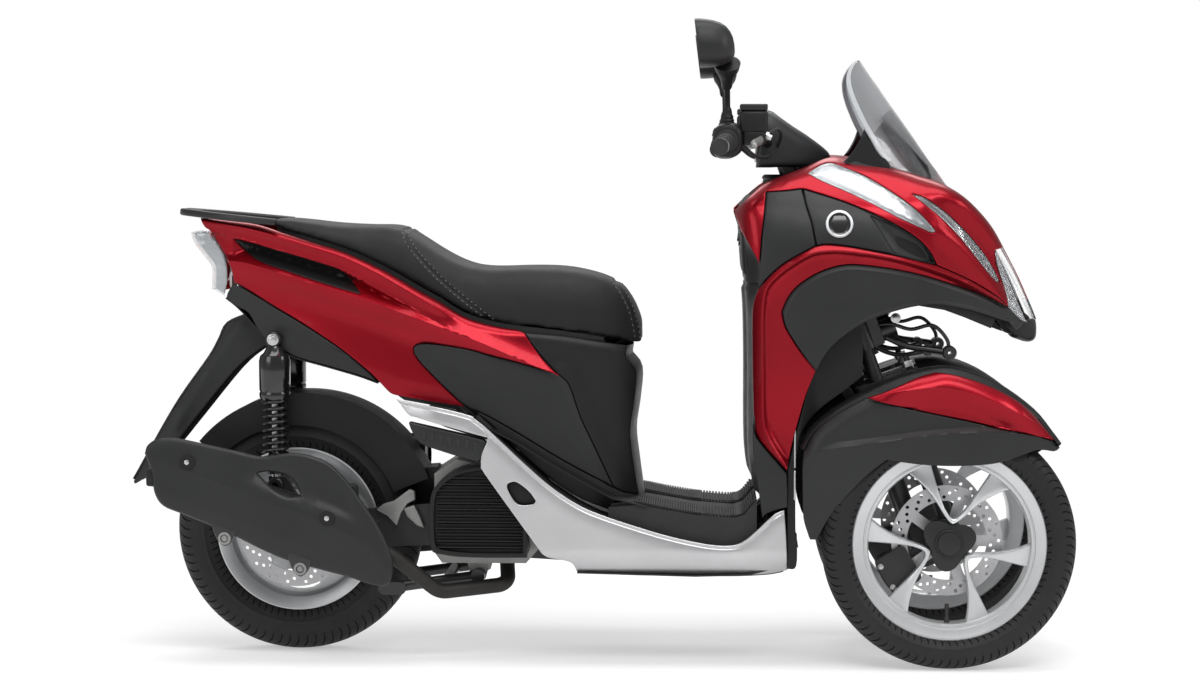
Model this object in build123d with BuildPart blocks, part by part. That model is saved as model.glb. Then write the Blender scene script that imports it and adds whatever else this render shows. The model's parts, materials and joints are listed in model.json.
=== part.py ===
"""A leaning three-wheel motor scooter, in millimetres: +X forward, +Y to the rider's left, +Z up.

The origin lies on the ground, half way along the machine, so both axles are placed from it.
"""

from build123d import *
import os
from math import atan2, cos, degrees, radians, sin, tan

os.makedirs("parts", exist_ok=True)

# Stance
wheelbase = 1310
rear_axle_x = -607.5
front_axle_x = rear_axle_x + wheelbase
front_track = 385
caster = 20
trail = 68
steer_pivot_y = 118

# Tyres and rims
front_tyre_radius = 250
front_tyre_width = 90
front_rim_width = 54
front_bead_radius = 178
front_flange_radius = 190
rear_tyre_radius = 251.4
rear_tyre_width = 110
rear_rim_width = 76
rear_bead_radius = 153
rear_flange_radius = 166
tyre_wall = 8
flange_wall = 4
rim_wall = 7
axle_radius = 8.5
rear_axle_radius = 10
axle_fit = 0.05

# Brakes
front_disc_radius = 110
rear_disc_radius = 115
disc_band = 31
disc_thickness = 4

# Moving clearances and walls
running_gap = 5
panel_wall = 3
seat_gap = 6
pivot_fit = 0.05
loose_pivot = 0.5

front_axle_z = front_tyre_radius
rear_axle_z = rear_tyre_radius
wheel_y = front_track / 2
sides = (("right", -1), ("left", 1))


def front(*pairs):
    """Side-view points counted from the front axle."""
    return [(front_axle_x + x, front_axle_z + z) for x, z in pairs]


def rear(*pairs):
    """Side-view points counted from the rear axle."""
    return [(rear_axle_x + x, rear_axle_z + z) for x, z in pairs]


def side_shape(points):
    """A closed outline with straight edges, seen from the side."""
    with BuildSketch(Plane.XZ) as outline:
        with BuildLine():
            Polyline(*points, close=True)
        make_face()
    return outline.sketch


def width_shape(stations, inset=0):
    """A plan outline from (x, half width) stations, the same on both sides."""
    right = [(x, inset - half) for x, half in stations]
    left = [(x, half - inset) for x, half in reversed(stations)]
    with BuildSketch(Plane.XY) as outline:
        with BuildLine():
            Spline(*right)
            Line(right[-1], left[0])
            Spline(*left)
            Line(left[-1], right[0])
        make_face()
    return outline.sketch


def height_shape(stations, inset=0):
    """An end outline from (z, half width) stations, the same on both sides."""
    left = [(half - inset, z) for z, half in stations]
    right = [(inset - half, z) for z, half in reversed(stations)]
    with BuildSketch(Plane.YZ) as outline:
        with BuildLine():
            Spline(*left)
            Line(left[-1], right[0])
            Spline(*right)
            Line(right[-1], left[0])
        make_face()
    return outline.sketch


def save(piece, name):
    """Labels a finished piece and writes it."""
    piece.part.label = name
    export_step(piece.part, f"parts/{name}.step")


# Steering geometry. Each steering axis leans back by the caster angle and meets the ground
# ahead of the contact patch by the trail. Places beside it are (ahead, left, up the axis).
axis_x = front_axle_x + trail - front_axle_z * tan(radians(caster))
along = Vector(cos(radians(caster)), 0, sin(radians(caster)))
upward = Vector(-sin(radians(caster)), 0, cos(radians(caster)))


def steer_plane(y, up=0.0, ahead=0.0):
    """The plane square to a steering axis, a distance up it."""
    origin = Vector(axis_x, y, front_axle_z) + upward * up + along * ahead
    return Plane(origin=origin, x_dir=along, z_dir=upward)



# ---------------------------------------------------------------- front wheels
hub_radius = 42
hub_half = 30
hub_outer = 20
cap_end = 30
spoke_root = 46
spoke_tip = 168
spoke_root_width = 27
spoke_tip_width = 44
spoke_half_angle = 30
spoke_root_angle = 17
first_pair_angle = 82
spoke_inner = -4
spoke_outer = 17
disc_holes = 18
disc_hole_radius = 3.5


def tyre_profile(plane, radius, width, bead, flange, rim):
    """Half-open section of a tyre on its rim, (across, out from the axle)."""
    half = width / 2
    seat = rim / 2
    bulge = (flange + radius) / 2 - 4
    shoulder = radius - (radius - flange) / 3
    crown = half - 5
    lip = 7
    with BuildSketch(plane) as section:
        with BuildLine():
            Line((seat, bead), (seat, flange))
            ThreePointArc((seat, flange), (half, bulge), (crown, shoulder))
            ThreePointArc((crown, shoulder), (0, radius), (-crown, shoulder))
            ThreePointArc((-crown, shoulder), (-half, bulge), (-seat, flange))
            Line((-seat, flange), (-seat, bead))
            Line((-seat, bead), (lip - seat, bead))
            Line((lip - seat, bead), (lip - seat, flange))
            inner = half - tyre_wall
            ThreePointArc((lip - seat, flange), (-inner, bulge), (-crown + tyre_wall, shoulder))
            ThreePointArc((-crown + tyre_wall, shoulder), (0, radius - tyre_wall),
                          (crown - tyre_wall, shoulder))
            ThreePointArc((crown - tyre_wall, shoulder), (inner, bulge), (seat - lip, flange))
            Line((seat - lip, flange), (seat - lip, bead))
            Line((seat - lip, bead), (seat, bead))
        make_face()
    return section.sketch


def rim_profile(plane, bead, flange, rim):
    """Section of a rim with a dropped centre and a flange each side."""
    seat = rim / 2
    lip = seat + flange_wall
    well = 12
    drop = 12
    with BuildSketch(plane) as section:
        with BuildLine():
            Polyline(
                (lip, flange), (seat, flange), (seat, bead), (well + 6, bead), (well, bead - drop),
                (-well, bead - drop), (-well - 6, bead), (-seat, bead), (-seat, flange),
                (-lip, flange), (-lip, bead - rim_wall), (-well - 8, bead - rim_wall),
                (-well - 2, bead - drop - rim_wall), (well + 2, bead - drop - rim_wall),
                (well + 8, bead - rim_wall), (lip, bead - rim_wall), close=True)
        make_face()
    return section.sketch


for name, side in sides:
    centre = Vector(front_axle_x, side * wheel_y, front_axle_z)
    axle = Axis(centre, (0, 1, 0))
    across = Plane(origin=centre, x_dir=(0, side, 0), z_dir=(side, 0, 0))
    outward = Plane(origin=centre, x_dir=(1, 0, 0), z_dir=(0, side, 0))

    with BuildPart() as front_tyre:
        revolve(tyre_profile(across, front_tyre_radius, front_tyre_width, front_bead_radius,
                             front_flange_radius, front_rim_width), axis=axle)
    save(front_tyre, f"{name}_front_tyre")

    with BuildPart() as front_wheel:
        revolve(rim_profile(across, front_bead_radius, front_flange_radius, front_rim_width), axis=axle)
        with BuildSketch(outward.offset(-hub_half)):
            Circle(hub_radius)
        extrude(amount=hub_half + cap_end)
        with BuildSketch(outward.offset(spoke_inner)):
            with PolarLocations(0, 3, start_angle=first_pair_angle):
                for turn in (-1, 1):
                    with BuildLine():
                        root = turn * radians(spoke_root_angle)
                        tip = turn * radians(spoke_half_angle)
                        root_mid = Vector(spoke_root * cos(root), spoke_root * sin(root))
                        tip_mid = Vector(spoke_tip * cos(tip), spoke_tip * sin(tip))
                        run = (tip_mid - root_mid).normalized()
                        aside = Vector(-run.Y, run.X)
                        back = root_mid - run * 25
                        Polyline(back + aside * spoke_root_width / 2, tip_mid + aside * spoke_tip_width / 2,
                                 tip_mid - aside * spoke_tip_width / 2, back - aside * spoke_root_width / 2,
                                 close=True)
                    make_face()
        extrude(amount=spoke_outer - spoke_inner)
        with BuildSketch(outward.offset(-hub_half)):
            Circle(axle_radius + axle_fit)
        extrude(amount=hub_half + hub_outer, mode=Mode.SUBTRACT)
    save(front_wheel, f"{name}_front_wheel")

    with BuildPart() as front_disc:
        with BuildSketch(outward.offset(-hub_half - disc_thickness)):
            Circle(front_disc_radius)
            Circle(front_disc_radius - disc_band, mode=Mode.SUBTRACT)
            with PolarLocations((hub_radius + front_disc_radius - disc_band) / 2, 5):
                Rectangle(front_disc_radius - disc_band - hub_radius + 12, 22)
            Circle(hub_radius)
            Circle(axle_radius + 10, mode=Mode.SUBTRACT)
            for row, share in enumerate((0.25, 0.5, 0.75)):
                with PolarLocations(front_disc_radius - disc_band * share, disc_holes, start_angle=row * 7):
                    Circle(disc_hole_radius, mode=Mode.SUBTRACT)
        extrude(amount=disc_thickness)
    save(front_disc, f"{name}_front_disc")

# ---------------------------------------------------------------- forks and front fenders
spindle_radius = 14
yoke_low = 302
yoke_high = 334
yoke_half = 17
arm_reach = 70
arm_eye = 14
arm_half = 11
pin_radius = 6
tie_rod_low = yoke_high + 6
tie_rod_high = tie_rod_low + 12
pin_top = tie_rod_high + 10
bearing_low = 400
bearing_high = 540
spindle_top = bearing_high + 8
fork_tube_radius = 17
fork_leg_radius = 15
rear_leg_ahead = -32
front_leg_ahead = 38
leg_foot = -40
slider_top = 190
foot_low = -48
foot_high = 34
foot_half = 18
axle_end_gap = 5
caliper_angle = 211
caliper_inner = 78
caliper_outer = 146
caliper_length = 78
caliper_inboard = 24
caliper_outboard = 17
pad_gap = 7

fender_inner = steer_pivot_y + 22
fender_outer = wheel_y + 66
flap_outer = wheel_y + 49
fender_wall = 3
fender_top = front((216, 192), (205, 208), (160, 262), (90, 312), (-5, 346), (-30, 342), (-100, 325),
                   (-165, 294), (-225, 258), (-268, 220), (-288, 150), (-288, 50), (-273, 4))
fender_under = front((-258, 4), (-236, 50), (-205, 92), (-160, 140), (-125, 168), (0, 158), (100, 168),
                     (168, 190), (205, 184))
fender_flap_split = 110

for name, side in sides:
    pivot_y = side * steer_pivot_y
    hub_face_y = wheel_y - hub_half
    axle_base = Plane(origin=(front_axle_x, pivot_y, front_axle_z), x_dir=(1, 0, 0), z_dir=(0, side, 0))

    caliper_mid = Vector(cos(radians(caliper_angle)), 0, sin(radians(caliper_angle)))
    disc_mid_y = hub_face_y - disc_thickness / 2
    with BuildPart() as caliper:
        block = Plane(origin=Vector(front_axle_x, side * (disc_mid_y - caliper_inboard), front_axle_z)
                      + caliper_mid * (caliper_inner + caliper_outer) / 2,
                      x_dir=caliper_mid, z_dir=(0, side, 0))
        with BuildSketch(block):
            RectangleRounded(caliper_outer - caliper_inner, caliper_length, 12)
        extrude(amount=caliper_inboard + caliper_outboard)
        slot = Plane(origin=(front_axle_x, side * (disc_mid_y - pad_gap), front_axle_z),
                     x_dir=(1, 0, 0), z_dir=(0, side, 0))
        with BuildSketch(slot):
            Circle(front_disc_radius + running_gap)
        extrude(amount=2 * pad_gap, mode=Mode.SUBTRACT)
        # Carrier from the fork foot to the caliper.
        bracket = Plane(origin=(front_axle_x, side * (steer_pivot_y + foot_half), front_axle_z),
                        x_dir=caliper_mid, z_dir=(0, side, 0))
        with BuildSketch(bracket):
            with Locations((62, 0)):
                Rectangle(66, 34)
        extrude(amount=disc_mid_y - pad_gap - 6 - steer_pivot_y - foot_half)

    with BuildPart() as fork:
        with BuildSketch(steer_plane(pivot_y, yoke_low)):
            with Locations((front_leg_ahead / 2 + rear_leg_ahead / 2, 0)):
                RectangleRounded(front_leg_ahead - rear_leg_ahead + 34, 2 * yoke_half, 12)
            with Locations((arm_reach / 2 + 10, 0)):
                RectangleRounded(arm_reach + 2 * arm_eye - 20, 2 * arm_half, 8)
        extrude(amount=yoke_high - yoke_low)
        with BuildSketch(steer_plane(pivot_y, yoke_high)):
            Circle(spindle_radius)
        extrude(amount=spindle_top - yoke_high)
        with BuildSketch(steer_plane(pivot_y, yoke_high)):
            with Locations((arm_reach, 0)):
                Circle(pin_radius)
        extrude(amount=pin_top - yoke_high)
        with BuildSketch(steer_plane(pivot_y, leg_foot)):
            with Locations((rear_leg_ahead, 0), (front_leg_ahead, 0)):
                Circle(fork_leg_radius)
        extrude(amount=yoke_low - leg_foot)
        with BuildSketch(steer_plane(pivot_y, leg_foot)):
            with Locations((rear_leg_ahead, 0), (front_leg_ahead, 0)):
                Circle(fork_tube_radius)
        extrude(amount=slider_top - leg_foot)
        with BuildSketch(steer_plane(pivot_y, foot_low)):
            with Locations(((front_leg_ahead + rear_leg_ahead) / 2, 0)):
                RectangleRounded(front_leg_ahead - rear_leg_ahead + 38, 2 * foot_half, 12)
        extrude(amount=foot_high - foot_low)
        with BuildSketch(axle_base):
            Circle(axle_radius + 5)
        extrude(amount=hub_face_y - axle_end_gap - steer_pivot_y)
        with BuildSketch(axle_base):
            Circle(axle_radius)
        extrude(amount=wheel_y + hub_outer - axle_end_gap - steer_pivot_y)
        # Fender stay, on the inner side of the wheel.
        with BuildSketch(steer_plane(pivot_y, yoke_low)):
            with Locations((front_leg_ahead, side * (fender_inner - steer_pivot_y) / 2)):
                Rectangle(20, fender_inner - steer_pivot_y)
        extrude(amount=-24)
        add(caliper.part)
    save(fork, f"{name}_fork")

    with BuildPart() as fender:
        extrude(side_shape(fender_top + fender_under), amount=-side * fender_outer)
        with BuildSketch(Plane.XZ.offset(-side * fender_inner)):
            Rectangle(4000, 4000)
        extrude(amount=side * 400, mode=Mode.SUBTRACT)
        # The flap behind the wheel is narrower than the dome above it.
        flap_cut = front((-400, -60), (-400, fender_flap_split), (-190, fender_flap_split), (-190, -60))
        with BuildSketch(Plane.XZ.offset(-side * flap_outer)):
            with BuildLine():
                Polyline(*flap_cut, close=True)
            make_face()
        extrude(amount=-side * 100, mode=Mode.SUBTRACT)
    # Hollowed round the tyre: one drum cut clears the wheel, its edges stay as side walls.
    with BuildPart() as fender_shell:
        add(fender.part)
        with BuildSketch(Plane.XZ.offset(-side * (fender_inner + fender_wall))):
            with Locations((front_axle_x, front_axle_z)):
                Circle(front_tyre_radius + 12)
        extrude(amount=-side * (fender_outer - fender_inner - 2 * fender_wall), mode=Mode.SUBTRACT)
        add(fork.part, mode=Mode.SUBTRACT)
    save(fender_shell, f"{name}_front_fender")

# ---------------------------------------------------------------- steering column and handlebar
column_radius = 12.5
pitman_low = 316
pitman_high = yoke_high
head_low = 376
head_high = 560
head_radius = 27
column_top = 815
bar_radius = 11
bar_ahead = -20
bar_rise = 12
bar_end_y = 367.5
bar_end_radius = 18
bar_end_length = 14
grip_inner = 258
grip_radius = 17
grip_sweep = 14
control_inner = 205
cover_half = 92
cover_radius = 104


def steer_point(ahead, left, up):
    """A point beside the column, (ahead, left, up the axis)."""
    return Vector(axis_x, 0, front_axle_z) + along * ahead + Vector(0, left, 0) + upward * up


bar_mid = steer_point(bar_ahead, 0, column_top + bar_rise)
grip_start = Vector(front_axle_x - 437, grip_inner - 12, front_axle_z + 790)
grip_dir = Vector(-grip_sweep, 100, -11).normalized()
bar_stop = grip_start + grip_dir * ((bar_end_y - grip_start.Y - 3) / grip_dir.Y)
bar_bend = Vector((bar_mid.X + grip_start.X) / 2 + 12, 120, (bar_mid.Z + grip_start.Z) / 2 + 14)

with BuildPart() as steering_shaft:
    with BuildSketch(steer_plane(0, pitman_low)):
        Circle(column_radius + 8)
        with Locations((arm_reach / 2, 0)):
            RectangleRounded(arm_reach + 2 * arm_eye, 2 * arm_half, 8)
    extrude(amount=pitman_high - pitman_low)
    with BuildSketch(steer_plane(0, pitman_high)):
        Circle(column_radius)
    extrude(amount=column_top - pitman_high)
    with BuildSketch(steer_plane(0, pitman_high, arm_reach)):
        Circle(pin_radius)
    extrude(amount=pin_top - pitman_high)

with BuildPart() as handlebar:
    with BuildLine() as bar_line:
        FilletPolyline(
            Vector(bar_stop.X, -bar_stop.Y, bar_stop.Z), Vector(grip_start.X, -grip_start.Y, grip_start.Z),
            Vector(bar_bend.X, -bar_bend.Y, bar_bend.Z), bar_mid, bar_bend, grip_start, bar_stop, radius=60)
    with BuildSketch(Plane(origin=bar_line.line @ 0, z_dir=bar_line.line % 0)):
        Circle(bar_radius)
    sweep(path=bar_line.line)
    # Clamp that sits on the column and holds the bar.
    with BuildSketch(steer_plane(0, column_top - 34)):
        Circle(column_radius + 9)
        with Locations((bar_ahead, 0)):
            RectangleRounded(40, 46, 10)
    extrude(amount=34 + bar_rise + bar_radius + 4)
    add(steering_shaft.part, mode=Mode.SUBTRACT)

with BuildPart() as hand_grips:
    for side in (-1, 1):
        start = Vector(grip_start.X, side * grip_start.Y, grip_start.Z)
        run = Vector(grip_dir.X, side * grip_dir.Y, grip_dir.Z)
        first = start + run * ((grip_inner - grip_start.Y) / grip_dir.Y)
        span = (bar_end_y - bar_end_length - grip_inner) / grip_dir.Y
        with BuildSketch(Plane(origin=first, z_dir=run)):
            Circle(grip_radius)
        extrude(amount=span)
        with BuildSketch(Plane(origin=first + run * span, z_dir=run)):
            Circle(bar_end_radius)
        extrude(amount=bar_end_length / grip_dir.Y - 5)
    add(handlebar.part, mode=Mode.SUBTRACT)

with BuildPart() as hand_controls:
    for side in (-1, 1):
        start = Vector(grip_start.X, side * grip_start.Y, grip_start.Z)
        run = Vector(grip_dir.X, side * grip_dir.Y, grip_dir.Z)
        first = start + run * ((control_inner - grip_start.Y) / grip_dir.Y)
        span = (grip_inner - 1 - control_inner) / grip_dir.Y
        housing = Plane(origin=first, x_dir=(1, 0, 0), z_dir=run)
        with BuildSketch(housing):
            RectangleRounded(56, 66, 20)
        extrude(amount=span)
        # Master cylinder with its reservoir, and the lever ahead of the grip.
        with BuildSketch(Plane.XY.offset(grip_start.Z + 20)):
            with Locations((grip_start.X + 50, side * (control_inner + 8))):
                RectangleRounded(58, 54, 8)
        extrude(amount=52)
        with BuildSketch(Plane.XY.offset(grip_start.Z - 8)):
            with Locations((grip_start.X + 52, side * (control_inner + 14))):
                RectangleRounded(46, 36, 8)
        extrude(amount=30)
        lever_start = Vector(grip_start.X + 62, side * (control_inner + 20), grip_start.Z + 2)
        with BuildSketch(Plane(origin=lever_start, x_dir=(1, 0, 0), z_dir=run)):
            RectangleRounded(13, 18, 6)
        extrude(amount=128)
    add(handlebar.part, mode=Mode.SUBTRACT)
    add(hand_grips.part, mode=Mode.SUBTRACT)

# Mirrors: a stem from each control housing up to a head with its glass facing back.
mirror_glass_wall = 3
mirror_side = front((-498, 1025), (-470, 1025), (-440, 1006), (-424, 972), (-424, 935), (-432, 905),
                    (-468, 905), (-489, 925), (-497, 950), (-502, 990))
mirror_face = [(259, 1170), (262, 1240), (285, 1268), (330, 1272), (356, 1256), (366, 1210), (352, 1172),
               (318, 1156), (285, 1156)]
with BuildPart() as mirrors:
    for side in (-1, 1):
        with BuildPart() as head:
            extrude(side_shape(mirror_side), amount=-side * 400)
            with BuildSketch(Plane.YZ.offset(front_axle_x - 560)) as face:
                with BuildLine():
                    Polyline(*[(side * y, z - 250 + front_axle_z) for y, z in mirror_face], close=True)
                make_face()
                fillet(face.vertices(), 10)
            extrude(amount=200, mode=Mode.INTERSECT)
        add(head.part)
        with BuildLine() as stem_line:
            FilletPolyline((front_axle_x - 438, side * 222, grip_start.Z + 30),
                           (front_axle_x - 438, side * 232, grip_start.Z + 75),
                           (front_axle_x - 440, side * 290, front_axle_z + 925), radius=20)
        with BuildSketch(Plane(origin=stem_line.line @ 0, z_dir=stem_line.line % 0)):
            Circle(7)
        sweep(path=stem_line.line)
    add(hand_controls.part, mode=Mode.SUBTRACT)

with BuildPart() as mirror_glasses:
    for side in (-1, 1):
        with BuildSketch(Plane.YZ.offset(front_axle_x - 498 - 1)) as glass_face:
            with BuildLine():
                Polyline(*[(side * y, z - 250 + front_axle_z) for y, z in mirror_face], close=True)
            make_face()
            fillet(glass_face.vertices(), 10)
            offset(amount=-9)
        extrude(amount=mirror_glass_wall)
    add(mirrors.part, mode=Mode.SUBTRACT)

with BuildPart() as handlebar_cover:
    extrude(side_shape(front((-363, 738), (-360, 856), (-345, 853), (-262, 795), (-226, 765), (-238, 742))),
            amount=cover_half, both=True)
    with BuildSketch(Plane.XY.offset(front_axle_z + 700)):
        with BuildLine():
            Spline((front_axle_x - 380, -cover_half), (front_axle_x - 330, -cover_half),
                   (front_axle_x - 250, -62), (front_axle_x - 215, 0), (front_axle_x - 250, 62),
                   (front_axle_x - 330, cover_half), (front_axle_x - 380, cover_half))
            Line((front_axle_x - 380, cover_half), (front_axle_x - 380, -cover_half))
        make_face()
    extrude(amount=200, mode=Mode.INTERSECT)
    add(steering_shaft.part, mode=Mode.SUBTRACT)
    add(handlebar.part, mode=Mode.SUBTRACT)
    add(hand_controls.part, mode=Mode.SUBTRACT)

save(steering_shaft, "steering_shaft")
save(handlebar, "handlebar")
save(hand_grips, "hand_grips")
save(hand_controls, "hand_controls")
save(mirrors, "mirrors")
save(mirror_glasses, "mirror_glasses")
save(handlebar_cover, "handlebar_cover")

with BuildPart() as tie_rod:
    with BuildSketch(steer_plane(0, tie_rod_low, arm_reach)):
        Rectangle(14, 2 * steer_pivot_y)
        with Locations((0, 0), (0, -steer_pivot_y), (0, steer_pivot_y)):
            Circle(arm_eye - 1)
        Circle(pin_radius + pivot_fit, mode=Mode.SUBTRACT)
        with Locations((0, -steer_pivot_y), (0, steer_pivot_y)):
            Circle(pin_radius + loose_pivot, mode=Mode.SUBTRACT)
    extrude(amount=tie_rod_high - tie_rod_low)
save(tie_rod, "tie_rod")

# ---------------------------------------------------------------- leaning linkage
side_tube_radius = 24
arm_ahead = 40
lean_arm_depth = 30
lean_arm_height = 26
lean_arm_levels = (424, 516)
lean_boss_radius = 21

with BuildPart() as lean_linkage:
    for level in lean_arm_levels:
        with BuildSketch(Plane(origin=steer_point(arm_ahead, 0, level), x_dir=(0, 1, 0), z_dir=along)):
            Rectangle(2 * steer_pivot_y, lean_arm_height)
            with Locations((0, 0), (-steer_pivot_y, 0), (steer_pivot_y, 0)):
                Circle(lean_boss_radius)
        extrude(amount=lean_arm_depth)
    for side in (-1, 1):
        with BuildSketch(steer_plane(side * steer_pivot_y, bearing_low)):
            Circle(side_tube_radius)
            with Locations((arm_ahead / 2, 0)):
                Rectangle(arm_ahead, 30)
        extrude(amount=bearing_high - bearing_low)
        with BuildSketch(steer_plane(side * steer_pivot_y, bearing_low)):
            Circle(spindle_radius + pivot_fit)
        extrude(amount=bearing_high - bearing_low, mode=Mode.SUBTRACT)
save(lean_linkage, "lean_linkage")

# ---------------------------------------------------------------- frame
rail_y = 128
rail_radius = 12
floor_tube_y = 118
floor_tube_z = -46
box_rest_x = 432
box_rest_z = 177
shock_y = 110
shock_eye_half = 14
shock_lug_inner = 85
shock_top_x = -36
shock_top_z = 392
side_pivot_x = rear_axle_x + 566
side_pivot_z = rear_axle_z - 76
stand_lug_outer = 126
stand_pin_radius = 6
engine_hang_x = 499
engine_hang_z = 72

with BuildPart() as frame:
    with BuildSketch(steer_plane(0, head_low)):
        Circle(head_radius)
    extrude(amount=head_high - head_low)
    # Lug ahead of the head tube that carries both leaning arms.
    with BuildSketch(steer_plane(0, bearing_low)):
        with Locations((arm_ahead / 2, 0)):
            Rectangle(arm_ahead, 34)
    extrude(amount=bearing_high - bearing_low)
    for side in (-1, 1):
        head_join = steer_point(-6, side * 14, head_high - 46)
        floor_z = front_axle_z + floor_tube_z
        with BuildLine() as down_line:
            FilletPolyline(
                head_join,
                (front_axle_x - 322, side * 42, front_axle_z + 170),
                (front_axle_x - 345, side * 84, floor_z + 36),
                (front_axle_x - 410, side * floor_tube_y, floor_z),
                (rear_axle_x + 590, side * floor_tube_y, floor_z),
                (rear_axle_x + 545, side * rail_y, floor_z + 46),
                (rear_axle_x + box_rest_x, side * rail_y, rear_axle_z + box_rest_z),
                (rear_axle_x + 290, side * rail_y, rear_axle_z + 320),
                (rear_axle_x - 20, side * 92, rear_axle_z + 480),
                (rear_axle_x - 120, side * 60, rear_axle_z + 560), radius=(70, 30, 40, 40, 40, 60, 60, 60))
        with BuildSketch(Plane(origin=down_line.line @ 0, z_dir=down_line.line % 0)):
            Circle(rail_radius)
        sweep(path=down_line.line)
    crossings = ((rear_axle_x + box_rest_x, rear_axle_z + box_rest_z, rail_y),
                 (rear_axle_x + engine_hang_x, rear_axle_z + engine_hang_z, rail_y),
                 (front_axle_x - 430, front_axle_z + floor_tube_z, floor_tube_y),
                 (rear_axle_x + 600, front_axle_z + floor_tube_z, floor_tube_y))
    for x, z, reach in crossings:
        with BuildSketch(Plane.XZ.offset(-reach)):
            with Locations((x, z)):
                Circle(rail_radius)
        extrude(amount=2 * reach)
    for side in (-1, 1):
        # Upper shock mounts under the tail rails, and the side stand's lug under the left floor tube.
        with BuildSketch(Plane.XZ.offset(-side * shock_lug_inner)):
            with BuildLine():
                Polyline(*rear((-62, 500), (-6, 478), (shock_top_x + 18, shock_top_z - 14),
                               (shock_top_x - 18, shock_top_z - 14)), close=True)
            make_face()
        extrude(amount=-side * (shock_y - shock_eye_half - shock_lug_inner))
    with BuildSketch(Plane.XZ.offset(-floor_tube_y + 4)):
        with Locations((side_pivot_x, (side_pivot_z + front_axle_z + floor_tube_z) / 2)):
            Rectangle(30, front_axle_z + floor_tube_z - side_pivot_z + 24)
    extrude(amount=-(stand_lug_outer - floor_tube_y + 4))
    with BuildSketch(Plane.XZ.offset(-floor_tube_y + 5)):
        with Locations((side_pivot_x, side_pivot_z)):
            Circle(stand_pin_radius + pivot_fit)
    extrude(amount=-30, mode=Mode.SUBTRACT)
    with BuildSketch(steer_plane(0, head_low - 1)):
        Circle(column_radius + pivot_fit)
    extrude(amount=head_high - head_low + 2, mode=Mode.SUBTRACT)
save(frame, "frame")

# ---------------------------------------------------------------- front bodywork
front_plan = [(front_axle_x + x, half) for x, half in
              ((-421, 150), (-399, 205), (-375, 228), (-320, 238), (-265, 240), (-142, 234), (-51, 215),
               (17, 188), (95, 138), (148, 90), (186, 52))]
front_end = [(front_axle_z + z, half) for z, half in
             ((60, 212), (217, 224), (350, 236), (476, 242), (570, 240), (655, 205), (710, 160),
              (745, 122), (768, 88))]
arch_line = front((95, 441), (17, 470), (-51, 470), (-158, 431), (-265, 339), (-284, 265), (-302, 220),
                  (-317, 145), (-317, 83))
cowl_top = front((-421, 655), (-368, 703), (-290, 735), (-230, 759), (-201, 757), (-124, 743), (-61, 721),
                 (-14, 705), (24, 684), (55, 658), (89, 620), (114, 579), (169, 470), (186, 430), (183, 382),
                 (138, 380))
shield_back = front((-380, 83), (-386, 217), (-399, 376), (-399, 476), (-375, 545))
front_side = cowl_top + arch_line + shield_back
arch_mouth = arch_line + [(x - 3 * panel_wall, z + 3 * panel_wall) for x, z in reversed(arch_line)]

shield_mouth = [(shield_back[0][0] + panel_wall, shield_back[0][1]),
                (shield_back[0][0] + panel_wall, shield_back[0][1] + 3 * panel_wall),
                (arch_line[-1][0], shield_back[0][1] + 3 * panel_wall), arch_line[-1]]

with BuildPart() as front_solid:
    extrude(side_shape(front_side), amount=260, both=True)
    extrude(width_shape(front_plan), amount=2000, mode=Mode.INTERSECT)
    extrude(height_shape(front_end), amount=1200, both=True, mode=Mode.INTERSECT)

with BuildPart() as front_hollow:
    with BuildSketch(Plane.XZ):
        add(side_shape(front_side))
        offset(amount=-panel_wall)
        add(side_shape(arch_mouth))
        add(side_shape(shield_mouth))
    extrude(amount=260, both=True)
    extrude(width_shape(front_plan, panel_wall), amount=2000, mode=Mode.INTERSECT)
    extrude(height_shape(front_end, panel_wall), amount=1200, both=True, mode=Mode.INTERSECT)

with BuildPart() as front_shell:
    add(front_solid.part)
    add(front_hollow.part, mode=Mode.SUBTRACT)
    # Round opening that the handlebar cover turns in.
    with BuildSketch(steer_plane(0, head_high + 20)):
        Circle(cover_radius + 14)
    extrude(amount=400, mode=Mode.SUBTRACT)

turn_lens = side_shape(front((-277, 726), (-232, 746), (-182, 732), (-102, 680), (-42, 630), (-30, 616),
                             (-52, 617), (-102, 640), (-182, 685), (-262, 717)))
lamp_side = side_shape(front((-66, 686), (-15, 667), (25, 639), (66, 598), (96, 560), (108, 578), (180, 560),
                             (230, 416), (172, 416), (157, 434), (131, 485), (99, 522), (86, 537), (46, 583),
                             (5, 620), (-45, 664)))
duct_side = side_shape(front((-430, 492), (-372, 492), (-362, 510), (-322, 547), (-277, 580), (-222, 588),
                             (-162, 582), (-102, 562), (-62, 553), (-24, 547), (-42, 575), (-82, 610),
                             (-142, 643), (-202, 672), (-262, 693), (-287, 695), (-362, 704), (-384, 689),
                             (-430, 650)))
arch_side = side_shape(front((-330, 450), (-312, 480), (-272, 515), (-232, 540), (-202, 548), (-142, 542),
                             (-82, 528), (-22, 510), (38, 492), (98, 468), (128, 450), (156, 436), (220, 428),
                             (220, 340), (120, 340), (95, 420), (17, 440), (-51, 440), (-150, 400),
                             (-265, 330), (-302, 400)))
shield_side = side_shape(front((-450, 492), (-372, 492), (-330, 450), (-302, 400), (-265, 330), (-230, 300),
                               (-230, 120), (-319, 140), (-362, 190), (-377, 217), (-450, 217)))
base_side = side_shape(front((-450, 217), (-377, 217), (-362, 190), (-319, 140), (-230, 120), (-230, 50),
                             (-450, 50)))
panel_half = 196
key_half = 118
nose_gap = 14

with BuildPart() as shield_base:
    add(front_shell.part)
    extrude(base_side, amount=260, both=True, mode=Mode.INTERSECT)

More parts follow.
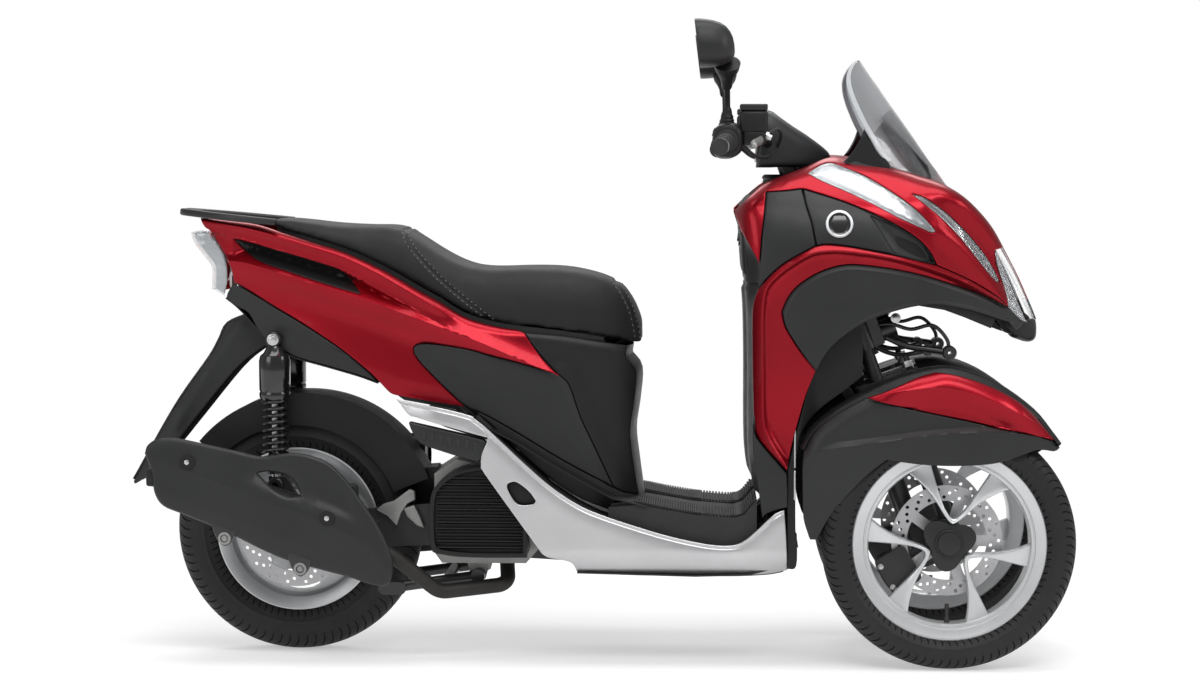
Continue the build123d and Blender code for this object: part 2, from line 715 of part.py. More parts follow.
with BuildPart() as inner_panel:
    add(front_shell.part)
    with BuildSketch(Plane.XY.offset(front_axle_z + 83)):
        with Locations((front_axle_x - 410, 0)):
            Rectangle(52, 2 * panel_half)
    extrude(amount=545 - 83, mode=Mode.INTERSECT)
    add(shield_base.part)

with BuildPart() as key_panel:
    add(front_shell.part)
    with BuildSketch(Plane.XY.offset(front_axle_z + 545)):
        with Locations((front_axle_x - 400, 0)):
            Rectangle(72, 2 * key_half)
    extrude(amount=240, mode=Mode.INTERSECT)

with BuildPart() as turn_signals:
    add(front_shell.part)
    extrude(turn_lens, amount=260, both=True, mode=Mode.INTERSECT)

with BuildPart() as headlights:
    add(front_shell.part)
    extrude(lamp_side, amount=260, both=True, mode=Mode.INTERSECT)
    extrude(arch_side, amount=260, both=True, mode=Mode.SUBTRACT)
    with BuildSketch(Plane.XZ):
        with Locations((front_axle_x + 100, front_axle_z + 550)):
            Rectangle(600, 500)
    extrude(amount=nose_gap, both=True, mode=Mode.SUBTRACT)

with BuildPart() as duct_panels:
    add(front_shell.part)
    extrude(duct_side, amount=260, both=True, mode=Mode.INTERSECT)
    add(inner_panel.part, mode=Mode.SUBTRACT)
    add(key_panel.part, mode=Mode.SUBTRACT)

with BuildPart() as arch_fairing:
    add(front_shell.part)
    extrude(arch_side, amount=260, both=True, mode=Mode.INTERSECT)

with BuildPart() as leg_shield:
    add(front_shell.part)
    extrude(shield_side, amount=260, both=True, mode=Mode.INTERSECT)
    add(inner_panel.part, mode=Mode.SUBTRACT)
    add(arch_fairing.part, mode=Mode.SUBTRACT)

with BuildPart() as front_cowl:
    add(front_shell.part)
    for piece in (inner_panel, key_panel, turn_signals, headlights, duct_panels, arch_fairing,
                  leg_shield):
        add(piece.part, mode=Mode.SUBTRACT)

save(inner_panel, "inner_panel")
save(key_panel, "key_panel")
save(turn_signals, "turn_signals")
save(headlights, "headlights")
save(duct_panels, "duct_panels")
save(arch_fairing, "arch_fairing")
save(leg_shield, "leg_shield")
save(front_cowl, "front_cowl")

# ---------------------------------------------------------------- windscreen
screen_radius = 160
screen_wall = 4
screen_base = Vector(front_axle_x + 22, 0, front_axle_z + 682)
screen_tip = Vector(front_axle_x - 177, 0, front_axle_z + 955)
screen_run = (screen_tip - screen_base).normalized()
screen_out = Vector(screen_run.Z, 0, -screen_run.X)
screen_end = [(front_axle_z + z, half) for z, half in
              ((600, 96), (690, 122), (760, 142), (804, 139), (895, 121), (935, 95), (957, 60))]
bracket_wall = 10


def screen_band(outer, inner):
    """The arc of the screen, square to its rise, between two radii."""
    square = Plane(origin=screen_base - screen_run * 60, x_dir=(0, 1, 0), z_dir=screen_run)
    toward = -1 if square.y_dir.dot(screen_out) > 0 else 1
    with BuildSketch(square) as band:
        with Locations((0, toward * screen_radius)):
            Circle(outer)
            Circle(inner, mode=Mode.SUBTRACT)
        with Locations((0, toward * (screen_radius + 300))):
            Rectangle(800, 600, mode=Mode.SUBTRACT)
    return band.sketch


with BuildPart() as windscreen:
    extrude(screen_band(screen_radius, screen_radius - screen_wall), amount=420)
    extrude(height_shape(screen_end), amount=1200, both=True, mode=Mode.INTERSECT)
    add(front_solid.part, mode=Mode.SUBTRACT)

with BuildPart() as screen_bracket:
    extrude(screen_band(screen_radius - screen_wall, screen_radius - screen_wall - bracket_wall), amount=420)
    with BuildSketch(Plane.XZ):
        with BuildLine():
            Polyline(*front((-225, 740), (-160, 838), (-60, 838), (60, 680), (40, 600)), close=True)
        make_face()
    extrude(amount=112, both=True, mode=Mode.INTERSECT)
    add(front_solid.part, mode=Mode.SUBTRACT)

save(windscreen, "windscreen")
save(screen_bracket, "screen_bracket")

# ---------------------------------------------------------------- nose, splash panel, floor
splash_front = -337
splash_half = 190
spine_front = -296
spine_half = 30
with BuildPart() as headlight_housing:
    extrude(side_shape(front((0, 480), (0, 452), (128, 405), (150, 405), (165, 440), (120, 540), (40, 590))),
            amount=48, both=True)
    add(front_shell.part, mode=Mode.SUBTRACT)
    housing_parts = headlight_housing.part.solids().sort_by(SortBy.VOLUME)
with BuildPart() as headlight_block:
    add(housing_parts[-1])
save(headlight_block, "headlight_housing")

sill_outer = 222
sill_inner = 200
floor_half = sill_inner
floor_wall = 3
step_inner = 140
sill_edge = rear((227, 283), (379, 246), (405, 222), (472, 159), (527, 108), (578, 75), (623, 53),
                 (736, 14)) + front((-473, -6), (-416, -8), (-378, 16), (-341, 52), (-320, 68))
sill_base = front((-315, -47), (-394, -67), (-498, -70)) + rear(
    (578, -62), (519, -27), (396, 137), (395, 155), (407, 189), (403, 205), (260, 248), (245, 252))
floor_top = rear((640, 66), (694, 71)) + front((-502, 53), (-422, 47), (-402, 53), (-377, 83))
floor_drop = front((-377, 10), (-416, -14), (-473, -14)) + rear((736, 4), (640, 40))

with BuildPart() as front_splash:
    with BuildSketch(Plane.YZ.offset(front_axle_x + splash_front - panel_wall)):
        with BuildLine():
            Polyline((-splash_half, front_axle_z - 50), (splash_half, front_axle_z - 50),
                     (splash_half, front_axle_z + 330), (120, front_axle_z + 360),
                     (-120, front_axle_z + 360), (-splash_half, front_axle_z + 330), close=True)
        make_face()
    extrude(amount=panel_wall)
    # Narrow centre spine between the wheels, and the floor of the splash panel.
    with BuildSketch(Plane.XZ):
        with BuildLine():
            Polyline(*front((splash_front, 83), (spine_front, 70), (spine_front, -28),
                            (spine_front - 11, -50), (splash_front, -56)), close=True)
        make_face()
    extrude(amount=spine_half, both=True)
    add(frame.part, mode=Mode.SUBTRACT)
    splash_parts = front_splash.part.solids().sort_by(SortBy.VOLUME)
with BuildPart() as splash_panel:
    add(splash_parts[-1])
save(splash_panel, "splash_panel")

rear_plan = [(rear_axle_x + x, half) for x, half in
             ((-194, 62), (-123, 96), (-57, 115), (41, 138), (137, 150), (257, 162), (357, 166), (457, 162),
              (537, 156), (607, 148), (650, 136), (696, 104))]
seat_line = rear((-194, 636), (-70, 624), (41, 588), (137, 562), (207, 530), (299, 472), (352, 434),
                 (472, 399), (677, 381))
cover_front = rear((673, 324), (688, 318), (684, 268), (674, 207), (674, 125), (690, 64))
cover_under = rear((623, 53), (578, 75), (527, 108), (472, 159), (405, 222), (379, 246), (351, 254),
                   (202, 285), (88, 371), (-123, 506))
tail_back = rear((-119, 540), (-168, 609))
rear_side = seat_line + cover_front + cover_under + tail_back
hatch_line = seat_line[1:-1] + [(seat_line[-1][0] - panel_wall, seat_line[-1][1] + 1)]
hatch = hatch_line + [(x, z - 3 * panel_wall) for x, z in reversed(hatch_line)]
underside = cover_under[:-2] + [(x, z + 3 * panel_wall) for x, z in reversed(cover_under[:-2])]

with BuildPart() as rear_solid:
    extrude(side_shape(rear_side), amount=200, both=True)
    extrude(width_shape(rear_plan), amount=2000, mode=Mode.INTERSECT)

with BuildPart() as rear_hollow:
    with BuildSketch(Plane.XZ):
        add(side_shape(rear_side))
        offset(amount=-panel_wall)
        add(side_shape(hatch))
        add(side_shape(underside))
    extrude(amount=200, both=True)
    extrude(width_shape(rear_plan, panel_wall), amount=2000, mode=Mode.INTERSECT)

red_side = side_shape(rear((-260, 700), (140, 700), (299, 500), (352, 434), (427, 406), (507, 356),
                           (535, 322), (407, 356), (301, 376), (261, 384), (241, 371), (257, 344), (351, 252),
                           (351, 230), (190, 230), (-60, 380), (-160, 470), (-160, 540), (-260, 600)))
with BuildPart() as rear_shell:
    add(rear_solid.part)
    add(rear_hollow.part, mode=Mode.SUBTRACT)

with BuildPart() as tail_panels:
    add(rear_shell.part)
    extrude(red_side, amount=200, both=True, mode=Mode.INTERSECT)
    add(frame.part, mode=Mode.SUBTRACT)

with BuildPart() as centre_cover:
    add(rear_shell.part)
    extrude(red_side, amount=200, both=True, mode=Mode.SUBTRACT)
    add(frame.part, mode=Mode.SUBTRACT)

save(tail_panels, "tail_panels")
save(centre_cover, "centre_cover")

with BuildPart() as floorboard:
    extrude(side_shape(floor_top + floor_drop), amount=floor_half, both=True)
    with BuildSketch(Plane.XZ):
        add(side_shape(floor_top + floor_drop))
        offset(amount=-floor_wall)
        add(side_shape(floor_drop + [(x, z + 3 * floor_wall) for x, z in reversed(floor_drop)]))
    extrude(amount=floor_half - floor_wall, both=True, mode=Mode.SUBTRACT)
    # Steps that run back beside the centre cover, level with the sills.
    step = sill_edge[1:8] + [(x, z - 6) for x, z in reversed(sill_edge[1:8])]
    for side in (-1, 1):
        with BuildSketch(Plane.XZ.offset(-side * step_inner)):
            with BuildLine():
                Polyline(*step, close=True)
            make_face()
        extrude(amount=-side * (floor_half - step_inner))
    add(rear_solid.part, mode=Mode.SUBTRACT)
    add(front_solid.part, mode=Mode.SUBTRACT)
    add(frame.part, mode=Mode.SUBTRACT)
save(floorboard, "floorboard")

with BuildPart() as side_sills:
    for side in (-1, 1):
        with BuildSketch(Plane.XZ.offset(-side * sill_inner)):
            with BuildLine():
                Polyline(*(sill_edge + sill_base), close=True)
            make_face()
        extrude(amount=-side * (sill_outer - sill_inner))
        with BuildSketch(Plane.XZ.offset(-side * sill_inner)):
            with BuildLine():
                Polyline(*(sill_edge + sill_base), close=True)
            make_face()
            offset(amount=-panel_wall)
        extrude(amount=-side * (sill_outer - sill_inner - panel_wall), mode=Mode.SUBTRACT)
    add(front_solid.part, mode=Mode.SUBTRACT)
save(side_sills, "side_sills")

with BuildPart() as belly_pan:
    with BuildSketch(Plane.XZ):
        with BuildLine():
            Polyline(*(rear((578, -66)) + front((-498, -70), (-394, -67), (-340, -53))
                       + front((-340, -50), (-394, -64), (-498, -67)) + rear((578, -63))), close=True)
        make_face()
    extrude(amount=sill_inner, both=True)
    add(frame.part, mode=Mode.SUBTRACT)
save(belly_pan, "belly_pan")

# ---------------------------------------------------------------- tail
tail_lamp_half = 78
under_half = 84
with BuildPart() as tail_lamp:
    extrude(side_shape(rear((-225, 605), (-168, 609), (-119, 540), (-123, 506), (-156, 470), (-183, 482),
                            (-179, 536), (-203, 570))), amount=tail_lamp_half, both=True)
    add(rear_solid.part, mode=Mode.SUBTRACT)
    add(frame.part, mode=Mode.SUBTRACT)
save(tail_lamp, "tail_lamp")

mudguard_half = 62
mudguard_top = rear((-103, 439), (-146, 427), (-176, 352), (-235, 270), (-300, 165), (-345, 92))
mudguard_under = rear((-338, 87), (-290, 124), (-210, 222), (-128, 322), (-54, 371), (-40, 405))
with BuildPart() as rear_mudguard:
    extrude(side_shape(mudguard_top + mudguard_under), amount=mudguard_half, both=True)
    with BuildSketch(Plane.XZ):
        add(side_shape(mudguard_top + mudguard_under))
        offset(amount=-panel_wall)
        add(side_shape(mudguard_under + [(x - 12, z + 12) for x, z in reversed(mudguard_under)]))
    extrude(amount=mudguard_half - panel_wall, both=True, mode=Mode.SUBTRACT)

under_line = rear((-123, 506), (88, 371), (196, 289))
under_low = rear((169, 300), (-110, 436), (-143, 470))
with BuildPart() as under_tail_cover:
    extrude(side_shape(under_line + under_low), amount=under_half, both=True)
    with BuildSketch(Plane.XZ):
        add(side_shape(under_line + under_low))
        offset(amount=-panel_wall)
        add(side_shape(under_line + [(x - 6, z - 9) for x, z in reversed(under_line)]))
    extrude(amount=under_half - panel_wall, both=True, mode=Mode.SUBTRACT)
    add(rear_solid.part, mode=Mode.SUBTRACT)
    add(tail_lamp.part, mode=Mode.SUBTRACT)
    add(rear_mudguard.part, mode=Mode.SUBTRACT)
    add(frame.part, mode=Mode.SUBTRACT)
save(rear_mudguard, "rear_mudguard")
save(under_tail_cover, "under_tail_cover")

tail_top = seat_line[:2]
rail_slope = degrees(atan2(tail_top[0][1] - tail_top[1][1], tail_top[1][0] - tail_top[0][0]))
with BuildPart() as grab_rail:
    with BuildSketch(Plane(origin=(tail_top[1][0], 0, tail_top[1][1]),
                           x_dir=(cos(radians(rail_slope)), 0, -sin(radians(rail_slope))),
                           z_dir=(sin(radians(rail_slope)), 0, cos(radians(rail_slope))))):
        with BuildLine():
            Polyline((42, -140), (-80, -118), (-168, -50), (-168, 50), (-80, 118), (42, 140), (42, 112),
                     (-66, 88), (-132, 36), (-132, -36), (-66, -88), (42, -112), close=True)
        make_face()
    extrude(amount=14)
    add(rear_solid.part, mode=Mode.SUBTRACT)
save(grab_rail, "grab_rail")

# ---------------------------------------------------------------- luggage box and seat
box_half = 108
box_wall = 3
box_rim = 12
rim_z = 371
box_front = 652
box_back = 277
box_floor_z = box_rest_z + rail_radius
hinge_x = 690
hinge_z = 392
hinge_radius = 4
ear_radius = 8
ear_inner = 20
ear_outer = 27
with BuildPart() as luggage_box:
    box_side = rear((box_front, rim_z), (box_front, box_floor_z), (box_rest_x - 15, box_floor_z),
                    (box_back, 289), (box_back, rim_z))
    extrude(side_shape(box_side), amount=box_half, both=True)
    with BuildSketch(Plane.XY.offset(rear_axle_z + rim_z - box_wall)):
        with Locations((rear_axle_x + (box_front + box_back) / 2 - 14, 0)):
            Rectangle(box_front - box_back - 20, 2 * (box_half + box_rim))
    extrude(amount=box_wall)
    with BuildSketch(Plane.XZ):
        add(side_shape(box_side))
        offset(amount=-box_wall)
        add(side_shape(rear((box_back + box_wall, rim_z + 20), (box_front - box_wall, rim_z + 20),
                            (box_front - box_wall, rim_z - 20), (box_back + box_wall, rim_z - 20))))
    extrude(amount=box_half - box_wall, both=True, mode=Mode.SUBTRACT)
    # Ears ahead of the box that hold the seat's hinge pin.
    for side in (-1, 1):
        with BuildSketch(Plane.XZ.offset(-side * ear_inner)):
            with BuildLine():
                Polyline(*rear((box_front - box_wall, rim_z - 12), (box_front + 6, rim_z - 12),
                               (box_front + 16, 384), (hinge_x, 384), (hinge_x, hinge_z + 6),
                               (box_front - box_wall, rim_z + 8)), close=True)
            make_face()
            with Locations((rear_axle_x + hinge_x, rear_axle_z + hinge_z)):
                Circle(ear_radius)
                Circle(hinge_radius + pivot_fit, mode=Mode.SUBTRACT)
        extrude(amount=-side * (ear_outer - ear_inner))
    add(frame.part, mode=Mode.SUBTRACT)
    add(centre_cover.part, mode=Mode.SUBTRACT)

seat_top = rear((-62, 634), (-19, 634), (83, 624), (206, 618), (268, 579), (319, 544), (370, 532),
                (534, 534), (595, 524), (656, 494), (691, 451), (705, 406), (703, 386))
seat_under = [(x, z + seat_gap) for x, z in rear((-62, 621)) + seat_line[2:]]
seat_plan = [(rear_axle_x + x, half) for x, half in
             ((-70, 80), (-20, 102), (50, 124), (160, 134), (280, 140), (400, 148), (520, 140), (600, 118),
              (670, 92), (706, 72))]
base_half = 118
bumper_radius = 5
bumper_height = 6
with BuildPart() as seat_base:
    extrude(side_shape(rear((300, 480), (296, rim_z + bumper_height), (box_front - 26, rim_z + bumper_height),
                            (box_front - 26, 391), (472, 404), (352, 439))), amount=base_half, both=True)
    extrude(side_shape(rear((302, 440), (302, rim_z + bumper_height - 2), (box_front - 32, rim_z),
                            (box_front - 32, 384), (472, 396), (352, 431))),
            amount=base_half - panel_wall, both=True, mode=Mode.SUBTRACT)
    # Tongue to the hinge pin at the front.
    tongue = rear((box_front - 28, 391), (box_front - 28, 384), (box_front + 12, 392),
                  (hinge_x + 8, hinge_z - 2), (hinge_x + 8, hinge_z + 8), (box_front, 402))
    extrude(side_shape(tongue), amount=ear_inner - running_gap, both=True)
    with BuildSketch(Plane.XZ.offset(-ear_outer)):
        with Locations((rear_axle_x + hinge_x, rear_axle_z + hinge_z)):
            Circle(hinge_radius)
    extrude(amount=2 * ear_outer)
    with BuildSketch(Plane.XY.offset(rear_axle_z + rim_z)):
        for along_x in (320, 600):
            for side in (-1, 1):
                with Locations((rear_axle_x + along_x, side * (base_half - 6))):
                    Circle(bumper_radius)
    extrude(amount=bumper_height)

with BuildPart() as seat_cushion:
    extrude(side_shape(seat_top + list(reversed(seat_under))), amount=200, both=True)
    extrude(width_shape(seat_plan), amount=2000, mode=Mode.INTERSECT)
    with BuildSketch(Plane.XZ):
        with BuildLine():
            Polyline(*rear((box_front - 34, 360), (box_front - 34, 412), (hinge_x + 30, 412),
                           (hinge_x + 30, 360)), close=True)
        make_face()
    extrude(amount=ear_outer + 8, both=True, mode=Mode.SUBTRACT)
    add(seat_base.part, mode=Mode.SUBTRACT)
save(luggage_box, "luggage_box")
save(seat_base, "seat_base")
save(seat_cushion, "seat_cushion")

# ---------------------------------------------------------------- engine unit and exhaust
engine_half = 96
case_inner = 66
case_outer = 128
crank_x = 390
crank_z = 40
stand_pivot_x = 372
stand_pivot_z = -88
stand_shaft_radius = 8
stand_lug_y = 58
stand_lug_wall = 12
with BuildPart() as engine:
    extrude(side_shape(rear((285, -40), (300, -61), (470, -61), (497, -30), (497, 60), (440, 125), (330, 149),
                            (285, 120))), amount=engine_half, both=True)
    for side in (-1, 1):
        with BuildSketch(Plane.XZ.offset(-side * stand_lug_y)):
            with BuildLine():
                Polyline(*rear((stand_pivot_x - 24, -60), (stand_pivot_x + 24, -60),
                               (stand_pivot_x + 14, stand_pivot_z - 8), (stand_pivot_x, stand_pivot_z - 15),
                               (stand_pivot_x - 14, stand_pivot_z - 8)), close=True)
            make_face()
            with Locations((rear_axle_x + stand_pivot_x, rear_axle_z + stand_pivot_z)):
                Circle(stand_shaft_radius + pivot_fit, mode=Mode.SUBTRACT)
        extrude(amount=-side * stand_lug_wall)
    add(frame.part, mode=Mode.SUBTRACT)

with BuildPart() as transmission_case:
    with BuildSketch(Plane.XZ.offset(-case_inner)):
        with Locations((rear_axle_x + crank_x, rear_axle_z + crank_z)):
            Circle(90)
        with Locations((rear_axle_x, rear_axle_z)):
            Circle(78)
        make_hull()
    extrude(amount=-(case_outer - case_inner))
    # Air cleaner on top, and the lug for the left shock.
    with BuildSketch(Plane.XZ.offset(-case_inner - 2)):
        with BuildLine():
            Polyline(*rear((70, 70), (250, 90), (250, 176), (90, 168)), close=True)
        make_face()
    extrude(amount=-70)
    with BuildSketch(Plane.XZ.offset(-case_inner - 6)):
        with BuildLine():
            Polyline(*rear((-70, 20), (10, 60), (-18, 112), (-50, 112)), close=True)
        make_face()
    extrude(amount=-(shock_y - shock_eye_half - case_inner - 6))
    with BuildSketch(Plane.XZ.offset(-case_inner)):
        with Locations((rear_axle_x, rear_axle_z)):
            Circle(rear_axle_radius + axle_fit)
    extrude(amount=-42, mode=Mode.SUBTRACT)
    add(engine.part, mode=Mode.SUBTRACT)

arm_inner = 80
arm_outer = 95
rear_hub_half = 62
rear_disc_y = -rear_hub_half - disc_thickness / 2
with BuildPart() as rear_arm:
    with BuildSketch(Plane.XZ.offset(arm_inner)):
        with Locations((rear_axle_x + 330, rear_axle_z + 20)):
            Circle(44)
        with Locations((rear_axle_x, rear_axle_z)):
            Circle(34)
        make_hull()
    extrude(amount=arm_outer - arm_inner)
    with BuildSketch(Plane.XZ.offset(arm_inner)):
        with BuildLine():
            Polyline(*rear((-34, 0), (40, 20), (-16, 112), (-52, 112)), close=True)
        make_face()
    extrude(amount=arm_outer - arm_inner)
    # Brake caliper over the disc, carried by the arm.
    with BuildPart() as rear_caliper:
        with BuildSketch(Plane.XZ.offset(-rear_disc_y - 20)):
            with Locations((rear_axle_x + 88, rear_axle_z + 66)):
                RectangleRounded(74, 56, 12)
        extrude(amount=arm_outer + rear_disc_y + 20)
        with BuildSketch(Plane.XZ.offset(-rear_disc_y - pad_gap)):
            with Locations((rear_axle_x, rear_axle_z)):
                Circle(rear_disc_radius + running_gap)
        extrude(amount=2 * pad_gap, mode=Mode.SUBTRACT)
    add(rear_caliper.part)
    with BuildSketch(Plane.XZ.offset(arm_inner)):
        with Locations((rear_axle_x, rear_axle_z)):
            Circle(rear_axle_radius + axle_fit)
    extrude(amount=arm_outer - arm_inner, mode=Mode.SUBTRACT)
    add(engine.part, mode=Mode.SUBTRACT)

with BuildPart() as rear_shocks:
    for side in (-1, 1):
        foot = Vector(rear_axle_x - 34, side * shock_y, rear_axle_z + 98)
        head = Vector(rear_axle_x + shock_top_x, side * shock_y, rear_axle_z + shock_top_z)
        run = (head - foot).normalized()
        for at, size in ((foot, 13), (head, 13)):
            eye = Vector(at.X, at.Y - shock_eye_half, at.Z)
            with BuildSketch(Plane(origin=eye, x_dir=(1, 0, 0), z_dir=(0, 1, 0))):
                Circle(size)
            extrude(amount=2 * shock_eye_half)
        for begin, end, size in ((0, 294, 8), (40, 186, 25), (182, 278, 32)):
            with BuildSketch(Plane(origin=foot + run * begin, z_dir=run)):
                Circle(size)
            extrude(amount=end - begin)

muffler_y = 184
muffler_radius = 42
tail_pipe_radius = 13
tail_pipe_wall = 2
tail_pipe_length = 24
guard_inner = 188
guard_outer = 232
guard_side = rear((-278, 184), (-253, 206), (-195, 216), (-145, 206), (-77, 189), (-18, 176), (41, 183),
                  (100, 164), (139, 125), (154, 85), (178, 61), (218, 17), (223, -23), (208, -52), (159, -62),
                  (80, -47), (21, -32), (-38, 12), (-77, 20), (-121, 41), (-175, 66), (-224, 80), (-239, 95),
                  (-244, 130))
with BuildPart() as exhaust:
    with BuildLine() as pipe_line:
        FilletPolyline((rear_axle_x + 430, -70, rear_axle_z - 58),
                       (rear_axle_x + 436, -118, rear_axle_z - 100),
                       (rear_axle_x + 300, -150, rear_axle_z - 112),
                       (rear_axle_x + 214, -178, rear_axle_z - 40),
                       (rear_axle_x + 160, -muffler_y, rear_axle_z - 4), radius=(26, 40, 40))
    with BuildSketch(Plane(origin=pipe_line.line @ 0, z_dir=pipe_line.line % 0)):
        Circle(15)
    sweep(path=pipe_line.line)
    muffler_front = Vector(rear_axle_x + 170, -muffler_y, rear_axle_z - 5)
    muffler_back = Vector(rear_axle_x - 232, -muffler_y, rear_axle_z + 126)
    muffler_run = (muffler_back - muffler_front).normalized()
    with BuildSketch(Plane(origin=muffler_front, z_dir=muffler_run)):
        Circle(muffler_radius)
    extrude(amount=(muffler_back - muffler_front).length)
    with BuildSketch(Plane(origin=muffler_back, z_dir=muffler_run)):
        Circle(tail_pipe_radius)
    extrude(amount=tail_pipe_length)
    with BuildSketch(Plane(origin=muffler_back, z_dir=muffler_run)):
        Circle(tail_pipe_radius - tail_pipe_wall)
    extrude(amount=tail_pipe_length, mode=Mode.SUBTRACT)
    # Stay to the rear arm, and the bosses that carry the guard.
    with BuildSketch(Plane.XZ.offset(arm_outer)):
        with Locations((rear_axle_x + 70, rear_axle_z + 20)):
            Rectangle(40, 26)
    extrude(amount=muffler_y - arm_outer)
    with BuildSketch(Plane.XZ.offset(muffler_y)):
        with Locations((rear_axle_x + 98, rear_axle_z + 20), (rear_axle_x - 171, rear_axle_z + 106)):
            Circle(10)
    extrude(amount=guard_outer - panel_wall - muffler_y)
    add(engine.part, mode=Mode.SUBTRACT)

with BuildPart() as muffler_guard:
    with BuildSketch(Plane.XZ.offset(guard_inner)):
        with BuildLine():
            Polyline(*guard_side, close=True)
        make_face()
    extrude(amount=guard_outer - guard_inner)
    with BuildSketch(Plane.XZ.offset(guard_inner)):
        with BuildLine():
            Polyline(*guard_side, close=True)
        make_face()
        offset(amount=-panel_wall)
    extrude(amount=guard_outer - guard_inner - panel_wall, mode=Mode.SUBTRACT)
    with BuildSketch(Plane.XZ.offset(guard_inner)):
        with Locations((rear_axle_x + 2, rear_axle_z + 128)):
            Ellipse(40, 15, rotation=-35)
    extrude(amount=guard_outer - guard_inner, mode=Mode.SUBTRACT)
    # Notch in the back edge, so that a hose can be pushed into the tail pipe.
    with BuildSketch(Plane(origin=muffler_back, z_dir=muffler_run)):
        Circle(tail_pipe_radius + running_gap)
    extrude(amount=120, mode=Mode.SUBTRACT)
    add(exhaust.part, mode=Mode.SUBTRACT)

cover_outer = 186
with BuildPart() as radiator_cover:
    radiator_side = rear((285, 20), (296, -30), (455, -38), (478, -12), (410, 125), (380, 150), (300, 150))
    with BuildSketch(Plane.XZ.offset(engine_half)):
        with BuildLine():
            Polyline(*radiator_side, close=True)
        make_face()
    extrude(amount=cover_outer - engine_half)
    with BuildSketch(Plane.XZ.offset(engine_half)):
        with BuildLine():
            Polyline(*radiator_side, close=True)
        make_face()
        offset(amount=-panel_wall)
    extrude(amount=cover_outer - engine_half - panel_wall, mode=Mode.SUBTRACT)
    add(frame.part, mode=Mode.SUBTRACT)
    add(rear_arm.part, mode=Mode.SUBTRACT)
    add(side_sills.part, mode=Mode.SUBTRACT)

fender_arc_x = 14
fender_arc_z = 4
fender_arc = 276
fender_skirt = 62
with BuildPart() as rear_inner_fender:
    with BuildSketch(Plane.XZ):
        with Locations((rear_axle_x + fender_arc_x, rear_axle_z + fender_arc_z)):
            Circle(fender_arc)
        with BuildLine():
            Polyline(*rear((14, 4), (-400, 350), (-400, -600), (600, -600), (600, 240)), close=True)
        make_face(mode=Mode.SUBTRACT)
    extrude(amount=fender_skirt + panel_wall, both=True)
    with BuildSketch(Plane.XZ):
        with Locations((rear_axle_x + fender_arc_x, rear_axle_z + fender_arc_z)):
            Circle(fender_arc - panel_wall)
    extrude(amount=fender_skirt, both=True, mode=Mode.SUBTRACT)
    with BuildSketch(Plane.XZ):
        with Locations((rear_axle_x, rear_axle_z)):
            Circle(214)
    extrude(amount=fender_skirt + panel_wall, both=True, mode=Mode.SUBTRACT)
    # Bracket from the front of the arc to the engine.
    with BuildSketch(Plane.XZ):
        with BuildLine():
            Polyline(*rear((264, 108), (285, 104), (285, 128), (258, 126)), close=True)
        make_face()
    extrude(amount=40, both=True)
    add(engine.part, mode=Mode.SUBTRACT)
    add(transmission_case.part, mode=Mode.SUBTRACT)

save(engine, "engine")
save(transmission_case, "transmission_case")
save(rear_arm, "rear_arm")
save(rear_shocks, "rear_shocks")
save(exhaust, "exhaust")
save(muffler_guard, "muffler_guard")
save(radiator_cover, "radiator_cover")
save(rear_inner_fender, "rear_inner_fender")

# ---------------------------------------------------------------- rear wheel
rear_centre = Vector(rear_axle_x, 0, rear_axle_z)
rear_axle = Axis(rear_centre, (0, 1, 0))
rear_across = Plane(origin=rear_centre, x_dir=(0, 1, 0), z_dir=(1, 0, 0))
rear_side_plane = Plane(origin=rear_centre, x_dir=(1, 0, 0), z_dir=(0, -1, 0))
with BuildPart() as rear_tyre:
    revolve(tyre_profile(rear_across, rear_tyre_radius, rear_tyre_width, rear_bead_radius,
                         rear_flange_radius, rear_rim_width), axis=rear_axle)
save(rear_tyre, "rear_tyre")

rear_hub_radius = 38
rear_hub_left = 56
web_half = 9
with BuildPart() as rear_wheel:
    revolve(rim_profile(rear_across, rear_bead_radius, rear_flange_radius, rear_rim_width), axis=rear_axle)
    with BuildSketch(rear_side_plane.offset(-rear_hub_left)):
        Circle(rear_hub_radius)
    extrude(amount=rear_hub_left + rear_hub_half)
    with BuildSketch(rear_side_plane.offset(-web_half)):
        Circle(rear_bead_radius - 16)
        with PolarLocations(104, 5, start_angle=18):
            SlotCenterToCenter(52, 34, rotation=90, mode=Mode.SUBTRACT)
    extrude(amount=2 * web_half)
    with BuildSketch(rear_side_plane.offset(-case_inner - 36)):
        Circle(rear_axle_radius)
    extrude(amount=case_inner + 36 + arm_outer + 8)
save(rear_wheel, "rear_wheel")

with BuildPart() as rear_disc:
    with BuildSketch(rear_side_plane.offset(rear_hub_half)):
        Circle(rear_disc_radius)
        Circle(rear_disc_radius - disc_band, mode=Mode.SUBTRACT)
        with PolarLocations((rear_hub_radius + rear_disc_radius - disc_band) / 2, 5):
            Rectangle(rear_disc_radius - disc_band - rear_hub_radius + 12, 24)
        Circle(rear_hub_radius)
        Circle(rear_axle_radius + 8, mode=Mode.SUBTRACT)
        for row, share in enumerate((0.25, 0.5, 0.75)):
            with PolarLocations(rear_disc_radius - disc_band * share, disc_holes, start_angle=row * 7):
                Circle(disc_hole_radius, mode=Mode.SUBTRACT)
    extrude(amount=disc_thickness)
save(rear_disc, "rear_disc")

# ---------------------------------------------------------------- footrests and stands
with BuildPart() as passenger_footrests:
    for side in (-1, 1):
        with BuildSketch(Plane.XZ.offset(-side * (sill_inner - 14))):
            with BuildLine():
                Polyline(*rear((260, 248), (400, 205.9), (381, 170), (288, 202)), close=True)
            make_face()
        extrude(amount=-side * (sill_outer - sill_inner + 12))
    add(side_sills.part, mode=Mode.SUBTRACT)
save(passenger_footrests, "passenger_footrests")

